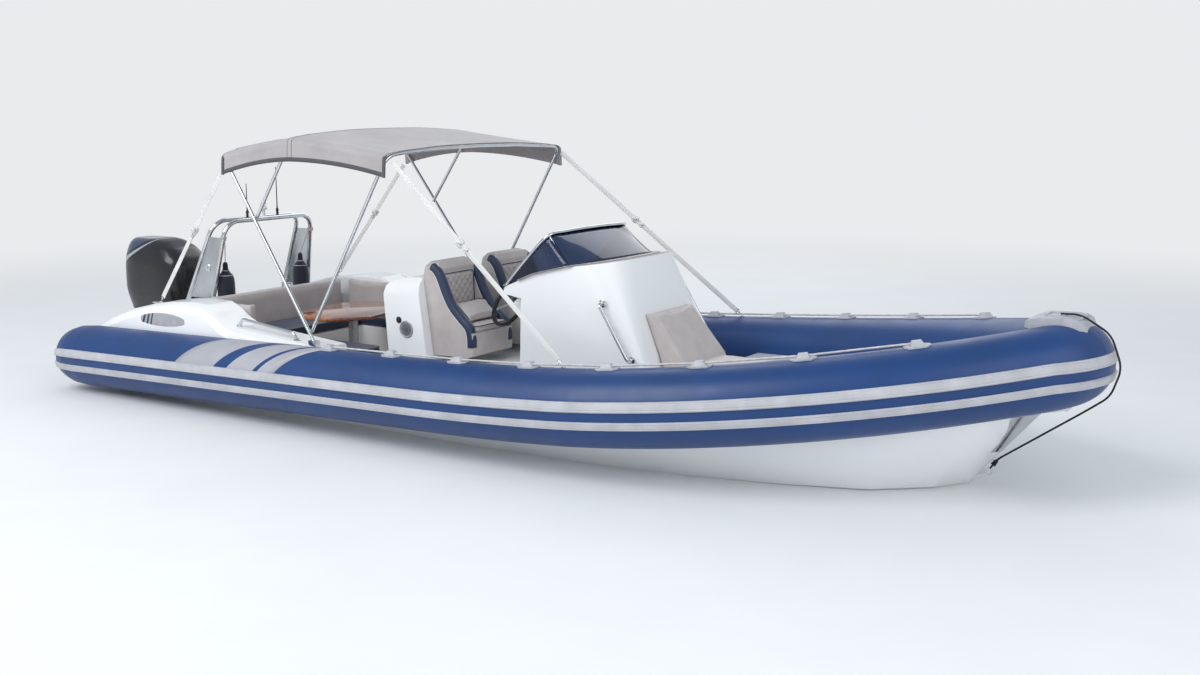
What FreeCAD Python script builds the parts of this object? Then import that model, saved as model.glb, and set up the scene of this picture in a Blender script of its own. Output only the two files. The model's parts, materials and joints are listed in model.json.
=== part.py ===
"""Rigid inflatable boat with console, twin helm seats, sun top, arch and outboard engine.

Millimetres. +X points to the bow, +Y to port, +Z up. The origin is on the centreline at the waterline,
midway along the tubes.
"""
import FreeCAD, Part
import math
import os

from FreeCAD import Rotation, Vector

os.makedirs("parts", exist_ok=True)

# Facets of round pieces, chord angle of a bend, chords of a rounded corner
TUBE_FACETS = 24
BAR_FACETS = 8
SLIM_FACETS = 6
DISC_FACETS = 12
PIVOT_FACETS = 16
PIN_FACETS = 24
BEND_CHORD_ANGLE = 30.0
CORNER_COUNT = 3
FLAT_ERROR = 1e-8
SEAT_GAP = 0.3
UP = Vector(0.0, 0.0, 1.0)
FORWARD = Vector(1.0, 0.0, 0.0)

# Buoyancy tube
TUBE_RADIUS = 235.0
TUBE_HALF_SPREAD = 1172.0
TUBE_STERN_X = -3800.0
TUBE_CURVE_START_X = 916.0
TUBE_NOSE_X = 3581.0
TUBE_AXIS_Z = 341.0
TUBE_AXIS_Z_AT_X = -970.0
SHEER_SLOPE = 0.0278
SHEER_RISE_START_X = -134.0
SHEER_RISE = 318.8
PLAN_LENGTH_POWER = 1.658
PLAN_WIDTH_POWER = 1.391
CURVE_CHORD_ANGLE = 10.0
CURVE_COUNT = 5
NOSE_RADIUS = 255.0
NOSE_ANGLE = 55.0
NOSE_COUNT = 3
MID_CHAMBER_COUNT = 2
# distance from the stern end, share of the tube's radius there
STERN_CONE = ((0.0, 0.40), (25.0, 0.66), (85.0, 0.85), (180.0, 0.96), (320.0, 1.0))

# Rubbing strakes: name, upper and lower angle below the horizontal on the outboard side
STRAKE_THICKNESS = 14.0
STRAKE_SEAT_GAP = 0.8
STRAKES = (
    ("strake_upper", -20.2, -4.5),
    ("strake_lower", 8.7, 20.7),
)

# Rail pads and rope along the top of the tube
RAIL_PAD_COUNT = 8
RAIL_PAD_FIRST_X = -970.0
RAIL_PAD_PITCH = 558.0
RAIL_PAD_LENGTH = 150.0
RAIL_PAD_WIDTH = 90.0
RAIL_PAD_DEPTH = 20.0
RAIL_PAD_SKIRT = 6.0
RAIL_PAD_CORNER = 26.0
RAIL_SADDLE_LENGTH = 84.0
RAIL_SADDLE_WIDTH = 60.0
RAIL_SADDLE_HEIGHT = 34.0
RAIL_SADDLE_CREST = 0.6
RAIL_ROPE_RADIUS = 7.0
RAIL_ROPE_LIFT = 18.0

# Hull
SOLE_Z = 160.0
SOLE_LEVEL_END_X = 2200.0
SOLE_BOW_LIFT = 0.35
GUNWALE_DROP = 0.35
GUNWALE_INSET = 25.0
LINER_SLOPE = 30.0
TRANSOM_X = -3450.0
HULL_TUCK = 100.0
STEM_HALF_WIDTH = 12.0
# the tube's half spread that the breadths below belong to
HULL_LINES_SPREAD = 1172.0
# plane x at the waterline, rake of the plane, keel z, chine y, chine z, knuckle y, knuckle z
HULL_STATIONS = (
    (TRANSOM_X, 0.00, -360.0, 900.0, -60.0, 985.0, 40.0),
    (-1800.0, 0.00, -385.0, 910.0, -50.0, 990.0, 60.0),
    (-200.0, 0.00, -395.0, 905.0, -35.0, 985.0, 80.0),
    (900.0, 0.05, -385.0, 860.0, -15.0, 950.0, 105.0),
    (1600.0, 0.15, -350.0, 760.0, 0.0, 860.0, 130.0),
    (2150.0, 0.30, -285.0, 635.0, 8.0, 740.0, 160.0),
    (2600.0, 0.50, -190.0, 480.0, 12.0, 560.0, 195.0),
    (2900.0, 0.70, -85.0, 230.0, 15.0, 310.0, 225.0),
    (3035.0, 0.84, -10.0, STEM_HALF_WIDTH, 16.0, 13.0, 249.0),
)
STEM_X = HULL_STATIONS[-1][0]
STEM_RAKE = HULL_STATIONS[-1][1]
FOREDECK_AFT_X = 1180.0
FOREDECK_Z = 450.0
FOREDECK_RISE = 0.06
FOREDECK_FLARE = 40.0
FOREDECK_MIN_DEPTH = 12.0
TRANSOM_TOP_Z = 275.0
TRANSOM_THICKNESS = 60.0

# Stern decks beside the engine well
STERN_DECK_Z = 600.0
STERN_DECK_FWD_X = -2760.0
STERN_DECK_BEVEL = 30.0
ENGINE_WELL_HALF_WIDTH = 400.0

# Stern coamings
COAMING_BREADTH = 335.0
COAMING_OUTER_INSET = 37.0
COAMING_INNER_Y = TUBE_HALF_SPREAD - COAMING_OUTER_INSET - COAMING_BREADTH
COAMING_OUTER_Y = COAMING_INNER_Y + COAMING_BREADTH
COAMING_BASE_Z = 300.0
COAMING_SHOULDER = 40.0
COAMING_INNER_EDGE = 16.0
# x, z of the coaming's top line from the stern tip forward
COAMING_TOP = (
    (-3500.0, 520.0),
    (-3340.0, 590.0),
    (-3150.0, 655.0),
    (-2903.0, 712.0),
    (-2700.0, 742.0),
    (-2480.0, 758.0),
    (-2320.0, 752.0),
    (-2210.0, 705.0),
    (-2120.0, 645.0),
    (-2020.0, 608.0),
    (-1177.0, 545.0),
)
GRAB_RAIL_AFT_X = -2060.0
GRAB_RAIL_FWD_X = -1440.0
GRAB_RAIL_Y = TUBE_HALF_SPREAD - 172.0
GRAB_RAIL_RISE = 48.0
GRAB_RAIL_BEND = 40.0
GRAB_RAIL_RADIUS = 12.0

# Aft seating and table
BENCH_Z = 400.0
BENCH_AFT_X = STERN_DECK_FWD_X + 20.0
BENCH_FRONT_X = -2240.0
BENCH_SIDE_FWD_X = -1150.0
BENCH_SIDE_INNER_Y = 470.0
BENCH_OUTER_Y = COAMING_INNER_Y - 10.0
CUSHION_THICKNESS = 90.0
CUSHION_EDGE = 22.0
CUSHION_GAP = 10.0
BACKREST_THICKNESS = 90.0
BACKREST_TOP_Z = 745.0
BACKREST_FLANK_FWD_X = -2150.0
BACKREST_FLANK_WIDTH = 73.0
BACKREST_FLANK_EDGE = 13.0
TABLE_CENTRE = (-1820.0, -60.0)
TABLE_LENGTH = 900.0
TABLE_WIDTH = 620.0
TABLE_TURN = 10.0
TABLE_THICKNESS = 26.0
TABLE_TOP_Z = 632.0
TABLE_CORNER = 200.0
PEDESTAL_RADIUS = 38.0
PEDESTAL_FOOT_RADIUS = 120.0
PEDESTAL_FOOT_HEIGHT = 14.0
PEDESTAL_PLATE_RADIUS = 100.0
PEDESTAL_PLATE_THICKNESS = 10.0

# Helm seats on their pod
POD_HALF_WIDTH = 620.0
POD_CORNER = 130.0
HELM_PLATFORM_Z = 430.0
# x and z of the pod's side outline, from its aft foot over the crown to its front foot
POD_SIDE = ((-920.0, SOLE_Z), (-985.0, 880.0), (-970.0, 945.0), (-925.0, 985.0), (-710.0, 1030.0),
            (-675.0, 1010.0), (-600.0, 480.0), (-600.0, SOLE_Z))
POD_FRONT_X = POD_SIDE[-1][0]
POD_KNEE = POD_SIDE[-2]
POD_BROW = POD_SIDE[-3]
SEAT_CENTRE_Y = 320.0
SEAT_HALF_WIDTH = 225.0
SEAT_HEAD_Z = 1136.0
SEAT_HEAD_CORNER = 95.0
SEAT_FRONT_X = -250.0
SEAT_BACK_X = -538.0
SEAT_LOW_Z = 482.0
SEAT_SQUAB_Z = 660.0
SEAT_PAD_Z = 715.0
SEAT_PAD_EDGE = 14.0
SEAT_WING = 50.0
# x and z up the wing's front edge, from the head down to the squab
SEAT_WING_EDGE = ((-560.0, 1088.0), (-520.0, 1035.0), (-470.0, 925.0), (-420.0, 840.0), (-345.0, 765.0),
                  (-280.0, 705.0), (-256.0, 640.0))
BOLSTER_PIVOT = (-500.0, 837.0)
BOLSTER_PIN_RADIUS = 7.0
# x and z of the raised cushion's outline from its pivot
BOLSTER_SIDE = ((-4.0, -116.0), (-8.0, -20.0), (-4.0, 5.0), (40.0, 8.0), (70.0, 1.0), (98.0, -18.0),
                (165.0, -84.0), (176.0, -100.0), (178.0, -116.0))

# Console
CONSOLE_AFT_X = 60.0
CONSOLE_HALF_WIDTH = 500.0
CONSOLE_TOP_FRONT_X = 820.0
CONSOLE_TOP_CORNER = 300.0
CONSOLE_MID_Z = 600.0
CONSOLE_MID_FRONT_X = 1062.0
CONSOLE_MID_CORNER = 110.0
CONSOLE_FOOT_CORNER = 70.0
# x, z of the console's top line from the helm forward
CONSOLE_TOP = ((-20.0, 950.0), (-5.0, 1000.0), (240.0, 1100.0), (500.0, 1165.0),
               (CONSOLE_TOP_FRONT_X, 1210.0))
CONSOLE_KICK = 70.0
CONSOLE_LIP_Z = 930.0
CONSOLE_TOE = 50.0
WHEEL_RADIUS = 185.0
WHEEL_GRIP_RADIUS = 15.0
WHEEL_CHORD_COUNT = 24
WHEEL_CENTRE = (-90.0, -300.0, 870.0)
WHEEL_RAKE = 25.0
WHEEL_HUB_RADIUS = 34.0
WHEEL_HUB_LENGTH = 46.0
WHEEL_DISH = 12.0
WHEEL_SPOKE_RADIUS = 8.0
WHEEL_SPOKE_ANGLES = (-15.0, 90.0, 195.0)
WHEEL_BOSS_RADIUS = 40.0
WHEEL_BOSS_LENGTH = 240.0
DASH_HALF_WIDTH = 470.0
DASH_THICKNESS = 8.0
DASH_FWD_X = 235.0
SCREEN_THICKNESS = 6.0
SCREEN_SINK = 20.0
# foot x, foot y, top x, top y, top z, and the way inward, from the helm forward
SCREEN_PANES = (
    (20.0, 490.0, 44.0, 486.0, 1050.0, 0.0, -1.0),
    (500.0, 478.0, 335.0, 462.0, 1356.0, -0.5, -0.85),
    (655.0, 330.0, 352.0, 300.0, 1368.0, -0.85, -0.5),
    (700.0, 0.0, 358.0, 0.0, 1372.0, -1.0, 0.0),
)
SCREEN_BRACE_PANE = 1
SCREEN_RAIL_RADIUS = 11.0
SCREEN_RAIL_BEND = 60.0
SCREEN_BRACE_RADIUS = 9.0
GRAB_TOP = (780.0, 950.0)
GRAB_FOOT = (1000.0, 600.0)
GRAB_STANDOFF = 45.0
GRAB_SINK = 90.0
GRAB_BEND = 25.0
GRAB_RADIUS = 12.0
FRONT_SEAT_HALF_WIDTH = 290.0
FRONT_SEAT_TOP_Z = 880.0
FRONT_SEAT_BACK_THICKNESS = 110.0
FRONT_SEAT_PAD_LENGTH = 450.0
FRONT_SEAT_PAD_THICKNESS = 100.0

# Arch
ARCH_TUBE_RADIUS = 18.0
ARCH_BEND = 130.0
# foot x, foot half spread, shoulder x, shoulder half spread
ARCH_HOOPS = (
    (-3200.0, 520.0, -2900.0, 455.0),
    (-2900.0, 520.0, -2760.0, 455.0),
)
ARCH_TOP_Z = 1290.0
ARCH_PLATE_THICKNESS = 4.0
ARCH_PLATE_SHARES = (0.12, 0.82)
ARCH_TOP_PLATE_HALF = 300.0
ARCH_FLANGE_RADIUS = 46.0
ARCH_FLANGE_THICKNESS = 7.0
# radius, height of the all-round light from its base up
LIGHT_ROWS = ((40.0, 0.0), (40.0, 8.0), (14.0, 10.0), (14.0, 62.0), (32.0, 66.0), (32.0, 80.0), (22.0, 84.0),
              (22.0, 112.0), (28.0, 114.0), (24.0, 124.0))
# y, height
AERIALS = ((150.0, 400.0), (-170.0, 280.0))
AERIAL_FOOT_RADIUS = 13.0
AERIAL_FOOT_HEIGHT = 60.0
AERIAL_TIP_RADIUS = 3.0
FENDER_X = -2850.0
FENDER_RADIUS = 70.0
FENDER_HANG_SHARE = 0.44
# share of the radius, height
FENDER_ROWS = ((0.72, 0.0), (0.95, 22.0), (1.0, 60.0), (0.97, 225.0), (0.70, 268.0), (0.36, 300.0),
               (0.30, 366.0))

# Sun top
BOW_TUBE_RADIUS = 12.5
BOW_BEND = 120.0
SUN_TOP_FOOT = (-1250.0, TUBE_HALF_SPREAD - 137.0, 567.0)
HINGE_HALF_WIDTH = 20.0
HINGE_AFT = 45.0
HINGE_FWD = 30.0
HINGE_RISE = 22.0
# aft, mid and fwd bow: share of the aft bow's leg where it joins, shoulder x, y, z, crown z, hem z
SUN_TOP_BOWS = (
    (0.0, -2165.0, 965.0, 1835.0, 1932.0, 1700.0),
    (0.66, -1475.0, 972.0, 1962.0, 2010.0, 1812.0),
    (0.06, -592.0, 980.0, 1868.0, 1910.0, 1728.0),
)
# share of the half width, share of the rise from the shoulder to the crown
SUN_TOP_LINE = ((0.82, 0.42), (0.46, 0.86), (0.0, 1.0))
CANOPY_THICKNESS = 4.0
CANOPY_SHOULDER_DROP = 55.0
CANOPY_HEM_FLARE = 0.07
STRAP_WIDTH = 38.0
STRAP_THICKNESS = 3.0
STRAP_HOOK_LENGTH = 40.0
STRAP_HOOK_RADIUS = 4.0
# top, then foot of each port stay
SUN_TOP_STAYS = (
    ((-560.0, 962.0, 1830.0), (930.0, 1150.0, 665.0)),
    ((-2190.0, 985.0, 1690.0), (-2960.0, 950.0, 715.0)),
)
STAY_PAD_RADIUS = 36.0
STAY_PAD_DEPTH = 70.0
STAY_PAD_TOP = 34.0
STAY_LUG_THICKNESS = 8.0
STAY_LUG_HALF_LENGTH = 20.0
STAY_LUG_BORE = 8.0

# Bow
BOW_EYE_Z = 115.0
BOW_EYE_BORE = 13.0
BOW_EYE_HEAD = 26.0
BOW_EYE_THICKNESS = 12.0
BOW_EYE_REACH = 30.0
STEM_PLATE_THICKNESS = 3.0
STEM_SIDE_NORMAL = Vector(0.91, 0.41, 0.0)
# distance forward of the stem's waterline, height, of the plate's outline
STEM_PLATE = ((153.0, 226.0), (227.0, 226.0), (425.0, 472.0), (295.0, 472.0), (258.0, 380.0),
              (205.0, 290.0))
# distance from the tube's nose, height over its crest, of the step's outline
BOW_STEP = ((-235.0, -40.0), (-228.0, -4.0), (-215.0, 8.0), (-150.0, 26.0), (0.0, 31.0), (50.0, 24.0),
            (82.0, 8.0), (110.0, -40.0))
BOW_STEP_HALF_WIDTH = 150.0
BOW_STEP_TAPER = 35.0
# distance from the tube's nose, height, of a cheek of the roller
ROLLER_CHEEK = ((-141.0, 480.0), (-51.0, 500.0), (19.0, 520.0), (19.0, 535.0), (-141.0, 535.0))
ROLLER_HALF_WIDTH = 26.0
ROLLER_PLATE = 6.0
ROLLER_RADIUS = 13.0
PAINTER_RADIUS = 6.0
PAINTER_BEND = 160.0
PAINTER_Y = -30.0
PAINTER_LIFT = 1.10
PAINTER_ANGLES = (-80.0, -40.0, 0.0, 35.0, 70.0)
CLEAT_X = -3300.0
CLEAT_INSET = 110.0
CLEAT_Y = COAMING_INNER_Y - CLEAT_INSET
CLEAT_HALF_LENGTH = 90.0
CLEAT_POST_SPREAD = 26.0
CLEAT_POST_RADIUS = 8.0
CLEAT_HORN_RADIUS = 9.0
CLEAT_HEIGHT = 38.0
CLEAT_BASE = (45.0, 18.0, 6.0)

# Outboard engine: tilt and steering axes
TILT_X = TRANSOM_X - 75.0
TILT_Z = 330.0
TILT_PIN_RADIUS = 14.0
STEER_X = TILT_X - 220.0
STEER_TOP_Z = 330.0
STEER_LOW_Z = -130.0
STEER_SHAFT_RADIUS = 24.0
STEER_TUBE_RADIUS = 42.0
STEER_ARM_FWD = 38.0
STEER_ARM_AFT_X = -3900.0
STEER_ARM_GAP = 6.0
UPPER_ARM = (52.0, 42.0)
LOWER_ARM = (48.0, 56.0)
CLAMP_HALF_WIDTH = 115.0
CLAMP_PLATE = 22.0
CLAMP_LOW_Z = -240.0
CLAMP_HOOK_REACH = 75.0
CLAMP_HOOK_Z = 305.0
CLAMP_TOP_Z = 365.0
CHEEK_GAP = 6.0
CHEEK_CREST = 30.0
CHEEK_FLAT = 80.0
BRIDGE_LENGTH = 70.0

# Tilt cylinder: its pivot on the clamp, the eye of its rod on the swivel bracket
RAM_PIVOT_X = TRANSOM_X - 40.0
RAM_PIVOT_Z = -60.0
RAM_EYE_X = TILT_X - 80.0
RAM_EYE_Z = 290.0
RAM_BARREL = 265.0
RAM_RADIUS = 27.0
RAM_FOOT = 22.0
RAM_WALL = 38.0
RAM_LUG_RADIUS = 25.0
RAM_ROD_RADIUS = 11.0
RAM_ROD_START = 42.0
RAM_PIN_RADIUS = 9.0
RAM_EYE_PLAY = 10.0
RAM_EYE_RADIUS = 27.0
RAM_EYE_HALF_WIDTH = 20.0

# Cowl, leg, gearcase and propeller
COWL_WALL = 9.0
COWL_BASE_Z = 470.0
# z, aft x, front x, half width, corner radius of the cowl's plan sections
COWL_SECTIONS = (
    (COWL_BASE_Z, -4370.0, -3705.0, 205.0, 110.0),
    (620.0, -4400.0, -3690.0, 238.0, 125.0),
    (850.0, -4406.0, -3702.0, 232.0, 125.0),
    (945.0, -4400.0, -3765.0, 208.0, 115.0),
    (1015.0, -4385.0, -3870.0, 168.0, 100.0),
    (1058.0, -4350.0, -3995.0, 112.0, 80.0),
)
ENGINE_BLOCK = (430.0, 300.0, 410.0)
ENGINE_BLOCK_AFT_X = -4230.0
# drop below the cowl's base, aft x, front x, half width of the leg's plan sections
LEG_SECTIONS = (
    (SEAT_GAP, -4366.0, -3709.0, 201.0),
    (25.0, -4350.0, -3715.0, 192.0),
    (75.0, -4240.0, -3820.0, 118.0),
    (270.0, -4150.0, -3835.0, 75.0),
    (670.0, -4130.0, -3840.0, 60.0),
    (800.0, -4150.0, -3835.0, 52.0),
)
LEG_CORNER_SHARE = 0.6
LEG_FOOT_Z = COWL_BASE_Z - LEG_SECTIONS[-1][0]
PLATE_THICKNESS = 16.0
PLATE_AFT_X = -4400.0
PLATE_FWD_X = -3815.0
PLATE_HALF_WIDTH = 125.0
PLATE_CORNER = 60.0
PROP_Z = -560.0
PROP_X = -4345.0
PROP_RADIUS = 188.0
PROP_HUB_RADIUS = 48.0
PROP_HUB_AFT = 55.0
PROP_HUB_FWD = 70.0
PROP_BLADE_COUNT = 3
# share of the radius, half chord, pitch angle, half thickness of a blade's sections
PROP_SECTIONS = (
    (0.20, 42.0, 62.0, 7.0),
    (0.45, 64.0, 46.0, 5.5),
    (0.70, 70.0, 34.0, 4.5),
    (0.90, 48.0, 27.0, 3.0),
    (1.0, 18.0, 24.0, 1.5),
)
PROP_BLADE_SHIFT = 4.0
GEARCASE_NOSE_X = -3780.0
# distance aft of the nose, radius of the torpedo
TORPEDO_ROWS = ((0.0, 12.0), (28.0, 38.0), (80.0, 56.0), (170.0, 62.0), (420.0, 60.0))
STRUT_TOP = (-4160.0, -3850.0, 34.0)
STRUT_FOOT = (-4170.0, -3840.0, 26.0)
SKEG_TOP = (-4150.0, -3900.0, 16.0)
SKEG_TIP = (-4170.0, -4010.0, 6.0)
SKEG_Z = -800.0


def export(name, shapes):
    """Write one node's solids to its own file."""
    shape = shapes[0] if len(shapes) == 1 else Part.makeCompound(shapes)
    shape.exportStep("parts/" + name + ".step")


def ring(points):
    """Closed polygon wire through 3-D points."""
    corners = [Vector(*p) for p in points]
    return Part.makePolygon(corners + corners[:1])


def patch(corners):
    """Flat face through four corners, or two triangles on the shorter diagonal where they are out of plane."""
    a, b, c, d = corners
    if (d - b).Length < (c - a).Length - FLAT_ERROR:
        a, b, c, d = b, c, d, a
    normal = (b - a).cross(c - a)
    if normal.Length < 1e-9 or abs((d - a).dot(normal.normalize())) > FLAT_ERROR:
        return [Part.Face(Part.makePolygon([a, b, c, a])), Part.Face(Part.makePolygon([a, c, d, a]))]
    return [Part.Face(Part.makePolygon([a, b, c, d, a]))]


def loft(wires):
    """Solid of flat faces between closed polygon wires that have the same number of corners."""
    rows = [[vertex.Point for vertex in wire.OrderedVertexes] for wire in wires]
    faces = [Part.Face(wires[0]), Part.Face(wires[-1])]
    for near, far in zip(rows, rows[1:]):
        for index, corner in enumerate(near):
            after = (index + 1) % len(near)
            faces += patch((corner, near[after], far[after], far[index]))
    return Part.makeSolid(Part.Shell(faces))


def slab(x0, x1, y0, y1, z0, z1):
    """Box between two corners."""
    return Part.makeBox(x1 - x0, y1 - y0, z1 - z0, Vector(x0, y0, z0))


def side_profile(points, y0, y1):
    """Prism of an x-z outline between two y planes."""
    return Part.Face(ring([(x, y0, z) for x, z in points])).extrude(Vector(0.0, y1 - y0, 0.0))


def front_profile(points, x0, x1):
    """Prism of a y-z outline between two x planes."""
    return Part.Face(ring([(x0, y, z) for y, z in points])).extrude(Vector(x1 - x0, 0.0, 0.0))


def route_with_bends(points, bend):
    """Route with each corner replaced by the chords of an arc."""
    pts = [Vector(*p) for p in points]
    route = [pts[0]]
    for before, corner, after in zip(pts, pts[1:], pts[2:]):
        back = (before - corner).normalize()
        ahead = (after - corner).normalize()
        turn = math.pi - back.getAngle(ahead)
        room = 0.45 * min((before - corner).Length, (after - corner).Length)
        cut = min(bend * math.tan(0.5 * turn), room)
        radius = cut / math.tan(0.5 * turn)
        centre = corner + (back + ahead).normalize() * (radius / math.cos(0.5 * turn))
        first = corner + back * cut - centre
        whole = Rotation(first, corner + ahead * cut - centre)
        count = max(1, math.ceil(math.degrees(turn) / BEND_CHORD_ANGLE))
        for index in range(count + 1):
            route.append(centre + Rotation().slerp(whole, index / count).multVec(first))
    route.append(pts[-1])
    return route


def tube_along(route, radius, facets=BAR_FACETS):
    """Faceted bar along a route, mitred at each of its corners."""
    heads = [(b - a).normalize() for a, b in zip(route, route[1:])]
    steep = abs(heads[0].z) > 0.9
    side = heads[0].cross(FORWARD if steep else UP).normalize()
    other = heads[0].cross(side)
    angles = [2.0 * math.pi * (index + 0.5) / facets for index in range(facets)]
    spokes = [(side * math.cos(a) + other * math.sin(a)) * radius for a in angles]
    wires = [ring([route[0] + s for s in spokes])]
    for point, head, following in zip(route[1:], heads, heads[1:]):
        across = head + following
        spokes = [s - head * (s.dot(across) / head.dot(across)) for s in spokes]
        wires.append(ring([point + s for s in spokes]))
        spokes = [s - following * s.dot(following) for s in spokes]
        spokes = [s.normalize() * radius for s in spokes]
    wires.append(ring([route[-1] + s for s in spokes]))
    return loft(wires)


def bent_tube(points, bend, radius):
    """Faceted bar bent at the corners of its route."""
    return tube_along(route_with_bends(points, bend), radius)


def bar(start, end, radius, facets=BAR_FACETS):
    """Straight faceted bar between two points."""
    return tube_along([Vector(*start), Vector(*end)], radius, facets)


def rod(start, end, radius):
    """Pin, shaft or bore between two points, with enough facets to turn in its fit."""
    return bar(start, end, radius, PIN_FACETS)


def turned(centre, axis, rows, facets=DISC_FACETS):
    """Faceted turned piece from rows of radius and distance along its axis."""
    wires = []
    side = axis.cross(FORWARD if abs(axis.z) > 0.9 else UP).normalize()
    other = axis.cross(side)
    for radius, distance in rows:
        middle = centre + axis * distance
        corners = []
        for index in range(facets):
            a = 2.0 * math.pi * index / facets
            corners.append(middle + (side * math.cos(a) + other * math.sin(a)) * radius)
        wires.append(ring(corners))
    return loft(wires)


def mirrored(shape):
    """Copy on the other side of the centreline."""
    return shape.mirror(Vector(0.0, 0.0, 0.0), Vector(0.0, 1.0, 0.0))


def both_sides(shape):
    """A port piece and its starboard copy."""
    return [shape, mirrored(shape)]


def rounded_plan(x0, x1, half_width, radius, z, count=CORNER_COUNT, aft_radius=None):
    """Closed plan outline with rounded corners, of chords, in a level plane."""
    aft = radius if aft_radius is None else aft_radius
    port = []
    for corner_x, corner_r, start in ((x1, radius, 0.0), (x0, aft, 90.0)):
        centre_x = corner_x - corner_r if start == 0.0 else corner_x + corner_r
        for index in range(count + 1):
            a = math.radians(start + 90.0 * index / count)
            port.append((centre_x + corner_r * math.cos(a), half_width - corner_r * (1.0 - math.sin(a)), z))
    return ring(port + [(x, -y, z) for x, y, z in reversed(port)])


def cut_corner_plan(x0, x1, y0, y1, corner, z):
    """Closed rectangle with cut corners in a level plane."""
    return ring([(x1 - corner, y1, z), (x0 + corner, y1, z), (x0, y1 - corner, z), (x0, y0 + corner, z),
                 (x0 + corner, y0, z), (x1 - corner, y0, z), (x1, y0 + corner, z), (x1, y1 - corner, z)])


def cushion(x0, x1, y0, y1, z0, z1, edge=CUSHION_EDGE):
    """Pad with cut corners and a rounded-over top."""
    rings = []
    for inset, z in ((0.4 * edge, z0), (0.0, z0 + 0.5 * edge), (0.0, z1 - edge), (0.3 * edge, z1 - 0.3 * edge),
                     (edge, z1)):
        rings.append(cut_corner_plan(x0 + inset, x1 - inset, y0 + inset, y1 - inset, edge, z))
    return loft(rings)


def seated(shape, chambers):
    """Shape cut back where it would enter the tube."""
    for chamber in chambers:
        if shape.BoundBox.intersect(chamber.BoundBox):
            shape = shape.cut(chamber)
    return shape


def resting(shape, carrier, way=UP):
    """Shape cut back so that it stands a seat gap off its carrier."""
    moved = carrier.copy()
    moved.translate(way * SEAT_GAP)
    return shape.cut(moved)


def largest(shape):
    """Biggest solid of a cut shape."""
    return max(shape.Solids, key=lambda solid: solid.Volume)


def height_on(line, x):
    """Height of a line of x, z points at a place along the boat."""
    for (x0, z0), (x1, z1) in zip(line, line[1:]):
        if x <= x1:
            return z0 + (z1 - z0) * (x - x0) / (x1 - x0)
    return line[-1][1]


# Tube centreline


def sheer_z(x):
    """Height of the tube's axis at a place along the boat."""
    straight = TUBE_AXIS_Z + SHEER_SLOPE * (x - TUBE_AXIS_Z_AT_X)
    share = max(0.0, x - SHEER_RISE_START_X) / (TUBE_NOSE_X - SHEER_RISE_START_X)
    return straight + SHEER_RISE * share * share


def curve_point(step):
    """Plan point of the axis on the long curve: step 0 where the parallel length ends."""
    angle = math.radians(CURVE_CHORD_ANGLE * step)
    reach = math.sin(angle) ** (2.0 / PLAN_LENGTH_POWER)
    spread = math.cos(angle) ** (2.0 / PLAN_WIDTH_POWER)
    return TUBE_CURVE_START_X + (TUBE_NOSE_X - TUBE_CURVE_START_X) * reach, TUBE_HALF_SPREAD * spread


def station_at(x, y, dx, dy):
    """Axis point, unit direction along the axis and unit outboard direction from plan values."""
    near = 1.0
    climb = (sheer_z(x + near) - sheer_z(x - near)) / (2.0 * near)
    along = Vector(dx, dy, climb * dx).normalize()
    return Vector(x, y, sheer_z(x)), along, Vector(-dy, dx, 0.0).normalize()


def bow_side_stations():
    """Port stations of the curved length, from where the curve starts to the nose."""
    near = 0.02
    stations = [station_at(TUBE_CURVE_START_X, TUBE_HALF_SPREAD, 1.0, 0.0)]
    for step in range(1, CURVE_COUNT + 1):
        x, y = curve_point(step)
        before = curve_point(step - near)
        after = curve_point(step + near)
        stations.append(station_at(x, y, after[0] - before[0], after[1] - before[1]))
    for step in range(NOSE_COUNT + 1):
        angle = math.radians(NOSE_ANGLE * (1.0 - step / NOSE_COUNT))
        x = TUBE_NOSE_X - NOSE_RADIUS * (1.0 - math.cos(angle))
        stations.append(station_at(x, NOSE_RADIUS * math.sin(angle), math.sin(angle), -math.cos(angle)))
    return stations


def starboard(station):
    """The same station on the other side, with the axis running aft."""
    point, along, out = station
    return (Vector(point.x, -point.y, point.z), Vector(-along.x, along.y, -along.z),
            Vector(out.x, -out.y, out.z))


def side_station(x):
    """Port station on the parallel length of the tube."""
    return station_at(x, TUBE_HALF_SPREAD, 1.0, 0.0)


def station_near(x):
    """Station of the port tube abreast of a place along the boat."""
    if x <= TUBE_CURVE_START_X:
        return side_station(x)
    near = 1.0
    (y0, _), (y1, _), (y2, _) = (tube_crossing(v) for v in (x - near, x, x + near))
    return station_at(x, y1, 2.0 * near, y2 - y0)


def tube_crossing(x):
    """Half spread and height of the tube's axis abreast of a place along the boat."""
    if x <= TUBE_CURVE_START_X:
        return TUBE_HALF_SPREAD, sheer_z(x)
    share = min(1.0, (x - TUBE_CURVE_START_X) / (TUBE_NOSE_X - TUBE_CURVE_START_X))
    spread = (1.0 - share ** PLAN_LENGTH_POWER) ** (1.0 / PLAN_WIDTH_POWER)
    return TUBE_HALF_SPREAD * spread, sheer_z(x)


def on_tube(station, radius, angle):
    """Point beside the axis: angle 0 is outboard, 90 is below."""
    point, along, out = station
    up = out.cross(along)
    if up.z < 0.0:
        up = up * -1.0
    a = math.radians(angle)
    return point + out * (radius * math.cos(a)) - up * (radius * math.sin(a))


def tube_section(station, radius):
    """Many-sided ring round the axis."""
    return ring([on_tube(station, radius, 360.0 * index / TUBE_FACETS) for index in range(TUBE_FACETS)])


def strake_section(station, upper, lower):
    """Closed outline of a strake's band on the tube."""
    inner = TUBE_RADIUS + STRAKE_SEAT_GAP
    outer = TUBE_RADIUS + STRAKE_THICKNESS
    middle = 0.5 * (upper + lower)
    crest = [on_tube(station, outer, a) for a in (upper + 1.0, middle, lower - 1.0)]
    return ring(crest + [on_tube(station, inner, a) for a in (lower, middle, upper)])


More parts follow.
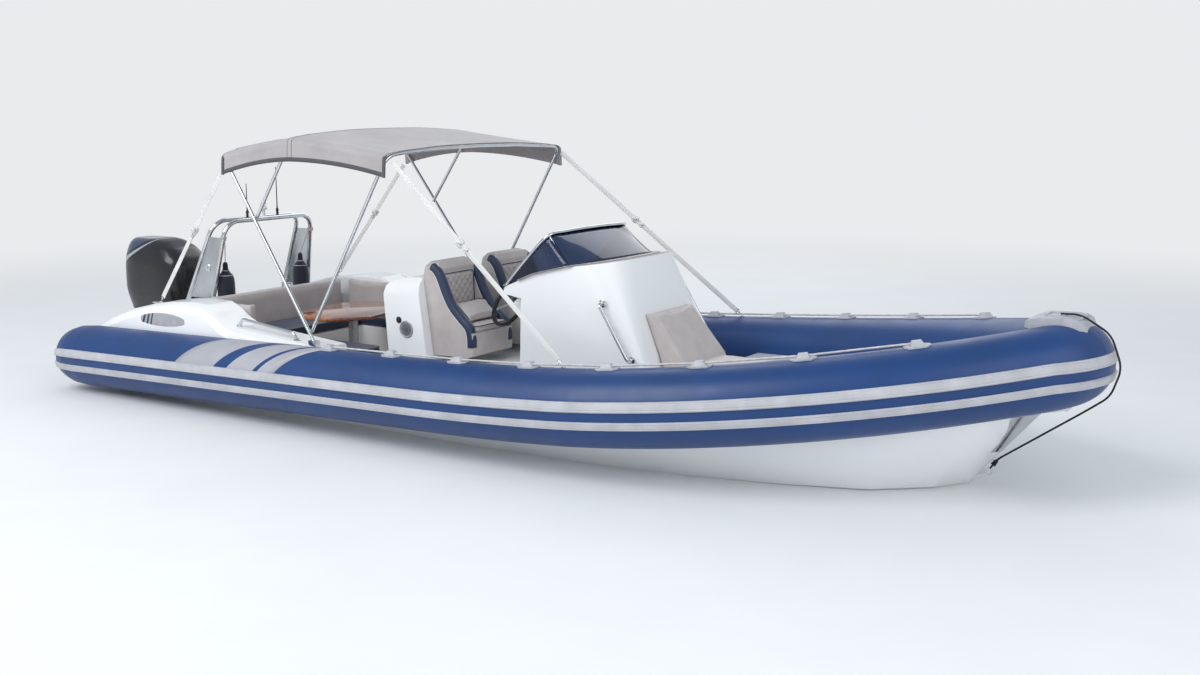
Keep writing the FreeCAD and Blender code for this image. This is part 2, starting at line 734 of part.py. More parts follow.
SIDE_STATION_XS = (SHEER_RISE_START_X, 0.5 * (SHEER_RISE_START_X + TUBE_CURVE_START_X))
STERN_STRAIGHT_X = TUBE_STERN_X + STERN_CONE[-1][0]


def mid_stations():
    """Stations of the port middle chamber, from aft forward."""
    return [side_station(x) for x in SIDE_STATION_XS] + bow_side_stations()[:MID_CHAMBER_COUNT + 1]


def bow_stations():
    """Stations of the bow chamber, from port round the nose to starboard."""
    port = bow_side_stations()[MID_CHAMBER_COUNT:]
    return port + [starboard(s) for s in reversed(port[:-1])]


def whole_run():
    """Stations of the whole tube, from the port stern round the nose to the starboard stern."""
    port = [side_station(x) for x in (STERN_STRAIGHT_X,) + SIDE_STATION_XS] + bow_side_stations()
    return port + [starboard(s) for s in reversed(port[:-1])]


def all_tubes(radius):
    """Every chamber at a given radius: aft pair, middle pair, bow."""
    cone = [tube_section(side_station(TUBE_STERN_X + back), radius * share) for back, share in STERN_CONE]
    aft = loft(cone + [tube_section(side_station(SHEER_RISE_START_X), radius)])
    mid = loft([tube_section(s, radius) for s in mid_stations()])
    bow = loft([tube_section(s, radius) for s in bow_stations()])
    return both_sides(aft) + both_sides(mid) + [bow]


# Hull


def hull_half(row):
    """Half outline of a hull station: keel, chine, knuckle, tuck, gunwale and sole edge."""
    x0, rake, keel_z, chine_y, chine_z, knuckle_y, knuckle_z = row
    if chine_y <= STEM_HALF_WIDTH:
        top_z = sheer_z(TUBE_NOSE_X) - TUBE_RADIUS + 4.0
        edges = [(knuckle_y + 1.0, top_z - 20.0), (knuckle_y + 1.0, top_z), (knuckle_y - 3.0, top_z),
                 (knuckle_y - 6.0, top_z - 15.0)]
        return [(0.0, keel_z), (chine_y, chine_z), (knuckle_y, knuckle_z)] + edges
    spread = TUBE_HALF_SPREAD / HULL_LINES_SPREAD
    chine_y = chine_y * spread
    knuckle_y = knuckle_y * spread
    axis_y, axis_z = tube_crossing(x0 + rake * knuckle_z)
    tuck_y = max(axis_y - HULL_TUCK, knuckle_y + 5.0)
    top_z = axis_z - GUNWALE_DROP * TUBE_RADIUS
    gunwale_y = max(axis_y - TUBE_RADIUS - GUNWALE_INSET, 40.0)
    floor_z = min(SOLE_Z + SOLE_BOW_LIFT * max(0.0, x0 - SOLE_LEVEL_END_X), top_z - 15.0)
    edges = [(tuck_y, axis_z - 0.75 * TUBE_RADIUS), (tuck_y, top_z), (gunwale_y, top_z),
             (gunwale_y - LINER_SLOPE, floor_z)]
    return [(0.0, keel_z), (chine_y, chine_z), (knuckle_y, knuckle_z)] + edges


def hull_ring(row):
    """Closed outline of a hull station in its raked plane."""
    half = hull_half(row)
    both = half + [(-y, z) for y, z in reversed(half[1:])]
    return ring([(row[0] + row[1] * z, y, z) for y, z in both])


def foredeck_outline(row):
    """Outline of the raised foredeck inside a hull station."""
    half = hull_half(row)
    gunwale_y, top_z = half[-2]
    floor_y, floor_z = half[-1]
    high_z = max(FOREDECK_Z + FOREDECK_RISE * (row[0] - FOREDECK_AFT_X), top_z + FOREDECK_MIN_DEPTH)
    right = [(floor_y - SEAT_GAP, floor_z + SEAT_GAP), (gunwale_y - SEAT_GAP, top_z + SEAT_GAP),
             (gunwale_y + FOREDECK_FLARE, high_z)]
    both = right + [(-y, z) for y, z in reversed(right)]
    return ring([(row[0] + row[1] * z, y, z) for y, z in both])


def make_foredeck():
    """Raised foredeck on top of the hull's bow, cut square at its aft end."""
    before = [r for r in HULL_STATIONS if r[0] <= FOREDECK_AFT_X][-1]
    after = [r for r in HULL_STATIONS if r[0] > FOREDECK_AFT_X]
    deck = loft([foredeck_outline(r) for r in [before] + after])
    box = deck.BoundBox
    return deck.cut(slab(box.XMin - 1.0, FOREDECK_AFT_X, box.YMin - 1.0, box.YMax + 1.0, box.ZMin - 1.0,
                         box.ZMax + 1.0))


def build_structure(chambers):
    """Hull, foredeck, tubes, strakes and transom."""
    hull = seated(loft([hull_ring(row) for row in HULL_STATIONS]), chambers)
    export("hull", [hull])
    foredeck = largest(seated(make_foredeck(), chambers))
    export("foredeck", [foredeck])
    names = ("tube_aft_port", "tube_aft_starboard", "tube_mid_port", "tube_mid_starboard", "tube_bow")
    for name, solid in zip(names, all_tubes(TUBE_RADIUS)):
        export(name, [solid])
    for name, upper, lower in STRAKES:
        export(name, [loft([strake_section(s, upper, lower) for s in whole_run()])])
    export("transom", [slab(TRANSOM_X, TRANSOM_X + TRANSOM_THICKNESS, -ENGINE_WELL_HALF_WIDTH,
                            ENGINE_WELL_HALF_WIDTH, SOLE_Z, TRANSOM_TOP_Z)])
    return hull, foredeck


def on_station(station, points):
    """Points given along, outboard and above a place on top of the tube, as a ring."""
    _, along, out = station
    up = along.cross(out)
    origin = on_tube(station, TUBE_RADIUS, -90.0)
    return ring([origin + along * x + out * y + up * z for x, y, z in points])


def rail_pad(station):
    """Rubber pad with a saddle over the rope."""
    half, wide, corner = 0.5 * RAIL_PAD_LENGTH, 0.5 * RAIL_PAD_WIDTH, RAIL_PAD_CORNER
    plan = [(half - corner, wide), (corner - half, wide), (-half, wide - corner), (-half, corner - wide),
            (corner - half, -wide), (half - corner, -wide), (half, corner - wide), (half, wide - corner)]
    base = loft([on_station(station, [(x, y, z) for x, y in plan]) for z in (-RAIL_PAD_DEPTH, RAIL_PAD_SKIRT)])
    long, wide = 0.5 * RAIL_SADDLE_LENGTH, 0.5 * RAIL_SADDLE_WIDTH
    rings = []
    for share, z in ((1.0, 0.0), (1.0, 0.5 * RAIL_PAD_SKIRT), (RAIL_SADDLE_CREST, RAIL_SADDLE_HEIGHT)):
        corners = ((long, wide), (-long, wide), (-long, -wide), (long, -wide))
        rings.append(on_station(station, [(x * share, y * share, z) for x, y in corners]))
    return base.fuse(loft(rings)).removeSplitter()


def build_rail(chambers):
    """Rail pads and the rope that runs through them, both sides."""
    stations = [station_near(RAIL_PAD_FIRST_X + index * RAIL_PAD_PITCH) for index in range(RAIL_PAD_COUNT)]
    whole = [rail_pad(s) for s in stations]
    crowns = [on_tube(s, TUBE_RADIUS + RAIL_ROPE_LIFT, -90.0) for s in stations]
    pads = []
    runs = []
    for pad in whole:
        pads += both_sides(seated(pad, chambers))
    for first, second, pad, following in zip(crowns, crowns[1:], whole, whole[1:]):
        run = bar(first, second, RAIL_ROPE_RADIUS, SLIM_FACETS).cut(pad).cut(following)
        runs += both_sides(largest(run))
    export("rail_pads", pads)
    export("rail_rope", runs)


def coaming_ring(x):
    """Cross-section of the port coaming, with its rounded shoulder."""
    top = height_on(COAMING_TOP, x)
    inner, outer, edge, shoulder = COAMING_INNER_Y, COAMING_OUTER_Y, COAMING_INNER_EDGE, COAMING_SHOULDER
    outline = [(inner, COAMING_BASE_Z), (inner, top - edge), (inner + edge, top), (outer - 2.2 * shoulder, top),
               (outer - 0.7 * shoulder, top - 0.5 * shoulder), (outer, top - 1.8 * shoulder),
               (outer, COAMING_BASE_Z)]
    return ring([(x, y, z) for y, z in outline])


def build_stern(chambers):
    """Stern decks, coamings with their rails, seating and table."""
    inner = ENGINE_WELL_HALF_WIDTH + SEAT_GAP
    outer = COAMING_INNER_Y - SEAT_GAP
    deck = front_profile([(inner, SOLE_Z), (inner, STERN_DECK_Z - STERN_DECK_BEVEL),
                          (inner + STERN_DECK_BEVEL, STERN_DECK_Z), (outer, STERN_DECK_Z), (outer, SOLE_Z)],
                         TRANSOM_X, STERN_DECK_FWD_X)
    export("stern_decks", both_sides(seated(deck, chambers)))
    coaming = largest(seated(loft([coaming_ring(x) for x, _ in COAMING_TOP]), chambers))
    export("coamings", both_sides(coaming))
    ends = [(x, height_on(COAMING_TOP, x)) for x in (GRAB_RAIL_AFT_X, GRAB_RAIL_FWD_X)]
    (x0, z0), (x1, z1) = ends
    lean = GRAB_RAIL_RISE
    rail = bent_tube([(x0, GRAB_RAIL_Y, z0 - lean), (x0 + lean, GRAB_RAIL_Y, z0 + lean),
                      (x1 - lean, GRAB_RAIL_Y, z1 + lean), (x1, GRAB_RAIL_Y, z1 - lean)],
                     GRAB_RAIL_BEND, GRAB_RAIL_RADIUS)
    export("coaming_rails", both_sides(largest(resting(rail, coaming))))
    build_seating()
    build_table()
    return coaming


def build_seating():
    """U-shaped seat base, its cushions and backrests."""
    plan = [(BENCH_AFT_X, -BENCH_OUTER_Y), (BENCH_AFT_X, BENCH_OUTER_Y), (BENCH_SIDE_FWD_X, BENCH_OUTER_Y),
            (BENCH_SIDE_FWD_X, BENCH_SIDE_INNER_Y), (BENCH_FRONT_X, BENCH_SIDE_INNER_Y),
            (BENCH_FRONT_X, -BENCH_SIDE_INNER_Y), (BENCH_SIDE_FWD_X, -BENCH_SIDE_INNER_Y),
            (BENCH_SIDE_FWD_X, -BENCH_OUTER_Y)]
    base = Part.Face(ring([(x, y, SOLE_Z) for x, y in plan])).extrude(UP * (BENCH_Z - SOLE_Z))
    export("seat_base", [base])
    low = BENCH_Z + SEAT_GAP
    high = BENCH_Z + CUSHION_THICKNESS
    behind = BENCH_AFT_X + BACKREST_THICKNESS + CUSHION_GAP
    edge_y = BENCH_SIDE_INNER_Y - 0.5 * CUSHION_GAP
    aft = cushion(behind, BENCH_FRONT_X, -edge_y, edge_y, low, high)
    side = cushion(behind, BENCH_SIDE_FWD_X, edge_y + SEAT_GAP, BENCH_OUTER_Y - SEAT_GAP, low, high)
    export("seat_cushions", [aft] + both_sides(side))
    back_half = BENCH_OUTER_Y - BACKREST_FLANK_WIDTH - CUSHION_GAP
    back = cushion(BENCH_AFT_X, BENCH_AFT_X + BACKREST_THICKNESS, -back_half, back_half, low, BACKREST_TOP_Z)
    flank = cushion(behind, BACKREST_FLANK_FWD_X, BENCH_OUTER_Y - BACKREST_FLANK_WIDTH, BENCH_OUTER_Y - SEAT_GAP,
                    high + SEAT_GAP, BACKREST_TOP_Z - CUSHION_GAP, BACKREST_FLANK_EDGE)
    export("seat_backrests", [back] + both_sides(flank))


def build_table():
    """Table top with cut corners on its pedestal."""
    x, y = TABLE_CENTRE
    low = TABLE_TOP_Z - TABLE_THICKNESS
    half_x, half_y = 0.5 * TABLE_WIDTH, 0.5 * TABLE_LENGTH
    plan = cut_corner_plan(x - half_x, x + half_x, y - half_y, y + half_y, TABLE_CORNER, low)
    top = Part.Face(plan).extrude(UP * TABLE_THICKNESS)
    top.rotate(Vector(x, y, low), UP, TABLE_TURN)
    export("table_top", [top])
    foot_z = SOLE_Z + SEAT_GAP
    height = low - SEAT_GAP - foot_z
    rows = [(PEDESTAL_FOOT_RADIUS, 0.0), (PEDESTAL_FOOT_RADIUS, 0.5 * PEDESTAL_FOOT_HEIGHT),
            (PEDESTAL_RADIUS, PEDESTAL_FOOT_HEIGHT), (PEDESTAL_RADIUS, height - 2.0 * PEDESTAL_PLATE_THICKNESS),
            (PEDESTAL_PLATE_RADIUS, height - PEDESTAL_PLATE_THICKNESS), (PEDESTAL_PLATE_RADIUS, height)]
    export("table_pedestal", [turned(Vector(x, y, foot_z), UP, rows, PIN_FACETS)])


# Helm


def rounded_front(centre, half, low, high, corner):
    """Outline in y and z with two rounded upper corners."""
    port = [(half, low)]
    for degrees in (0.0, 30.0, 60.0, 90.0):
        a = math.radians(degrees)
        port.append((half - corner + corner * math.cos(a), high - corner + corner * math.sin(a)))
    return [(centre + y, z) for y, z in port] + [(centre - y, z) for y, z in reversed(port)]


def seat_shell(centre):
    """Bucket of one helm seat: back, squab and two wings, with a rounded head."""
    y0, y1 = centre - SEAT_HALF_WIDTH, centre + SEAT_HALF_WIDTH
    knee_x, knee_z = POD_KNEE
    brow_x, brow_z = POD_BROW
    rear = [(knee_x + SEAT_GAP, SEAT_LOW_Z), (brow_x + SEAT_GAP, brow_z), (brow_x + 3.0, SEAT_HEAD_Z - 40.0),
            (brow_x + 25.0, SEAT_HEAD_Z - 8.0), (brow_x + 65.0, SEAT_HEAD_Z),
            (brow_x + 103.0, SEAT_HEAD_Z - 16.0)]
    front = [(SEAT_BACK_X - 10.0, SEAT_HEAD_Z - 56.0), (SEAT_BACK_X, SEAT_SQUAB_Z),
             (SEAT_FRONT_X, SEAT_SQUAB_Z), (SEAT_FRONT_X, SEAT_LOW_Z + 20.0), (SEAT_FRONT_X - 50.0, SEAT_LOW_Z)]
    back = side_profile(rear + front, y0, y1)
    wing = [(brow_x + 35.0, SEAT_WING_EDGE[0][1])] + list(SEAT_WING_EDGE) + [(-560.0, SEAT_WING_EDGE[-1][1])]
    wings = [side_profile(wing, low_y, low_y + SEAT_WING) for low_y in (y0, y1 - SEAT_WING)]
    outline = rounded_front(centre, SEAT_HALF_WIDTH, SEAT_LOW_Z, SEAT_HEAD_Z, SEAT_HEAD_CORNER)
    return back.fuse(wings).common(front_profile(outline, knee_x - 200.0, SEAT_FRONT_X + 1.0)).removeSplitter()


def bolster(centre):
    """Front cushion of a helm seat with the pins that it flips up on."""
    x, z = BOLSTER_PIVOT
    half = SEAT_HALF_WIDTH - SEAT_WING - 8.0
    body = side_profile([(x + dx, z + dz) for dx, dz in BOLSTER_SIDE], centre - half, centre + half)
    reach = SEAT_HALF_WIDTH - SEAT_WING - SEAT_GAP
    return body.fuse(rod((x, centre - reach, z), (x, centre + reach, z), BOLSTER_PIN_RADIUS)).removeSplitter()


def build_helm():
    """Seat pod, platform, bucket seats, bolsters."""
    pod = side_profile(POD_SIDE, -POD_HALF_WIDTH, POD_HALF_WIDTH)
    crown_z = max(z for _, z in POD_SIDE)
    pod = pod.common(front_profile(rounded_front(0.0, POD_HALF_WIDTH, SOLE_Z, crown_z, POD_CORNER),
                                   POD_SIDE[2][0] - 100.0, POD_FRONT_X + 1.0))
    export("seat_pod", [pod.removeSplitter()])
    platform = slab(POD_FRONT_X + SEAT_GAP, CONSOLE_AFT_X - SEAT_GAP, -POD_HALF_WIDTH, POD_HALF_WIDTH, SOLE_Z,
                    HELM_PLATFORM_Z)
    export("helm_platform", [platform])
    sides = (("bolster_port", SEAT_CENTRE_Y), ("bolster_starboard", -SEAT_CENTRE_Y))
    export("seat_shells", [seat_shell(centre) for _, centre in sides])
    inner = SEAT_HALF_WIDTH - SEAT_WING - SEAT_GAP
    pad_x = SEAT_BACK_X + 23.0
    pads = [cushion(pad_x, SEAT_FRONT_X, centre - inner, centre + inner, SEAT_SQUAB_Z + SEAT_GAP, SEAT_PAD_Z,
                    SEAT_PAD_EDGE) for _, centre in sides]
    export("seat_pads", pads)
    for name, centre in sides:
        export(name, [bolster(centre)])


# Console


def wheel_axis():
    """Centre of the steering wheel and the way that its axis points, towards the helm."""
    rake = math.radians(WHEEL_RAKE)
    return Vector(*WHEEL_CENTRE), Vector(-math.cos(rake), 0.0, math.sin(rake))


def make_console():
    """Console moulding: rounded towards the bow, cut to its side outline, with the wheel's boss."""
    top_z = CONSOLE_TOP[-1][1] + 5.0
    foot_x = FOREDECK_AFT_X - 20.0
    plans = ((SOLE_Z, foot_x, CONSOLE_FOOT_CORNER), (CONSOLE_MID_Z, CONSOLE_MID_FRONT_X, CONSOLE_MID_CORNER),
             (top_z, CONSOLE_TOP_FRONT_X, CONSOLE_TOP_CORNER))
    aft = CONSOLE_TOP[0][0] - 10.0
    body = loft([rounded_plan(aft, front, CONSOLE_HALF_WIDTH, corner, z, 5, 2.0) for z, front, corner in plans])
    side = [(CONSOLE_AFT_X + CONSOLE_TOE, SOLE_Z), (CONSOLE_AFT_X + CONSOLE_KICK, CONSOLE_LIP_Z)]
    side += list(CONSOLE_TOP)
    side += [(foot_x + 10.0, CONSOLE_TOP[-1][1]), (foot_x + 10.0, SOLE_Z)]
    body = body.common(side_profile(side, -CONSOLE_HALF_WIDTH - 1.0, CONSOLE_HALF_WIDTH + 1.0))
    centre, axis = wheel_axis()
    start = centre - axis * (WHEEL_HUB_LENGTH - 10.0 + SEAT_GAP)
    boss = turned(start, axis * -1.0, [(WHEEL_BOSS_RADIUS, 0.0), (WHEEL_BOSS_RADIUS, WHEEL_BOSS_LENGTH)])
    inside = slab(start.x - 2.0 * WHEEL_BOSS_RADIUS, CONSOLE_AFT_X + CONSOLE_KICK + 20.0, -CONSOLE_HALF_WIDTH,
                  CONSOLE_HALF_WIDTH, 0.0, CONSOLE_LIP_Z)
    return body.fuse(boss.common(inside)).removeSplitter()


def build_console(foredeck):
    """Console, dash, screen, rails, wheel, front seat."""
    body = make_console()
    export("console", [body])
    line = [(x, z + SEAT_GAP) for x, z in CONSOLE_TOP]
    ends = [(x, height_on(line, x)) for x in (CONSOLE_TOP[1][0] + 5.0, DASH_FWD_X)]
    dash = side_profile(ends + [(x, z + DASH_THICKNESS) for x, z in reversed(ends)], -DASH_HALF_WIDTH,
                        DASH_HALF_WIDTH)
    export("dash", [dash])
    build_screen(body)
    out = CONSOLE_HALF_WIDTH + GRAB_STANDOFF
    into = CONSOLE_HALF_WIDTH - GRAB_SINK
    grab = bent_tube([(GRAB_TOP[0], into, GRAB_TOP[1]), (GRAB_TOP[0], out, GRAB_TOP[1]),
                      (GRAB_FOOT[0], out, GRAB_FOOT[1]), (GRAB_FOOT[0], into, GRAB_FOOT[1])],
                     GRAB_BEND, GRAB_RADIUS)
    export("console_rails", both_sides(largest(resting(grab, body, Vector(0.0, 1.0, 0.0)))))
    build_front_seat(body, foredeck)
    build_wheel()


def build_front_seat(console, foredeck):
    """Backrest on the console's front face and the cushion before it."""
    y = FRONT_SEAT_HALF_WIDTH
    low = FOREDECK_Z - 10.0
    slope = (CONSOLE_MID_FRONT_X - CONSOLE_TOP_FRONT_X) / (CONSOLE_TOP[-1][1] + 5.0 - CONSOLE_MID_Z)
    high_x = CONSOLE_MID_FRONT_X - slope * (FRONT_SEAT_TOP_Z - CONSOLE_MID_Z)
    thick = FRONT_SEAT_BACK_THICKNESS
    front_x = FOREDECK_AFT_X - 20.0 + thick
    back = side_profile([(high_x - thick, low), (high_x - thick, FRONT_SEAT_TOP_Z),
                         (high_x + 0.5 * thick, FRONT_SEAT_TOP_Z),
                         (high_x + 0.7 * thick, FRONT_SEAT_TOP_Z - 30.0),
                         (front_x, FOREDECK_Z + thick), (front_x, low)], -y, y)
    back = largest(resting(resting(back, console, FORWARD), foredeck))
    start = front_x + SEAT_GAP
    pad = cushion(start, start + FRONT_SEAT_PAD_LENGTH, -y, y, low, FOREDECK_Z + FRONT_SEAT_PAD_THICKNESS)
    export("console_seat", [back, largest(resting(pad, foredeck))])


def build_wheel():
    """Steering wheel with its rim, hub and three spokes."""
    centre, axis = wheel_axis()
    level = Vector(0.0, 1.0, 0.0)
    steep = axis.cross(level).normalize()

    def rim_point(index):
        angle = 2.0 * math.pi * index / WHEEL_CHORD_COUNT
        return centre + (level * math.cos(angle) + steep * math.sin(angle)) * WHEEL_RADIUS

    half = WHEEL_CHORD_COUNT // 2
    shapes = []
    for start in (0, half):
        corners = [rim_point(start + index) for index in range(half + 2)]
        first = (corners[0] + corners[1]) * 0.5
        last = (corners[-2] + corners[-1]) * 0.5
        shapes.append(tube_along([first] + corners[1:-1] + [last], WHEEL_GRIP_RADIUS, SLIM_FACETS))
    low = centre - axis * (WHEEL_HUB_LENGTH - 10.0)
    shapes.append(rod(low, low + axis * WHEEL_HUB_LENGTH, WHEEL_HUB_RADIUS))
    foot = centre - axis * WHEEL_DISH
    for degrees in WHEEL_SPOKE_ANGLES:
        turn = math.radians(degrees)
        out = level * math.cos(turn) - steep * math.sin(turn)
        start = foot + out * (0.6 * WHEEL_HUB_RADIUS)
        shapes.append(bar(start, centre + out * WHEEL_RADIUS, WHEEL_SPOKE_RADIUS))
    export("steering_wheel", [shapes[0].fuse(shapes[1:]).removeSplitter()])


def screen_panes():
    """Panes from the port helm end round the front to the starboard helm end, each with its side."""
    port = [(pane, 1.0) for pane in SCREEN_PANES]
    return port + [(pane, -1.0) for pane in reversed(SCREEN_PANES[:-1])]


def build_screen(console):
    """Tinted wraparound screen, the rail on its edge and the two braces at its corners."""
    t = SCREEN_THICKNESS
    sections = []
    rim = []
    for (x0, y0, x1, y1, z1, dx, dy), sign in screen_panes():
        z0 = height_on(CONSOLE_TOP, x0) - SCREEN_SINK
        inside = [(x1 + dx * t, sign * (y1 + dy * t), z1), (x0 + dx * t, sign * (y0 + dy * t), z0)]
        sections.append(ring([(x0, sign * y0, z0), (x1, sign * y1, z1)] + inside))
        rim.append((x1 + 0.5 * dx * t, sign * (y1 + 0.5 * dy * t), z1 + SCREEN_RAIL_RADIUS + SEAT_GAP))
    glass = largest(resting(loft(sections), console))
    export("windscreen", [glass])
    ends = [(SCREEN_PANES[0][0] - 16.0, side * (SCREEN_PANES[0][1] + 4.0)) for side in (1.0, -1.0)]
    feet = [(x, y, height_on(CONSOLE_TOP, x)) for x, y in ends]
    rail = bent_tube([feet[0]] + rim[1:-1] + [feet[1]], SCREEN_RAIL_BEND, SCREEN_RAIL_RADIUS)
    x0, y0, x1, y1, z1, dx, dy = SCREEN_PANES[SCREEN_BRACE_PANE]
    off = SCREEN_BRACE_RADIUS + SEAT_GAP
    z0 = height_on(CONSOLE_TOP, x0) - SCREEN_BRACE_RADIUS
    brace = bar((x0 - dx * off, y0 - dy * off, z0), (x1 - dx * off, y1 - dy * off, z1 + SCREEN_RAIL_RADIUS),
                SCREEN_BRACE_RADIUS)
    rail = rail.fuse(both_sides(brace)).cut(glass)
    export("screen_rail", [largest(resting(rail, console)).removeSplitter()])


# Arch


def arch_leg_point(hoop, side, share):
    """Point on a leg of a hoop, at a share of its rise."""
    x0, y0, x1, y1 = hoop
    return Vector(x0 + share * (x1 - x0), side * (y0 + share * (y1 - y0)),
                  STERN_DECK_Z + share * (ARCH_TOP_Z - STERN_DECK_Z))


def build_arch():
    """Double-tube arch with filler plates, its light and aerials, and the hung fenders."""
    shapes = []
    half = 0.5 * ARCH_PLATE_THICKNESS
    for hoop in ARCH_HOOPS:
        corners = [arch_leg_point(hoop, side, share) for side, share in ((1, 0), (1, 1), (-1, 1), (-1, 0))]
        shapes.append(bent_tube(corners, ARCH_BEND, ARCH_TUBE_RADIUS))
        for foot in (corners[0], corners[-1]):
            rows = [(ARCH_FLANGE_RADIUS, SEAT_GAP), (ARCH_FLANGE_RADIUS - 4.0, ARCH_FLANGE_THICKNESS)]
            shapes.append(turned(foot, UP, rows))
    aft, fore = ARCH_HOOPS
    low, high = ARCH_PLATE_SHARES
    for side in (1, -1):
        corners = [arch_leg_point(hoop, side, share)
                   for hoop, share in ((aft, low), (fore, low), (fore, high), (aft, high))]
        face = Part.Face(ring(corners))
        normal = face.normalAt(0, 0)
        plate = face.extrude(normal * ARCH_PLATE_THICKNESS)
        plate.translate(normal * -half)
        shapes.append(plate)
    shapes.append(slab(aft[2], fore[2], -ARCH_TOP_PLATE_HALF, ARCH_TOP_PLATE_HALF, ARCH_TOP_Z - half,
                       ARCH_TOP_Z + half))
    arch = shapes[0].fuse(shapes[1:]).removeSplitter()
    box = arch.BoundBox
    below = slab(box.XMin, box.XMax, box.YMin, box.YMax, box.ZMin - 1.0, STERN_DECK_Z + SEAT_GAP)
    export("arch", [largest(arch.cut(below))])
    x = 0.5 * (aft[2] + fore[2])
    base = Vector(x, 0.0, ARCH_TOP_Z + half + SEAT_GAP)
    export("arch_light", [turned(base, UP, LIGHT_ROWS)])
    aerials = []
    for y, height in AERIALS:
        rows = [(AERIAL_FOOT_RADIUS, 0.0), (AERIAL_FOOT_RADIUS, AERIAL_FOOT_HEIGHT),
                (0.5 * AERIAL_FOOT_RADIUS, AERIAL_FOOT_HEIGHT + 6.0), (AERIAL_TIP_RADIUS, height)]
        aerials.append(turned(Vector(x, y, base.z), UP, rows, BAR_FACETS))
    export("aerials", aerials)
    tied = arch_leg_point(fore, 1, FENDER_HANG_SHARE)
    y = tied.y - ARCH_TUBE_RADIUS - FENDER_RADIUS - SEAT_GAP
    rows = [(share * FENDER_RADIUS, height) for share, height in FENDER_ROWS]
    export("fenders", both_sides(turned(Vector(FENDER_X, y, STERN_DECK_Z + SEAT_GAP), UP, rows)))


# Sun top


def bow_foot(share):
    """Foot of a bow on the aft bow's port leg, and that leg."""
    foot = Vector(*SUN_TOP_FOOT)
    _, x1, y1, z1, _, _ = SUN_TOP_BOWS[0]
    leg = Vector(x1, y1, z1) - foot
    place = foot + leg * share
    if share > 0.0:
        place.y -= 2.0 * BOW_TUBE_RADIUS + 2.0 * SEAT_GAP
    return place, leg


def canopy_ring(row, lift):
    """Cross-section of the canopy over one bow, with its turned-down sides."""
    _, x, half, shoulder_z, crown, hem_z = row
    rise = crown - shoulder_z
    line = []
    for drop in (shoulder_z - hem_z, CANOPY_SHOULDER_DROP):
        line.append((half + lift + CANOPY_HEM_FLARE * drop, shoulder_z - drop))
    line.append((half + 0.4 * lift, shoulder_z))
    line += [(share * half, shoulder_z + share_z * rise + lift)
             for share, share_z in ((0.955, 0.1),) + SUN_TOP_LINE]
    grow = CANOPY_THICKNESS
    outer = [(y + grow, z) for y, z in line[:2]] + [(line[2][0] + grow, line[2][1] + grow)]
    outer += [(y, z + grow) for y, z in line[3:]]
    whole = outer + [(-y, z) for y, z in reversed(outer[:-1])] + [(-y, z) for y, z in line[:-1]]
    return ring([(x, y, z) for y, z in whole + list(reversed(line))])


def stay_pad(foot):
    """Round base and lug that a stay hooks onto, on the tube or coaming below it."""
    base = Vector(foot.x, foot.y, foot.z - STAY_PAD_DEPTH)
    disc = turned(base, UP, [(STAY_PAD_RADIUS, 0.0), (STAY_PAD_RADIUS, STAY_PAD_DEPTH - STAY_PAD_TOP - 6.0),
                             (STAY_PAD_RADIUS - 8.0, STAY_PAD_DEPTH - STAY_PAD_TOP)])
    half, wide = STAY_LUG_HALF_LENGTH, 0.5 * STAY_LUG_THICKNESS
    low = foot.z - STAY_PAD_TOP - 4.0
    lug = side_profile([(foot.x - half, low), (foot.x - half, foot.z - 12.0), (foot.x - 0.5 * half, foot.z),
                        (foot.x + 0.5 * half, foot.z), (foot.x + half, foot.z - 12.0), (foot.x + half, low)],
                       foot.y - wide, foot.y + wide)
    hole_z = foot.z - STAY_LUG_BORE - 6.0
    hole = bar((foot.x, foot.y - 2.0 * wide, hole_z), (foot.x, foot.y + 2.0 * wide, hole_z), STAY_LUG_BORE)
    return disc.fuse(lug.cut(hole)).removeSplitter()


def strap(top, foot):
    """Flat webbing pulled straight from the bow to the hook on its lug."""
    run = (foot - top).normalize()
    buckle = foot - run * STRAP_HOOK_LENGTH
    wide = run.cross(Vector(0.0, 1.0, 0.0)).normalize() * (0.5 * STRAP_WIDTH)
    thick = run.cross(wide).normalize() * (0.5 * STRAP_THICKNESS)
    face = Part.Face(ring([top + wide + thick, top + wide - thick, top - wide - thick, top - wide + thick]))
    hook = bar(buckle - run * STRAP_THICKNESS, foot - run * (STRAP_HOOK_RADIUS + SEAT_GAP), STRAP_HOOK_RADIUS, 6)
    return face.extrude(buckle - top).fuse(hook).removeSplitter()


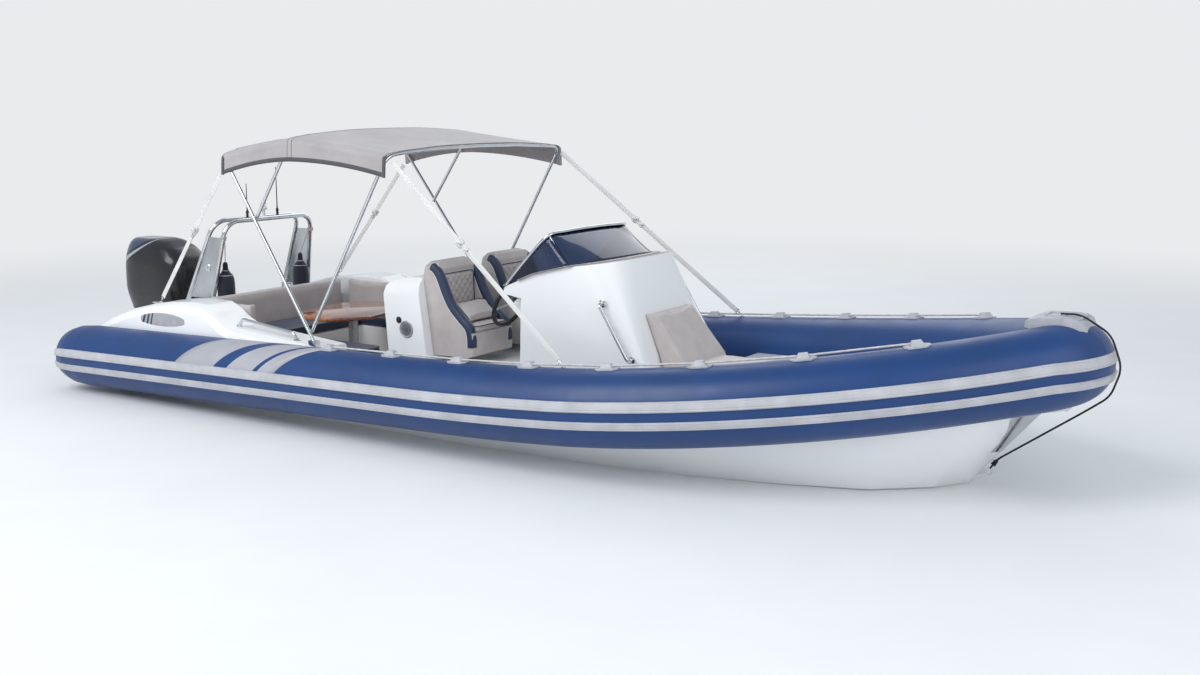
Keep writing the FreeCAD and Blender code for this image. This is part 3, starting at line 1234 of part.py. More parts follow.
def build_sun_top(chambers, coaming):
    """Three bows, the canopy and its four webbing stays; returns what they stand on."""
    names = ("bimini_bow_aft", "bimini_bow_mid", "bimini_bow_fwd")
    for name, (share, x, y, shoulder_z, crown, _) in zip(names, SUN_TOP_BOWS):
        rise = crown - shoulder_z
        half = [tuple(bow_foot(share)[0]), (x, y, shoulder_z)]
        half += [(x, a * y, shoulder_z + b * rise) for a, b in SUN_TOP_LINE]
        whole = half + [(px, -py, pz) for px, py, pz in reversed(half[:-1])]
        export(name, [bent_tube(whole, BOW_BEND, BOW_TUBE_RADIUS)])
    lift = BOW_TUBE_RADIUS + 2.0 * SEAT_GAP
    export("bimini_canopy", [loft([canopy_ring(row, lift) for row in SUN_TOP_BOWS])])
    foot, leg = bow_foot(0.0)
    low_x, high_x = foot.x - HINGE_AFT, foot.x + HINGE_FWD
    floor = [(x, height_on(COAMING_TOP, x) + SEAT_GAP) for x in (low_x, high_x)]
    hinge = side_profile(floor + [(high_x, foot.z + HINGE_RISE), (low_x, foot.z + HINGE_RISE)],
                         foot.y - HINGE_HALF_WIDTH, foot.y + HINGE_HALF_WIDTH)
    hinge = largest(hinge.cut(bar(foot, foot + leg * 0.2, BOW_TUBE_RADIUS + SEAT_GAP)))
    straps = []
    pads = [hinge]
    for top, low in SUN_TOP_STAYS:
        foot = Vector(*low)
        pads.append(largest(resting(seated(stay_pad(foot), chambers), coaming)))
        straps += both_sides(strap(Vector(*top), foot))
    export("bimini_stays", straps)
    return pads


# Outboard engine


def build_brackets():
    """Clamp bracket on the transom and the swivel bracket that tilts in it."""
    reach = CLAMP_HALF_WIDTH
    face_x = TRANSOM_X - SEAT_GAP
    seat_z = TRANSOM_TOP_Z + SEAT_GAP
    outline = [(face_x, CLAMP_LOW_Z), (face_x, seat_z), (TRANSOM_X + CLAMP_HOOK_REACH, seat_z),
               (TRANSOM_X + CLAMP_HOOK_REACH, CLAMP_HOOK_Z), (TRANSOM_X - 20.0, CLAMP_TOP_Z),
               (TILT_X - 22.0, CLAMP_TOP_Z), (TILT_X - 32.0, CLAMP_HOOK_Z),
               (RAM_PIVOT_X - 40.0, RAM_PIVOT_Z + 10.0), (RAM_PIVOT_X - 30.0, CLAMP_LOW_Z)]
    pin = rod((TILT_X, -reach, TILT_Z), (TILT_X, reach, TILT_Z), TILT_PIN_RADIUS)
    foot_pin = rod((RAM_PIVOT_X, -reach, RAM_PIVOT_Z), (RAM_PIVOT_X, reach, RAM_PIVOT_Z), RAM_PIN_RADIUS)
    clamp = pin.fuse([foot_pin] + both_sides(side_profile(outline, reach - CLAMP_PLATE, reach)))
    export("clamp_bracket", [clamp.removeSplitter()])
    outer = reach - CLAMP_PLATE - CHEEK_GAP
    outline = [(TILT_X + 30.0, TILT_Z - 12.0), (TILT_X + 18.0, TILT_Z + 26.0),
               (TILT_X - 20.0, TILT_Z + CHEEK_CREST),
               (STEER_X + CHEEK_FLAT, STEER_TOP_Z), (STEER_X, STEER_TOP_Z), (STEER_X, STEER_LOW_Z),
               (STEER_X + 60.0, STEER_LOW_Z), (RAM_EYE_X + 35.0, RAM_EYE_Z - 180.0),
               (TILT_X + 6.0, RAM_EYE_Z - 30.0)]
    cheek = side_profile(outline, RAM_RADIUS + 10.0, outer)
    bridge = slab(STEER_X, STEER_X + BRIDGE_LENGTH, -outer, outer, STEER_LOW_Z, STEER_TOP_Z)
    eye_pin = rod((RAM_EYE_X, -outer, RAM_EYE_Z), (RAM_EYE_X, outer, RAM_EYE_Z), RAM_PIN_RADIUS)
    rows = [(STEER_TUBE_RADIUS, 0.0), (STEER_TUBE_RADIUS, STEER_TOP_Z - STEER_LOW_Z)]
    barrel = turned(Vector(STEER_X, 0.0, STEER_LOW_Z), UP, rows, PIVOT_FACETS)
    swivel = barrel.fuse(both_sides(cheek) + [bridge, eye_pin])
    swivel = swivel.cut(rod((STEER_X, 0.0, STEER_LOW_Z - 1.0), (STEER_X, 0.0, STEER_TOP_Z + 1.0),
                            STEER_SHAFT_RADIUS + SEAT_GAP))
    swivel = swivel.cut(rod((TILT_X, -reach, TILT_Z), (TILT_X, reach, TILT_Z), TILT_PIN_RADIUS + SEAT_GAP))
    export("swivel_bracket", [swivel.removeSplitter()])


def build_ram():
    """Tilt cylinder and its rod, whose eye has play round its pin."""
    foot = Vector(RAM_PIVOT_X, 0.0, RAM_PIVOT_Z)
    eye = Vector(RAM_EYE_X, 0.0, RAM_EYE_Z)
    run = (eye - foot).normalize()
    across = Vector(0.0, 1.0, 0.0)
    half = RAM_RADIUS - 3.0
    rows = [(RAM_RADIUS, RAM_FOOT), (RAM_RADIUS, RAM_BARREL - 10.0), (RAM_RADIUS - 5.0, RAM_BARREL)]
    lug = rod(foot - across * half, foot + across * half, RAM_LUG_RADIUS)
    body = turned(foot, run, rows, PIVOT_FACETS).fuse(lug)
    body = body.cut(rod(foot - across * (2.0 * half), foot + across * (2.0 * half), RAM_PIN_RADIUS + SEAT_GAP))
    bore = rod(foot + run * RAM_WALL, foot + run * (RAM_WALL + RAM_BARREL), RAM_ROD_RADIUS + SEAT_GAP)
    export("tilt_cylinder", [body.cut(bore).removeSplitter()])
    width = RAM_EYE_HALF_WIDTH
    piston = rod(foot + run * RAM_ROD_START, eye - run * (0.5 * RAM_EYE_RADIUS), RAM_ROD_RADIUS)
    head = turned(eye - across * width, across, [(RAM_EYE_RADIUS, 0.0), (RAM_EYE_RADIUS, 2.0 * width)],
                  PIVOT_FACETS)
    hole = rod(eye - across * (2.0 * width), eye + across * (2.0 * width), RAM_PIN_RADIUS + RAM_EYE_PLAY)
    export("tilt_rod", [piston.fuse(head).cut(hole).removeSplitter()])


def blade_plan(span, z):
    """Pointed foil outline in a level plane."""
    aft, fore, half = span
    middle = 0.5 * (aft + fore)
    port = [(fore, 0.0), (middle + 60.0, half), (middle - 40.0, half)]
    return ring([(x, y, z) for x, y in port + [(aft, 0.0)] + [(x, -y) for x, y in reversed(port[1:])]])


def prop_blade(turn):
    """One pitched blade, from the hub out."""
    rings = []
    for share, chord, pitch, thick in PROP_SECTIONS:
        a = math.radians(pitch)
        along = Vector(math.sin(a), math.cos(a), 0.0) * chord
        across = Vector(math.cos(a), -math.sin(a), 0.0) * thick
        centre = Vector(PROP_X + PROP_BLADE_SHIFT, 0.0, share * PROP_RADIUS)
        rings.append(ring([centre + along, centre + across, centre - along, centre - across]))
    blade = loft(rings)
    blade.rotate(Vector(0.0, 0.0, 0.0), FORWARD, turn)
    blade.translate(UP * PROP_Z)
    return blade


def build_drive():
    """Engine leg, gearcase and propeller."""
    sections = [rounded_plan(aft, fore, half, LEG_CORNER_SHARE * half, COWL_BASE_Z - drop)
                for drop, aft, fore, half in LEG_SECTIONS]
    arms = []
    for (half, depth), edge_z, way in ((UPPER_ARM, STEER_TOP_Z + STEER_ARM_GAP, 1.0),
                                       (LOWER_ARM, STEER_LOW_Z - STEER_ARM_GAP, -1.0)):
        low, high = sorted((edge_z, edge_z + way * depth))
        arms.append(slab(STEER_ARM_AFT_X, STEER_X + STEER_ARM_FWD, -half, half, low, high))
    shaft = rod((STEER_X, 0.0, STEER_LOW_Z - LOWER_ARM[1]), (STEER_X, 0.0, STEER_TOP_Z + UPPER_ARM[1]),
                STEER_SHAFT_RADIUS)
    export("engine_leg", [loft(sections).fuse(arms + [shaft]).removeSplitter()])
    top_z = LEG_FOOT_Z - SEAT_GAP
    plate = loft([rounded_plan(PLATE_AFT_X, PLATE_FWD_X, PLATE_HALF_WIDTH, PLATE_CORNER, z)
                  for z in (top_z - PLATE_THICKNESS, top_z)])
    rows = [(radius, back) for back, radius in TORPEDO_ROWS]
    rows.append((PROP_HUB_RADIUS + 4.0, GEARCASE_NOSE_X - (PROP_X + PROP_HUB_FWD)))
    torpedo = turned(Vector(GEARCASE_NOSE_X, 0.0, PROP_Z), FORWARD * -1.0, rows, PIVOT_FACETS)
    strut = loft([blade_plan(STRUT_TOP, top_z - 0.5 * PLATE_THICKNESS), blade_plan(STRUT_FOOT, PROP_Z)])
    skeg = loft([blade_plan(SKEG_TOP, PROP_Z), blade_plan(SKEG_TIP, SKEG_Z)])
    export("gearcase", [strut.fuse([plate, torpedo, skeg]).removeSplitter()])
    hub = rod((PROP_X - PROP_HUB_AFT, 0.0, PROP_Z), (PROP_X + PROP_HUB_FWD - SEAT_GAP, 0.0, PROP_Z),
              PROP_HUB_RADIUS)
    blades = [prop_blade(360.0 * index / PROP_BLADE_COUNT) for index in range(PROP_BLADE_COUNT)]
    export("propeller", [hub.fuse(blades).removeSplitter()])


def build_cowl():
    """Hollow cowl over the engine block."""
    w = COWL_WALL
    outer = loft([rounded_plan(aft, fore, half, radius, z) for z, aft, fore, half, radius in COWL_SECTIONS])
    heights = [COWL_BASE_Z - 1.0] + [row[0] for row in COWL_SECTIONS[1:-1]] + [COWL_SECTIONS[-1][0] - 1.6 * w]
    inner = loft([rounded_plan(aft + w, fore - w, half - w, radius - w, z)
                  for z, (_, aft, fore, half, radius) in zip(heights, COWL_SECTIONS)])
    export("engine_cowl", [outer.cut(inner)])
    length, width, height = ENGINE_BLOCK
    x = ENGINE_BLOCK_AFT_X
    export("engine_block", [slab(x, x + length, -0.5 * width, 0.5 * width, COWL_BASE_Z, COWL_BASE_Z + height)])


# Bow


def build_bow(chambers, hull, foredeck):
    """Bow step, stem plate, bow eye, roller and painter."""
    nose_z = sheer_z(TUBE_NOSE_X)
    crest = nose_z + TUBE_RADIUS
    step = side_profile([(TUBE_NOSE_X + x, crest + z) for x, z in BOW_STEP], -BOW_STEP_HALF_WIDTH,
                        BOW_STEP_HALF_WIDTH)
    box = step.BoundBox
    plan = cut_corner_plan(box.XMin, box.XMax, box.YMin, box.YMax, BOW_STEP_TAPER, box.ZMin)
    step = step.common(Part.Face(plan).extrude(UP * box.ZLength))
    export("bow_step", [seated(step, chambers)])
    outer = hull.copy()
    outer.translate(STEM_SIDE_NORMAL * (STEM_PLATE_THICKNESS + SEAT_GAP))
    plate = side_profile([(STEM_X + x, z) for x, z in STEM_PLATE], 1.0, TUBE_RADIUS).common(outer)
    for carrier in (hull, foredeck):
        plate = resting(plate, carrier, STEM_SIDE_NORMAL)
    export("stem_plate", both_sides(largest(seated(plate, chambers))))
    roller = [side_profile([(TUBE_NOSE_X + x, z) for x, z in ROLLER_CHEEK], y, y + ROLLER_PLATE)
              for y in (-ROLLER_HALF_WIDTH, ROLLER_HALF_WIDTH - ROLLER_PLATE)]
    x0, x1, x2 = (TUBE_NOSE_X + ROLLER_CHEEK[index][0] for index in (0, 1, 2))
    top_z = ROLLER_CHEEK[-1][1]
    y = ROLLER_HALF_WIDTH
    roller.append(bar((x2 - 20.0, -y, top_z - 14.0), (x2 - 20.0, y, top_z - 14.0), ROLLER_RADIUS, DISC_FACETS))
    roller.append(slab(x0, x1, -y, y, top_z - 5.0, top_z))
    roller = roller[0].fuse(roller[1:]).removeSplitter()
    for carrier in (hull, foredeck):
        roller = resting(roller, carrier, FORWARD)
    export("bow_roller", [largest(seated(roller, chambers))])
    build_bow_eye(hull)
    reach = (TUBE_RADIUS + 9.0 + STRAKE_THICKNESS) * PAINTER_LIFT
    points = [(TUBE_NOSE_X - 60.0, PAINTER_Y, crest + 40.0)]
    for degrees in PAINTER_ANGLES:
        a = math.radians(degrees)
        points.append((TUBE_NOSE_X + reach * math.cos(a), PAINTER_Y, nose_z - reach * math.sin(a)))
    eye_x = STEM_X + STEM_RAKE * BOW_EYE_Z
    points.append((eye_x + 75.0, 0.6 * PAINTER_Y, BOW_EYE_Z + 60.0))
    points.append((eye_x + 36.0, 0.4 * PAINTER_Y, BOW_EYE_Z))
    export("painter", [bent_tube(points, PAINTER_BEND, PAINTER_RADIUS)])


def build_bow_eye(hull):
    """Plate eye on the stem, with its hole across the boat."""
    eye_x = STEM_X + STEM_RAKE * BOW_EYE_Z
    out = Vector(1.0, 0.0, -STEM_RAKE).normalize()
    centre = Vector(eye_x, 0.0, BOW_EYE_Z) + out * BOW_EYE_REACH
    half = 0.5 * BOW_EYE_THICKNESS
    across = Vector(0.0, 1.0, 0.0)
    head = turned(centre - across * half, across, [(BOW_EYE_HEAD, 0.0), (BOW_EYE_HEAD, 2.0 * half)],
                  PIVOT_FACETS)
    root = side_profile([(eye_x - 50.0, BOW_EYE_Z - 52.0), (eye_x + 30.0, BOW_EYE_Z + 42.0),
                         (centre.x + 14.0, centre.z + 22.0), (centre.x - 18.0, centre.z - 20.0)], -half, half)
    bore = rod(centre - across * (2.0 * half), centre + across * (2.0 * half), BOW_EYE_BORE)
    eye = head.fuse(root).removeSplitter().cut(bore)
    export("bow_eye", [largest(resting(eye, hull, FORWARD))])


def cleat(x, y, z):
    """Horn cleat on a deck."""
    length, width, thick = CLEAT_BASE
    base = loft([cut_corner_plan(x - length, x + length, y - width, y + width, 8.0, v)
                 for v in (z + SEAT_GAP, z + thick)])
    posts = [bar((x + d, y, z + thick - 1.0), (x + d, y, z + CLEAT_HEIGHT), CLEAT_POST_RADIUS)
             for d in (-CLEAT_POST_SPREAD, CLEAT_POST_SPREAD)]
    horn = turned(Vector(x - CLEAT_HALF_LENGTH, y, z + CLEAT_HEIGHT), FORWARD,
                  [(0.5 * CLEAT_HORN_RADIUS, 0.0), (CLEAT_HORN_RADIUS, 0.4 * CLEAT_HALF_LENGTH),
                   (CLEAT_HORN_RADIUS, 1.6 * CLEAT_HALF_LENGTH),
                   (0.5 * CLEAT_HORN_RADIUS, 2.0 * CLEAT_HALF_LENGTH)],
                  BAR_FACETS)
    return base.fuse(posts + [horn]).removeSplitter()


def main():
    """Build every piece."""
    chambers = all_tubes(TUBE_RADIUS + SEAT_GAP)
    hull, foredeck = build_structure(chambers)
    build_rail(chambers)
    coaming = build_stern(chambers)
    build_helm()
    build_console(foredeck)
    build_arch()
    fittings = build_sun_top(chambers, coaming) + [cleat(CLEAT_X, CLEAT_Y, STERN_DECK_Z)]
    export("deck_fittings", [solid for fitting in fittings for solid in both_sides(fitting)])
    build_bow(chambers, hull, foredeck)
    build_brackets()
    build_ram()
    build_drive()
    build_cowl()


main()
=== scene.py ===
"""Looks of a rigid inflatable boat with console, sun top, arch and outboard engine.

Metres. +X points to the bow, +Y to port, +Z up. The floor of the scene lies at the waterline, z = 0.
"""

import json
import logging
import math
from dataclasses import dataclass, field
from enum import Enum

import bmesh
import bpy
from mathutils import Matrix, Vector

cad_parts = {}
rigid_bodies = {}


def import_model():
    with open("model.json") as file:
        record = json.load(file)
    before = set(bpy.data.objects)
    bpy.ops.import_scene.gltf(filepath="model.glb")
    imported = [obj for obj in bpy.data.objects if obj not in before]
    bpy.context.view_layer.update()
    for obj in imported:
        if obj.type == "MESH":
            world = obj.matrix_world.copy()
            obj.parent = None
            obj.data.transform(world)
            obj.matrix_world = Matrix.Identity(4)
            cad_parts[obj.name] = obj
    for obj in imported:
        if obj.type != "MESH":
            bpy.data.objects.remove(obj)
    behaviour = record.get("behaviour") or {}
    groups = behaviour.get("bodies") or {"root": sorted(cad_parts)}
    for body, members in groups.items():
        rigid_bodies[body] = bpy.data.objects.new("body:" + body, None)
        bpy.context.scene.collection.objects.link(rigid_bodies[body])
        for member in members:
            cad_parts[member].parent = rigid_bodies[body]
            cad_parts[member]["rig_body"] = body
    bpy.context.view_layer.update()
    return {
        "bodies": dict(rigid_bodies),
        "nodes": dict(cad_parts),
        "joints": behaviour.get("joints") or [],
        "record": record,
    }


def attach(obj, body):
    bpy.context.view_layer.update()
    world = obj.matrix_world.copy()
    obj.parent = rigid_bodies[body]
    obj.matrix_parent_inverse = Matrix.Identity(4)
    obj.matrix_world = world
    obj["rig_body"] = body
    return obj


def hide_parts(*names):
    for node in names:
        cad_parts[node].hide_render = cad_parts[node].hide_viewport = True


LOG = logging.getLogger("boat")
UP = Vector((0.0, 0.0, 1.0))

Face = tuple[int, ...]
Node = bpy.types.Node
Pairs = tuple[tuple[float, float], ...]
Piece = bpy.types.Object
Point = tuple[float, float, float]
Rows = tuple[tuple[float, ...], ...]
Socket = bpy.types.NodeSocket
Tree = bpy.types.NodeTree


class Side(Enum):
    """Side of the boat, with the sign of its y."""

    PORT = 1.0
    STARBOARD = -1.0


SIGNS = tuple(side.value for side in Side)


# Colour and node helpers


def linear(code: str) -> tuple[float, float, float, float]:
    """Linear colour of an sRGB hex code.

    Args:
        code: Six hex digits, with or without a leading hash.

    Returns:
        Red, green, blue and alpha.
    """
    digits = code.lstrip("#")
    channels = [int(digits[i:i + 2], 16) / 255.0 for i in (0, 2, 4)]
    red, green, blue = (c / 12.92 if c <= 0.04045 else ((c + 0.055) / 1.055) ** 2.4 for c in channels)
    return red, green, blue, 1.0


def add(tree: Tree, kind: str, settings: dict | None = None, inputs: dict | None = None) -> Node:
    """Node with its settings, values and links.

    Args:
        tree: Tree that the node goes into.
        kind: Blender's type name of the node.
        settings: Attributes of the node by name.
        inputs: Values, or sockets to link from, by the input's name or number.

    Returns:
        The new node.
    """
    node = tree.nodes.new(kind)
    for name, value in (settings or {}).items():
        setattr(node, name, value)
    for key, value in (inputs or {}).items():
        if isinstance(value, Socket):
            tree.links.new(value, node.inputs[key])
        else:
            node.inputs[key].default_value = value
    return node


def pitch(size_mm: float) -> float:
    """Texture scale that gives features of a real size in millimetres."""
    return 1000.0 / size_mm


# Finishes


@dataclass(frozen=True)
class Finish:
    """Moulded, painted or metal surface with drifting colour, uneven gloss and a fine relief."""

    name: str
    colour: str
    roughness: float
    metallic: float = 0.0
    ior: float = 1.5
    coat: float = 0.0
    coat_roughness: float = 0.05
    drift: float = 0.05
    drift_mm: float = 240.0
    gloss_drift: float = 0.06
    grain_mm: float = 1.6
    grain_depth_mm: float = 0.02
    wave_mm: float = 0.0
    wave_depth_mm: float = 0.0
    anisotropy: float = 0.0
    sheen: float = 0.0

    def material(self) -> bpy.types.Material:
        """The finish as a material, made once.

        Returns:
            The material.
        """
        known = bpy.data.materials.get(self.name)
        if known:
            return known
        made = bpy.data.materials.new(self.name)
        made.use_nodes = True
        tree = made.node_tree
        tree.nodes.clear()
        place = add(tree, "ShaderNodeTexCoord").outputs["Object"]
        shader = add(tree, "ShaderNodeBsdfPrincipled", inputs={
            "Metallic": self.metallic, "Coat Weight": self.coat, "Coat Roughness": self.coat_roughness,
            "Anisotropic": self.anisotropy, "Sheen Weight": self.sheen,
            "Base Color": self.base(tree, place), "Roughness": self.gloss(tree, place),
            "Normal": self.relief(tree, place)})
        if self.metallic < 0.5:
            shader.inputs["IOR"].default_value = self.ior
        self.extras(shader)
        add(tree, "ShaderNodeOutputMaterial", inputs={"Surface": shader.outputs["BSDF"]})
        made.diffuse_color = linear(self.colour)
        return made

    def extras(self, shader: Node) -> None:
        """Further values of the shader."""

    def base(self, tree: Tree, place: Socket) -> Socket:
        """Colour that drifts a little over the surface.

        Args:
            tree: Tree of the material.
            place: Place in the piece's own space.

        Returns:
            Socket with the colour.
        """
        noise = add(tree, "ShaderNodeTexNoise", inputs={
            "Vector": place, "Scale": pitch(self.drift_mm), "Detail": 4.0, "Roughness": 0.6})
        return self.ramp(tree, noise.outputs["Fac"], ((0.32, shade(self.colour, 1.0 - self.drift)),
                                                      (0.68, shade(self.colour, 1.0 + 0.5 * self.drift))))

    def gloss(self, tree: Tree, place: Socket) -> Socket:
        """Roughness that varies with handling marks.

        Args:
            tree: Tree of the material.
            place: Place in the piece's own space.

        Returns:
            Socket with the roughness.
        """
        noise = add(tree, "ShaderNodeTexNoise", inputs={"Vector": place, "Scale": pitch(0.35 * self.drift_mm),
                                                        "Detail": 5.0})
        span = add(tree, "ShaderNodeMapRange", inputs={
            "Value": noise.outputs["Fac"], "From Min": 0.3, "From Max": 0.7,
            "To Min": max(0.02, self.roughness - self.gloss_drift),
            "To Max": self.roughness + self.gloss_drift})
        return span.outputs["Result"]

    def relief(self, tree: Tree, place: Socket) -> Socket:
        """Fine grain, and the slow waviness of the moulding if it has any.

        Args:
            tree: Tree of the material.
            place: Place in the piece's own space.

        Returns:
            Socket with the normal.
        """
        grain = add(tree, "ShaderNodeTexNoise", inputs={
            "Vector": place, "Scale": pitch(self.grain_mm), "Detail": 2.0})
        bump = add(tree, "ShaderNodeBump", inputs={"Height": grain.outputs["Fac"], "Strength": 0.8,
                                                   "Distance": self.grain_depth_mm / 1000.0})
        if self.wave_mm:
            wave = add(tree, "ShaderNodeTexNoise", inputs={"Vector": place, "Scale": pitch(self.wave_mm)})
            bump = add(tree, "ShaderNodeBump", inputs={
                "Height": wave.outputs["Fac"], "Strength": 1.0, "Distance": self.wave_depth_mm / 1000.0,
                "Normal": bump.outputs["Normal"]})
        return bump.outputs["Normal"]

    @staticmethod
    def ramp(tree: Tree, factor: Socket, stops: tuple[tuple[float, str], ...]) -> Socket:
        """Colour read from stops along a factor.

        Args:
            tree: Tree of the material.
            factor: Value from 0 to 1.
            stops: Place and hex colour of each stop.

        Returns:
            Socket with the colour.
        """
        node = add(tree, "ShaderNodeValToRGB", inputs={"Fac": factor})
        line = node.color_ramp.elements
        for element, (place, code) in zip(line, stops):
            element.position = place
            element.color = linear(code)
        for place, code in stops[2:]:
            line.new(place).color = linear(code)
        return node.outputs["Color"]


@dataclass(frozen=True)
class Weave(Finish):
    """Woven cloth: warp and weft as two crossed waves, with slack in the sheet."""

    thread_mm: float = 3.0
    thread_depth_mm: float = 0.25
    slack_mm: float = 180.0
    slack_depth_mm: float = 4.0

    def relief(self, tree: Tree, place: Socket) -> Socket:
        """Threads over and under each other.

        Args:
            tree: Tree of the material.
            place: Place in the piece's own space.

        Returns:
            Socket with the normal.
        """
        waves = [add(tree, "ShaderNodeTexWave", {"bands_direction": way},
                     {"Vector": place, "Scale": 0.5 * pitch(self.thread_mm), "Distortion": 0.4,
                      "Detail": 1.0})
                 for way in ("X", "Y")]
        crossed = add(tree, "ShaderNodeMath", {"operation": "MULTIPLY"},
                      {0: waves[0].outputs["Fac"], 1: waves[1].outputs["Fac"]})
        bump = add(tree, "ShaderNodeBump", inputs={"Height": crossed.outputs["Value"], "Strength": 0.6,
                                                   "Distance": self.thread_depth_mm / 1000.0})
        slack = add(tree, "ShaderNodeTexNoise", inputs={
            "Vector": place, "Scale": pitch(self.slack_mm), "Detail": 2.0})
        bump = add(tree, "ShaderNodeBump", inputs={
            "Height": slack.outputs["Fac"], "Strength": 0.5, "Distance": self.slack_depth_mm / 1000.0,
            "Normal": bump.outputs["Normal"]})
        return bump.outputs["Normal"]


@dataclass(frozen=True)
class Plank(Finish):
    """Varnished timber laid in planks along one axis, with figured grain."""

    dark: str = "#5b2a10"
    plank_mm: float = 70.0
    figure_mm: float = 9.0

    def base(self, tree: Tree, place: Socket) -> Socket:
        """Grain lines stretched along the planks, each plank a little different.

        Args:
            tree: Tree of the material.
            place: Place in the piece's own space.

        Returns:
            Socket with the colour.
        """
        parts = add(tree, "ShaderNodeSeparateXYZ", inputs={"Vector": place})
        count = add(tree, "ShaderNodeMath", {"operation": "MULTIPLY"},
                    {0: parts.outputs["X"], 1: pitch(self.plank_mm)})
        plank = add(tree, "ShaderNodeMath", {"operation": "FLOOR"}, {0: count.outputs["Value"]})
        seed = add(tree, "ShaderNodeTexWhiteNoise", {"noise_dimensions": "1D"}, {"W": plank.outputs["Value"]})
        shift = add(tree, "ShaderNodeCombineXYZ", inputs={"Z": seed.outputs["Value"]})
        moved = add(tree, "ShaderNodeVectorMath", {"operation": "ADD"},
                    {0: place, 1: shift.outputs["Vector"]})
        stretched = add(tree, "ShaderNodeMapping", inputs={
            "Vector": moved.outputs["Vector"], "Scale": (1.0, 0.06, 1.0)})
        grain = add(tree, "ShaderNodeTexNoise", inputs={
            "Vector": stretched.outputs["Vector"], "Scale": pitch(self.figure_mm), "Detail": 8.0,
            "Roughness": 0.65, "Distortion": 0.8})
        tone = add(tree, "ShaderNodeMapRange", inputs={
            "Value": seed.outputs["Value"], "To Min": -0.16, "To Max": 0.16})
        fac = add(tree, "ShaderNodeMath", {"operation": "ADD"},
                  {0: grain.outputs["Fac"], 1: tone.outputs["Result"]})
        return self.ramp(tree, fac.outputs["Value"], (
            (0.30, self.dark), (0.72, shade(self.colour, 1.12)), (0.52, self.colour)))


@dataclass(frozen=True)
class Acrylic(Finish):
    """Tinted acrylic sheet that lets light through."""

    clearness: float = 0.85

    def extras(self, shader: Node) -> None:
        """Lets light through the sheet."""
        shader.inputs["Transmission Weight"].default_value = self.clearness


def shade(code: str, factor: float) -> str:
    """Hex colour made lighter or darker by a factor.

    Args:
        code: Six hex digits, with or without a leading hash.
        factor: Factor on each channel.

    Returns:
        The new hex colour.
    """
    digits = code.lstrip("#")
    channels = [min(255, max(0, round(int(digits[i:i + 2], 16) * factor))) for i in (0, 2, 4)]
    return "#" + "".join(f"{c:02x}" for c in channels)


# Chlorosulphonated polyethylene on polyester: calendered, satin, with the cloth just telegraphing through.
TUBE_NAVY = Finish("tube_fabric_navy", "#0d3a73", 0.4, drift=0.07, drift_mm=420.0, gloss_drift=0.05,
                   grain_mm=3.2, grain_depth_mm=0.06, wave_mm=260.0, wave_depth_mm=2.2, sheen=0.02)
TUBE_GREY = Finish("tube_fabric_grey", "#a9aab1", 0.42, drift=0.04, grain_mm=3.2, grain_depth_mm=0.06,
                   wave_mm=260.0, wave_depth_mm=1.6)
# Extruded chloroprene strake: matte, a little chalky from weather.
STRAKE_RUBBER = Finish("strake_chloroprene", "#b9bac0", 0.55, drift=0.06, drift_mm=150.0, grain_mm=1.2,
                       grain_depth_mm=0.05)
# Injection-moulded rubber of the rail pads and the bow step: satin, dusty in the hollows.
PAD_RUBBER = Finish("moulded_rubber_grey", "#b4b6bb", 0.5, drift=0.07, drift_mm=60.0, grain_mm=1.0,
                    grain_depth_mm=0.05)
# Polyester gelcoat off a polished mould: deep gloss with a faint orange peel.
GELCOAT = Finish("gelcoat_white", "#e9e9e7", 0.2, coat=0.6, drift=0.03, drift_mm=500.0, gloss_drift=0.05,
                 grain_mm=9.0, grain_depth_mm=0.012, wave_mm=320.0, wave_depth_mm=0.5)
# The same gelcoat in grey, for the coaming's inlay and the loudspeaker rings.
GELCOAT_GREY = Finish("gelcoat_grey", "#a3a3a8", 0.25, coat=0.5, drift=0.04)
# Moulded anti-slip flooring: pinkish grey with a coarse grit.
DECK_GRIT = Finish("deck_antislip", "#a59a98", 0.75, drift=0.08, drift_mm=90.0, grain_mm=3.5,
                   grain_depth_mm=0.6)
# Electropolished stainless tube: mirror-like, with fine handling marks.
STAINLESS = Finish("polished_stainless", "#d6d8da", 0.13, metallic=1.0, drift=0.05, drift_mm=120.0,
                   gloss_drift=0.05, grain_mm=2.0, grain_depth_mm=0.004)
# Stainless sheet and pedestal tube with a brushed grain.
BRUSHED = Finish("brushed_stainless", "#c3c6c9", 0.3, metallic=1.0, drift=0.05, anisotropy=0.5, grain_mm=4.0,
                 grain_depth_mm=0.004)
# Moulded polyamide with a fine spark-eroded texture.
BLACK_PLASTIC = Finish("black_polyamide", "#1a1b1d", 0.45, drift=0.12, drift_mm=80.0, grain_mm=1.0,
                       grain_depth_mm=0.04)
# Weatherproof moulded housing of the lamp.
WHITE_PLASTIC = Finish("white_asa", "#dfe0e0", 0.3, drift=0.04, drift_mm=60.0)
# Dash moulding with a grained, glare-free face.
DASH_GREY = Finish("dash_moulding", "#8f898b", 0.42, drift=0.08, drift_mm=60.0, grain_mm=1.8,
                   grain_depth_mm=0.12)
# Marine vinyl: leather grain, soft gloss.
VINYL_GREY = Finish("vinyl_light_grey", "#bdb5b3", 0.5, drift=0.05, drift_mm=140.0, grain_mm=2.4,
                    grain_depth_mm=0.25, sheen=0.1)
VINYL_NAVY = Finish("vinyl_navy", "#22314f", 0.45, drift=0.08, drift_mm=140.0, grain_mm=2.4,
                    grain_depth_mm=0.25, sheen=0.1)
VINYL_DARK = Finish("vinyl_dark_grey", "#4a4547", 0.5, drift=0.08, drift_mm=140.0, grain_mm=2.4,
                    grain_depth_mm=0.25)
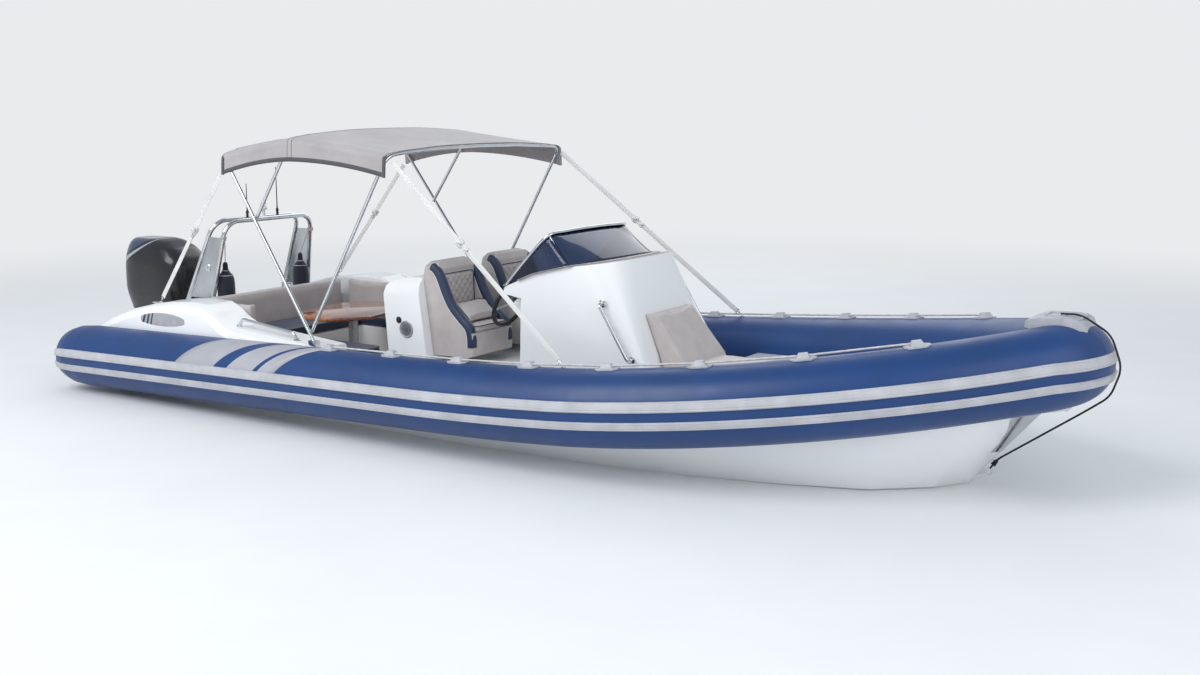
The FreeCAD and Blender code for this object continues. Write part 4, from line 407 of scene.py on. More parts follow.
# Solution-dyed acrylic canvas, knitted fender cover and polyester webbing and rope. Real threads are half a
# millimetre, drawn at three or four to show.
CANVAS = Weave("acrylic_canvas_grey", "#a7a2a3", 0.8, drift=0.06, drift_mm=350.0, sheen=0.3, thread_mm=4.0)
COVER_NAVY = Weave("knitted_cover_navy", "#131a2c", 0.85, drift=0.12, drift_mm=60.0, sheen=0.4, thread_mm=4.0)
WEBBING = Weave("polyester_webbing_white", "#dcdcda", 0.7, drift=0.05, thread_mm=3.0, thread_depth_mm=0.4)
ROPE_WHITE = Weave("polyester_rope_grey", "#c8c8c8", 0.7, drift=0.08, drift_mm=40.0, thread_mm=4.0,
                   thread_depth_mm=0.6)
ROPE_BLACK = Weave("polyester_rope_black", "#15171b", 0.65, drift=0.2, drift_mm=40.0, thread_mm=4.0,
                   thread_depth_mm=0.6)
# Oiled and varnished teak planks under a glossy coat.
TEAK = Plank("varnished_teak", "#a9602a", 0.22, coat=0.8, grain_mm=2.0, grain_depth_mm=0.03)
# Cast acrylic sheet, tinted in the mass.
SCREEN = Acrylic("tinted_acrylic", "#2a3a5e", 0.04, ior=1.49, drift=0.02, gloss_drift=0.02,
                 grain_depth_mm=0.0)
# Engine enamel: near black with a blue cast under clear lacquer.
ENGINE_BLACK = Finish("engine_enamel_black", "#0a0d13", 0.3, coat=0.3, drift=0.12, drift_mm=200.0,
                      grain_mm=9.0, grain_depth_mm=0.006)
ENGINE_NAVY = Finish("engine_enamel_navy", "#1c2c4c", 0.25, coat=0.9, drift=0.08)
ENGINE_SILVER = Finish("engine_decal_silver", "#b9bcc2", 0.35, metallic=0.6, drift=0.05)
# Sand-cast aluminium block, hidden under the cowl.
CAST_BLOCK = Finish("cast_block", "#4c4d4f", 0.6, metallic=0.7, drift=0.15, drift_mm=60.0)
# Ground and polished cast stainless.
PROP_STEEL = Finish("prop_stainless", "#b9bcbf", 0.22, metallic=1.0, drift=0.06, drift_mm=50.0,
                    anisotropy=0.4)
# Woven polyester binding tape.
CANVAS_DARK = Weave("binding_tape_dark", "#4b4a50", 0.75, drift=0.05, drift_mm=200.0, sheen=0.2,
                    thread_mm=3.0)
# Extruded vinyl piping.
PIPING_PALE = Finish("vinyl_piping_pale", "#d9d7d5", 0.45, drift=0.04, drift_mm=90.0, grain_mm=1.6,
                     grain_depth_mm=0.05)
# Prismatic lamp lens.
LENS = Acrylic("clear_lens", "#eef1f4", 0.12, ior=1.49, drift=0.02, gloss_drift=0.02, grain_mm=4.0,
               grain_depth_mm=0.15)
# Moulded top flange: pinkish-grey gelcoat flatted to a satin.
FLANGE_GREY = Finish("gelcoat_flange", "#a39a9b", 0.4, coat=0.2, drift=0.05, drift_mm=90.0, grain_mm=2.0,
                     grain_depth_mm=0.05)
# Bonded glass over an unlit display.
DISPLAY = Finish("display_glass", "#0b0e13", 0.08, coat=0.8, drift=0.02, grain_mm=8.0, grain_depth_mm=0.002)
# Coated perforated sheet behind a loudspeaker's ring.
DARK_MESH = Finish("speaker_cone", "#56585d", 0.6, drift=0.08, drift_mm=30.0, grain_mm=1.5,
                   grain_depth_mm=0.15)
# Painted studio floor.
FLOOR = Finish("studio_floor", "#eceded", 0.7, drift=0.01, drift_mm=900.0)


# Mesh helpers

# distance within which points of a CAD mesh are one
MERGE = 2e-5
# longest step along a rounded loop, cell of a pad's top, reach of a bar's end face
LOOP_STEP = 0.02
PAD_CELL = 0.006
BAR_RIM = 0.012
# cloth simulation of the stuffed pads: force, stiffness of the cover, frames
PAD_PRESSURE = 4.0
COVER_STIFFNESS = 12.0
SWELL_FRAMES = 20


def piece_from(name: str, vertices: list[Point], faces: list[Face], finish: Finish,
               sharp_degrees: float = 38.0) -> Piece:
    """Smooth-shaded object from points and faces.

    Args:
        name: Name of the piece.
        vertices: Points in metres.
        faces: Point numbers of each face, seen from outside.
        finish: Its surface.
        sharp_degrees: Edges that turn by more than this stay crisp.

    Returns:
        The object, in the scene.
    """
    mesh = bpy.data.meshes.new(name)
    mesh.from_pydata(vertices, [], faces)
    return object_of(name, mesh, finish, sharp_degrees)


def object_of(name: str, mesh: bpy.types.Mesh, finish: Finish, sharp_degrees: float = 38.0) -> Piece:
    """Links a mesh as a smooth-shaded object with one finish.

    Args:
        name: Name of the piece.
        mesh: Its mesh.
        finish: Its surface.
        sharp_degrees: Edges that turn by more than this stay crisp.

    Returns:
        The object, in the scene.
    """
    mesh.materials.clear()
    mesh.materials.append(finish.material())
    for polygon in mesh.polygons:
        polygon.use_smooth = True
    mesh.set_sharp_from_angle(angle=math.radians(sharp_degrees))
    return linked(name, mesh)


def linked(name: str, mesh: bpy.types.Mesh) -> Piece:
    """Puts a mesh in the scene as an object at the origin.

    Args:
        name: Name of the object.
        mesh: Its mesh.

    Returns:
        The object.
    """
    made = bpy.data.objects.new(name, mesh)
    bpy.context.scene.collection.objects.link(made)
    return made


def settled(piece: Piece) -> Piece:
    """Applies every modifier of a piece and clears them.

    Args:
        piece: Piece with modifiers.

    Returns:
        The same piece.
    """
    graph = bpy.context.evaluated_depsgraph_get()
    mesh = bpy.data.meshes.new_from_object(piece.evaluated_get(graph))
    piece.modifiers.clear()
    piece.data = mesh
    return piece


def thickened(piece: Piece, thickness: float, offset: float) -> Piece:
    """Gives a sheet its thickness.

    Args:
        piece: Sheet of one layer.
        thickness: Thickness in metres.
        offset: 1 on the side that it faces, -1 behind it, 0 both ways.

    Returns:
        The same piece.
    """
    wall = piece.modifiers.new("wall", "SOLIDIFY")
    wall.thickness = thickness
    wall.offset = offset
    return settled(piece)


def bevelled(piece: Piece, width: float, segments: int = 3, angle: float = 28.0) -> Piece:
    """Rounds the edges of a piece.

    Args:
        piece: Closed piece.
        width: Width of the rounding in metres.
        segments: Steps in the rounding.
        angle: Edges that turn by more than this many degrees are rounded.

    Returns:
        The same piece.
    """
    bevel = piece.modifiers.new("rounding", "BEVEL")
    bevel.width = width
    bevel.segments = segments
    bevel.limit_method = "ANGLE"
    bevel.angle_limit = math.radians(angle)
    settled(piece)
    piece.data.set_sharp_from_angle(angle=math.radians(40.0))
    return piece


def softened(frame: dict, node: str, finish: Finish, width: float, segments: int = 3,
             angle: float = 28.0) -> Piece:
    """Merged copy of a CAD node with rounded edges, to stand for it.

    Args:
        node: Name of the CAD node.
        finish: Surface of the copy.
        width: Width of the rounding in metres; 0 keeps the edges.
        segments: Steps in the rounding.
        angle: Edges that turn by more than this many degrees are rounded.

    Returns:
        The copy, riding on the node's body.
    """
    sheet = bmesh.new()
    sheet.from_mesh(frame["nodes"][node].data)
    bmesh.ops.remove_doubles(sheet, verts=sheet.verts, dist=MERGE)
    bmesh.ops.dissolve_limit(sheet, angle_limit=math.radians(0.6), verts=sheet.verts, edges=sheet.edges)
    mesh = bpy.data.meshes.new(node + "_skin")
    sheet.to_mesh(mesh)
    sheet.free()
    piece = object_of(node + "_skin", mesh, finish)
    if width > 0.0:
        bevelled(piece, width, segments, angle)
    return stand_for(frame, piece, [node])


def stand_for(frame: dict, piece: Piece, nodes: list[str]) -> Piece:
    """Lets a piece ride with its CAD nodes and hides them.

    Args:
        piece: Finished piece.
        nodes: Names of the CAD nodes that it stands for, on one body.

    Returns:
        The same piece.
    """
    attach(piece, frame["nodes"][nodes[0]]["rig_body"])
    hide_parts(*nodes)
    LOG.info("%s stands for %s", piece.name, ", ".join(nodes))
    return piece


def ride(piece: Piece) -> Piece:
    """Lets a further piece ride on the boat's root body.

    Args:
        piece: Finished piece.

    Returns:
        The same piece.
    """
    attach(piece, "root")
    LOG.info("%s rides on the boat", piece.name)
    return piece


def joined(name: str, pieces: list[Piece]) -> Piece:
    """One object of several meshes, with all their materials.

    Args:
        name: Name of the object.
        pieces: Objects that go into it, which are removed.

    Returns:
        The object.
    """
    sheet = bmesh.new()
    materials: list[bpy.types.Material] = []
    for piece in pieces:
        start = len(sheet.faces)
        sheet.from_mesh(piece.data)
        sheet.faces.ensure_lookup_table()
        numbers = []
        for material in piece.data.materials:
            if material not in materials:
                materials.append(material)
            numbers.append(materials.index(material))
        for face in sheet.faces[start:]:
            face.material_index = numbers[face.material_index]
    mesh = bpy.data.meshes.new(name)
    sheet.to_mesh(mesh)
    sheet.free()
    for material in materials:
        mesh.materials.append(material)
    for piece in pieces:
        bpy.data.objects.remove(piece)
    return linked(name, mesh)


def angles(count: int, closed: bool = False) -> list[float]:
    """Angles of even steps round a full turn; closed ends where it starts."""
    return [2.0 * math.pi * i / count for i in range(count + closed)]


def heading(line: list[Vector], index: int) -> Vector:
    """Direction of a line at one of its points."""
    return (line[min(index + 1, len(line) - 1)] - line[max(index - 1, 0)]).normalized()


def grid_faces(rows: int, columns: int, wrap_rows: bool = False, wrap_columns: bool = False,
               flip: bool = False) -> list[Face]:
    """Quads over a grid of points that was stored row by row.

    Args:
        rows: Number of rows.
        columns: Points in a row.
        wrap_rows: Joins the last row to the first.
        wrap_columns: Joins the last point of a row to its first.
        flip: Turns the faces over.

    Returns:
        The faces.
    """
    faces = []
    for row in range(rows if wrap_rows else rows - 1):
        for column in range(columns if wrap_columns else columns - 1):
            a = row * columns + column
            b = row * columns + (column + 1) % columns
            c = ((row + 1) % rows) * columns + (column + 1) % columns
            d = ((row + 1) % rows) * columns + column
            faces.append((d, c, b, a) if flip else (a, b, c, d))
    return faces


def capped(rows: int, columns: int) -> list[Face]:
    """Faces of a closed skin over rings that were stored one after another."""
    return grid_faces(rows, columns, wrap_columns=True) + [
        tuple(reversed(range(columns))), tuple(range((rows - 1) * columns, rows * columns))]


def prism(count: int) -> list[Face]:
    """Faces between two equal outlines that were stored one after the other."""
    faces: list[Face] = [tuple(range(count)), tuple(reversed(range(count, 2 * count)))]
    return faces + [(i, i + count, (i + 1) % count + count, (i + 1) % count) for i in range(count)]


def smooth_line(points: list[Point], steps: int) -> list[Vector]:
    """Catmull-Rom line through points.

    Args:
        points: Places that the line goes through.
        steps: Divisions between two places.

    Returns:
        Points along the line.
    """
    knots = [Vector(p) for p in points]
    ends = [knots[0] * 2.0 - knots[1]] + knots + [knots[-1] * 2.0 - knots[-2]]
    line = []
    for a, b, c, d in zip(ends, ends[1:], ends[2:], ends[3:]):
        for step in range(steps):
            t = step / steps
            line.append(0.5 * ((2.0 * b) + (c - a) * t + (2.0 * a - 5.0 * b + 4.0 * c - d) * t * t
                               + (3.0 * b - a - 3.0 * c + d) * t ** 3))
    line.append(knots[-1])
    return line


def swept(name: str, line: list[Vector], outline: Pairs | list, finish: Finish, up: Vector = UP) -> Piece:
    """Outline carried along a line without twist, closed at both ends.

    Args:
        name: Name of the piece.
        line: Points of the path.
        outline: Sideways and upward offsets, anticlockwise seen against the path.
        finish: Its surface.
        up: Rough upward direction that the outline keeps.

    Returns:
        The object.
    """
    vertices: list[Point] = []
    for index, point in enumerate(line):
        along = heading(line, index)
        side = up.cross(along)
        side = side.normalized() if side.length > 1e-6 else Vector((1.0, 0.0, 0.0))
        lift = along.cross(side)
        vertices += [tuple(point + side * a + lift * b) for a, b in outline]
    return piece_from(name, vertices, capped(len(line), len(outline)), finish)


def height_on(line: Pairs, place: float) -> float:
    """Value of a broken line at a place.

    Args:
        line: Place and value of each point, places rising.
        place: Where it is read.

    Returns:
        The value, held level past the ends.
    """
    if place <= line[0][0]:
        return line[0][1]
    for (p0, v0), (p1, v1) in zip(line, line[1:]):
        if place <= p1:
            return v0 + (v1 - v0) * (place - p0) / (p1 - p0)
    return line[-1][1]


def filleted(points: list[Point], bend: float, step_degrees: float = 8.0) -> list[Vector]:
    """Route of straight runs with each corner rounded by an arc.

    Args:
        points: Corners of the route.
        bend: Radius of the arcs, less where the runs are short.
        step_degrees: Turn between two points of an arc.

    Returns:
        Points along the route.
    """
    knots = [Vector(p) for p in points]
    route = [knots[0]]
    for before, corner, after in zip(knots, knots[1:], knots[2:]):
        back, ahead = (before - corner).normalized(), (after - corner).normalized()
        turn = math.pi - back.angle(ahead)
        if turn < 0.01:
            continue
        room = 0.45 * min((before - corner).length, (after - corner).length)
        cut = min(bend * math.tan(0.5 * turn), room)
        radius = cut / math.tan(0.5 * turn)
        centre = corner + (back + ahead).normalized() * (radius / math.cos(0.5 * turn))
        first = corner + back * cut - centre
        axis = first.cross(corner + ahead * cut - centre)
        count = max(2, math.ceil(math.degrees(turn) / step_degrees))
        route += [centre + Matrix.Rotation(turn * index / count, 3, axis) @ first
                  for index in range(count + 1)]
    route.append(knots[-1])
    return route


def pipe(name: str, line: list[Vector], radius: float, finish: Finish, count: int = 20,
         strands: int = 0, lay: float = 0.0) -> Piece:
    """Round bar or laid rope along a line, with a frame that never twists.

    Args:
        name: Name of the piece.
        line: Points of its centre.
        radius: Outer radius.
        finish: Its surface.
        count: Divisions round it.
        strands: Strands of a rope; 0 is a smooth bar.
        lay: Length of one full turn of the strands.

    Returns:
        The object.
    """
    side, run = UP, 0.0
    vertices: list[Point] = []
    for index, point in enumerate(line):
        along = heading(line, index)
        side = side - along * side.dot(along)
        side = side.normalized() if side.length > 1e-4 else along.orthogonal().normalized()
        other = along.cross(side)
        run += (point - line[max(index - 1, 0)]).length
        for a in angles(count):
            r = radius
            if strands:
                r *= 0.80 + 0.20 * abs(math.cos(0.5 * strands * (a - 2.0 * math.pi * run / lay)))
            vertices.append(tuple(point + side * (r * math.cos(a)) + other * (r * math.sin(a))))
    return piece_from(name, vertices, capped(len(line), count), finish, 60.0)


def divided(start: Vector, end: Vector, step: float) -> list[Vector]:
    """Straight line cut into short lengths."""
    count = max(2, math.ceil((end - start).length / step))
    return [start.lerp(end, index / count) for index in range(count + 1)]


def resampled(line: list[Vector], step: float) -> list[Vector]:
    """The same line with points no farther apart than a step.

    Args:
        line: Points of the line.
        step: Longest distance between two points.

    Returns:
        The points with further ones between them.
    """
    route = [line[0]]
    for low, high in zip(line, line[1:]):
        count = max(1, math.ceil((high - low).length / step))
        route += [low.lerp(high, index / count) for index in range(1, count + 1)]
    return route


def rounded_loop(xs: tuple[float, float], ys: tuple[float, float], z: float, corner: float) -> list[Vector]:
    """Closed level loop with rounded corners and short even steps.

    Args:
        xs: Ends along the boat.
        ys: Ends across the boat.
        z: Height.
        corner: Radius of the corners.

    Returns:
        Points of the loop, the last on the first.
    """
    middle = (xs[0], 0.5 * (ys[0] + ys[1]), z)
    corners = [(x, y, z) for x, y in ((xs[0], ys[1]), (xs[1], ys[1]), (xs[1], ys[0]), (xs[0], ys[0]))]
    return resampled(filleted([middle] + corners + [middle], corner, 10.0), LOOP_STEP)


def looped(centre: Vector, axis: Vector, radius: float, wave: float) -> list[Vector]:
    """One closed turn of a rope or strap round an axis.

    Args:
        centre: Middle of the turn.
        axis: Direction that it goes round.
        radius: Radius of the turn.
        wave: How far it sways along the axis.

    Returns:
        Points of the turn.
    """
    first = axis.orthogonal().normalized()
    return [centre + (first * math.cos(a) + axis.cross(first) * math.sin(a)) * radius
            + axis * (wave * math.sin(2.0 * a)) for a in angles(32, True)]


def islands(frame: dict, node: str) -> list[list[Vector]]:
    """Points of each solid of a CAD node.

    Args:
        node: Name of the node.

    Returns:
        The points of each solid, lowest x first.
    """
    sheet = bmesh.new()
    sheet.from_mesh(frame["nodes"][node].data)
    bmesh.ops.remove_doubles(sheet, verts=sheet.verts, dist=MERGE)
    left = set(sheet.verts)
    found = []
    while left:
        island, edge = set(), [next(iter(left))]
        while edge:
            vert = edge.pop()
            if vert not in island:
                island.add(vert)
                edge += [e.other_vert(vert) for e in vert.link_edges]
        left -= island
        found.append(sorted((v.co.copy() for v in island), key=tuple))
    sheet.free()
    return sorted(found, key=lambda spots: tuple(spots[0]))


def solid_boxes(frame: dict, node: str) -> list[tuple[Vector, Vector]]:
    """Lowest and highest corner of each solid of a CAD node."""
    return [(Vector(tuple(map(min, zip(*spots)))), Vector(tuple(map(max, zip(*spots)))))
            for spots in islands(frame, node)]


def bar_ends(frame: dict, node: str) -> list[tuple[Vector, Vector]]:
    """End points of each straight bar of a CAD node.

    Args:
        node: Name of the node.

    Returns:
        The middle of both end faces of each of its solids.
    """
    ends = []
    for spots in islands(frame, node):
        far = max(spots, key=lambda c: (c - spots[0]).length)
        near = max(spots, key=lambda c: (c - far).length)
        pair = []
        for spot in (near, far):
            close = [c for c in spots if (c - spot).length < 0.3 * (far - near).length]
            rim = [c for c in close if abs((c - spot).dot((far - near).normalized())) < BAR_RIM]
            pair.append(sum(rim, Vector()) / len(rim))
        ends.append((pair[0], pair[1]))
    return sorted(ends, key=lambda pair: tuple(pair[0]))


def plate(name: str, outline: list[Vector], thickness: float, finish: Finish, edge: float = 0.0) -> Piece:
    """Flat plate with an even thickness, centred on its outline.

    Args:
        name: Name of the piece.
        outline: Points of its middle plane.
        thickness: Thickness in metres.
        finish: Its surface.
        edge: Width of the rounding of its edges; 0 keeps them.

    Returns:
        The plate.
    """
    ring = zip(outline, outline[1:] + outline[:1])
    lift = sum((a.cross(b) for a, b in ring), Vector()).normalized() * (0.5 * thickness)
    vertices = [tuple(p + lift) for p in outline] + [tuple(p - lift) for p in outline]
    made = piece_from(name, vertices, prism(len(outline)), finish)
    return bevelled(made, edge) if edge else made


def studded(name: str, places: list[tuple[Vector, Vector]], radius: float, height: float,
            finish: Finish) -> Piece:
    """Domed heads on a surface, placed by Geometry Nodes on points with normals.

    Args:
        name: Name of the piece.
        places: Point and outward direction of each head.
        radius: Radius of a head.
        height: Height of a head.
        finish: Its surface.

    Returns:
        One mesh with all the heads.
    """
    mesh = bpy.data.meshes.new(name + "_points")
    mesh.from_pydata([tuple(p) for p, _ in places], [], [])
    heads = mesh.attributes.new("head_axis", "FLOAT_VECTOR", "POINT")
    for row, (_, axis) in zip(heads.data, places):
        row.vector = axis
    holder = linked(name, mesh)
    tree = bpy.data.node_groups.new(name + "_heads", "GeometryNodeTree")
    sizes = {}
    tree.interface.new_socket("Geometry", in_out="INPUT", socket_type="NodeSocketGeometry")
    for label, value in (("Head radius", radius), ("Head height", height)):
        socket = tree.interface.new_socket(label, in_out="INPUT", socket_type="NodeSocketFloat")
        sizes[socket.identifier] = value
    tree.interface.new_socket("Geometry", in_out="OUTPUT", socket_type="NodeSocketGeometry")
    given = add(tree, "NodeGroupInput")
    ball = add(tree, "GeometryNodeMeshUVSphere", inputs={"Segments": 12, "Rings": 8, "Radius": 1.0})
    size = add(tree, "ShaderNodeCombineXYZ", inputs={
        "X": given.outputs["Head radius"], "Y": given.outputs["Head radius"],
        "Z": given.outputs["Head height"]})
    flat = add(tree, "GeometryNodeTransform", inputs={
        "Geometry": ball.outputs["Mesh"], "Scale": size.outputs["Vector"]})
    axis = add(tree, "GeometryNodeInputNamedAttribute", {"data_type": "FLOAT_VECTOR"}, {"Name": "head_axis"})
    turn = add(tree, "FunctionNodeAlignRotationToVector", {"axis": "Z"},
               {"Vector": axis.outputs["Attribute"]})
    spread = add(tree, "GeometryNodeInstanceOnPoints", inputs={
        "Points": given.outputs["Geometry"], "Instance": flat.outputs["Geometry"],
        "Rotation": turn.outputs["Rotation"]})
    real = add(tree, "GeometryNodeRealizeInstances", inputs={"Geometry": spread.outputs["Instances"]})
    dressed = add(tree, "GeometryNodeSetMaterial", inputs={
        "Geometry": real.outputs["Geometry"], "Material": finish.material()})
    add(tree, "NodeGroupOutput", inputs={"Geometry": dressed.outputs["Geometry"]})
    nodes = holder.modifiers.new("heads", "NODES")
    nodes.node_group = tree
    for identifier, value in sizes.items():
        nodes[identifier] = value
    settled(holder)
    for polygon in holder.data.polygons:
        polygon.use_smooth = True
    return holder


def lathe(name: str, profile: Pairs | list, base: Vector, axis: Vector, finish: Finish,
          count: int = 32) -> Piece:
    """Profile of radius and height turned round an axis.

    Args:
        name: Name of the piece.
        profile: Radius and height of each ring, from the base up.
        base: Point that height 0 stands at.
        axis: Direction of height.
        finish: Its surface.
        count: Divisions round the axis.

    Returns:
        The object.
    """
    turn = axis.normalized().to_track_quat("Z", "Y")
    vertices = [tuple(base + turn @ Vector((radius * math.cos(a), radius * math.sin(a), height)))
                for radius, height in profile for a in angles(count)]
    return piece_from(name, vertices, capped(len(profile), count), finish)


def foot(place: Vector, axis: Vector, rim: float, shoulder: tuple[float, float], neck: tuple[float, float],
         count: int = 28) -> Piece:
    """Polished round foot that a rail stands in.

    Args:
        place: Point that it stands at.
        axis: Direction of the rail there.
        rim: Radius of its flange.
        shoulder: Radius and height of the shoulder.
        neck: Radius and height of its upper end.
        count: Divisions round it.

    Returns:
        The foot.
    """
    return lathe("foot", [(rim, 0.0), (rim, 0.004), shoulder, neck], place, axis, STAINLESS, count)


def outward(piece: Piece, toward: Vector | None = None) -> Piece:
    """Turns a piece's faces outwards.

    Args:
        piece: Closed piece or open sheet.
        toward: Way that an open sheet faces.

    Returns:
        The same piece.
    """
    sheet = bmesh.new()
    sheet.from_mesh(piece.data)
    bmesh.ops.recalc_face_normals(sheet, faces=sheet.faces)
    if toward is not None:
        facing = sum((face.normal * face.calc_area() for face in sheet.faces), Vector())
        if facing.dot(toward) < 0.0:
            bmesh.ops.reverse_faces(sheet, faces=sheet.faces)
    sheet.to_mesh(piece.data)
    sheet.free()
    return piece


def crowned(name: str, xs: tuple[float, float], ys: tuple[float, float], zs: tuple[float, float],
            crown: float, edge: float, finish: Finish, channels: int = 0, corner: float = 0.03) -> Piece:
    """Upholstered pad: rounded plan, soft edges, crowned top and sewn channels across its width.

    Args:
        name: Name of the piece.
        xs: Ends along the boat.
        ys: Ends across the boat.
        zs: Underside and the top at the crown.
        crown: Rise of the top from its rim to its middle.
        edge: Radius of the upper and lower edges.
        finish: Its cover.
        channels: Number of sewn channels.
        corner: Radius of the corners in plan.

    Returns:
        The pad.
    """
    middle_x, middle_y = 0.5 * (xs[0] + xs[1]), 0.5 * (ys[0] + ys[1])
    half_x, half_y = 0.5 * (xs[1] - xs[0]), 0.5 * (ys[1] - ys[0])
    loop = [(point.x - middle_x, point.y - middle_y)
            for point in rounded_loop(xs, ys, 0.0, min(corner, 0.8 * half_x, 0.8 * half_y))[:-1]]
    rim_z = zs[1] - crown
    quarter = [math.radians(15.0 * step) for step in range(7)]
    rings = [(edge * (1.0 - math.sin(a)), zs[0] + edge * (1.0 - math.cos(a))) for a in quarter]
    rings += [(edge * (1.0 - math.cos(a)), rim_z - edge * (1.0 - math.sin(a))) for a in quarter]
    vertices = [(middle_x + x * (1.0 - inset / half_x), middle_y + y * (1.0 - inset / half_y), z)
                for inset, z in rings for x, y in loop]
    layers = max(2, round(max(half_x, half_y) / PAD_CELL)) // 2
    for layer in range(1, layers + 1):
        share = 1.0 - layer / (layers + 1)
        for away_x, away_y in loop:
            x = away_x * (1.0 - edge / half_x) * share
            y = away_y * (1.0 - edge / half_y) * share
            u, v = min(1.0, abs(x) / half_x), min(1.0, abs(y) / half_y)
            rise = crown * (1.0 - u ** 4) * (1.0 - v ** 4) * (1.0 - share ** 6)
            if channels:
                seam = abs((y + half_y) * channels / (2.0 * half_y) % 1.0 - 0.5) - 0.5
                rise -= 0.4 * crown * math.exp(-(seam / 0.035) ** 2) * (1.0 - share ** 8)
            vertices.append((middle_x + x, middle_y + y, rim_z + rise))
    faces = capped(len(vertices) // len(loop), len(loop))
    return outward(piece_from(name, vertices, faces, finish, 70.0))


def plumped(piece: Piece, voxel: float, cap: float, inset: float = 0.0) -> Piece:
    """Swells a pad with a pressurised cloth simulation and applies the result.

    Args:
        piece: Pad, as large as the stuffed one less its inset.
        voxel: Size of the simulated mesh's cells.
        cap: Farthest that a point may move.
        inset: How far the pad is drawn in before it swells.

    Returns:
        The same piece, swollen and evened out.
    """
    finish = piece.data.materials[0]
    remesh = piece.modifiers.new("cells", "REMESH")
    remesh.mode = "VOXEL"
    remesh.voxel_size = voxel
    settled(piece)
    normals = [vert.normal.copy() for vert in piece.data.vertices]
    for vert, normal in zip(piece.data.vertices, normals):
        vert.co -= normal * inset
    rest = [vert.co.copy() for vert in piece.data.vertices]
    cloth = piece.modifiers.new("stuffing", "CLOTH")
    cloth.settings.quality = 3
    cloth.settings.use_pressure = True
    cloth.settings.uniform_pressure_force = PAD_PRESSURE
    cloth.settings.effector_weights.gravity = 0.0
    cloth.settings.tension_stiffness = COVER_STIFFNESS
    cloth.settings.compression_stiffness = COVER_STIFFNESS
    cloth.point_cache.frame_start = 1
    cloth.point_cache.frame_end = SWELL_FRAMES
    scene = bpy.context.scene
    for number in range(1, SWELL_FRAMES + 1):
        scene.frame_set(number)
    graph = bpy.context.evaluated_depsgraph_get()
    swollen = piece.evaluated_get(graph).to_mesh()
    moved = [vert.co.copy() for vert in swollen.vertices]
    piece.evaluated_get(graph).to_mesh_clear()
    piece.modifiers.clear()
    scene.frame_set(1)
    for vert, before, after in zip(piece.data.vertices, rest, moved):
        shift = after - before
        vert.co = before + shift * min(1.0, cap / max(shift.length, 1e-6))
    relax = piece.modifiers.new("even", "SMOOTH")
    relax.factor = 0.5
    relax.iterations = 3
    settled(piece)
    piece.data.materials.clear()
    piece.data.materials.append(finish)
    for polygon in piece.data.polygons:
        polygon.use_smooth = True
        polygon.material_index = 0
    return piece


# Stage


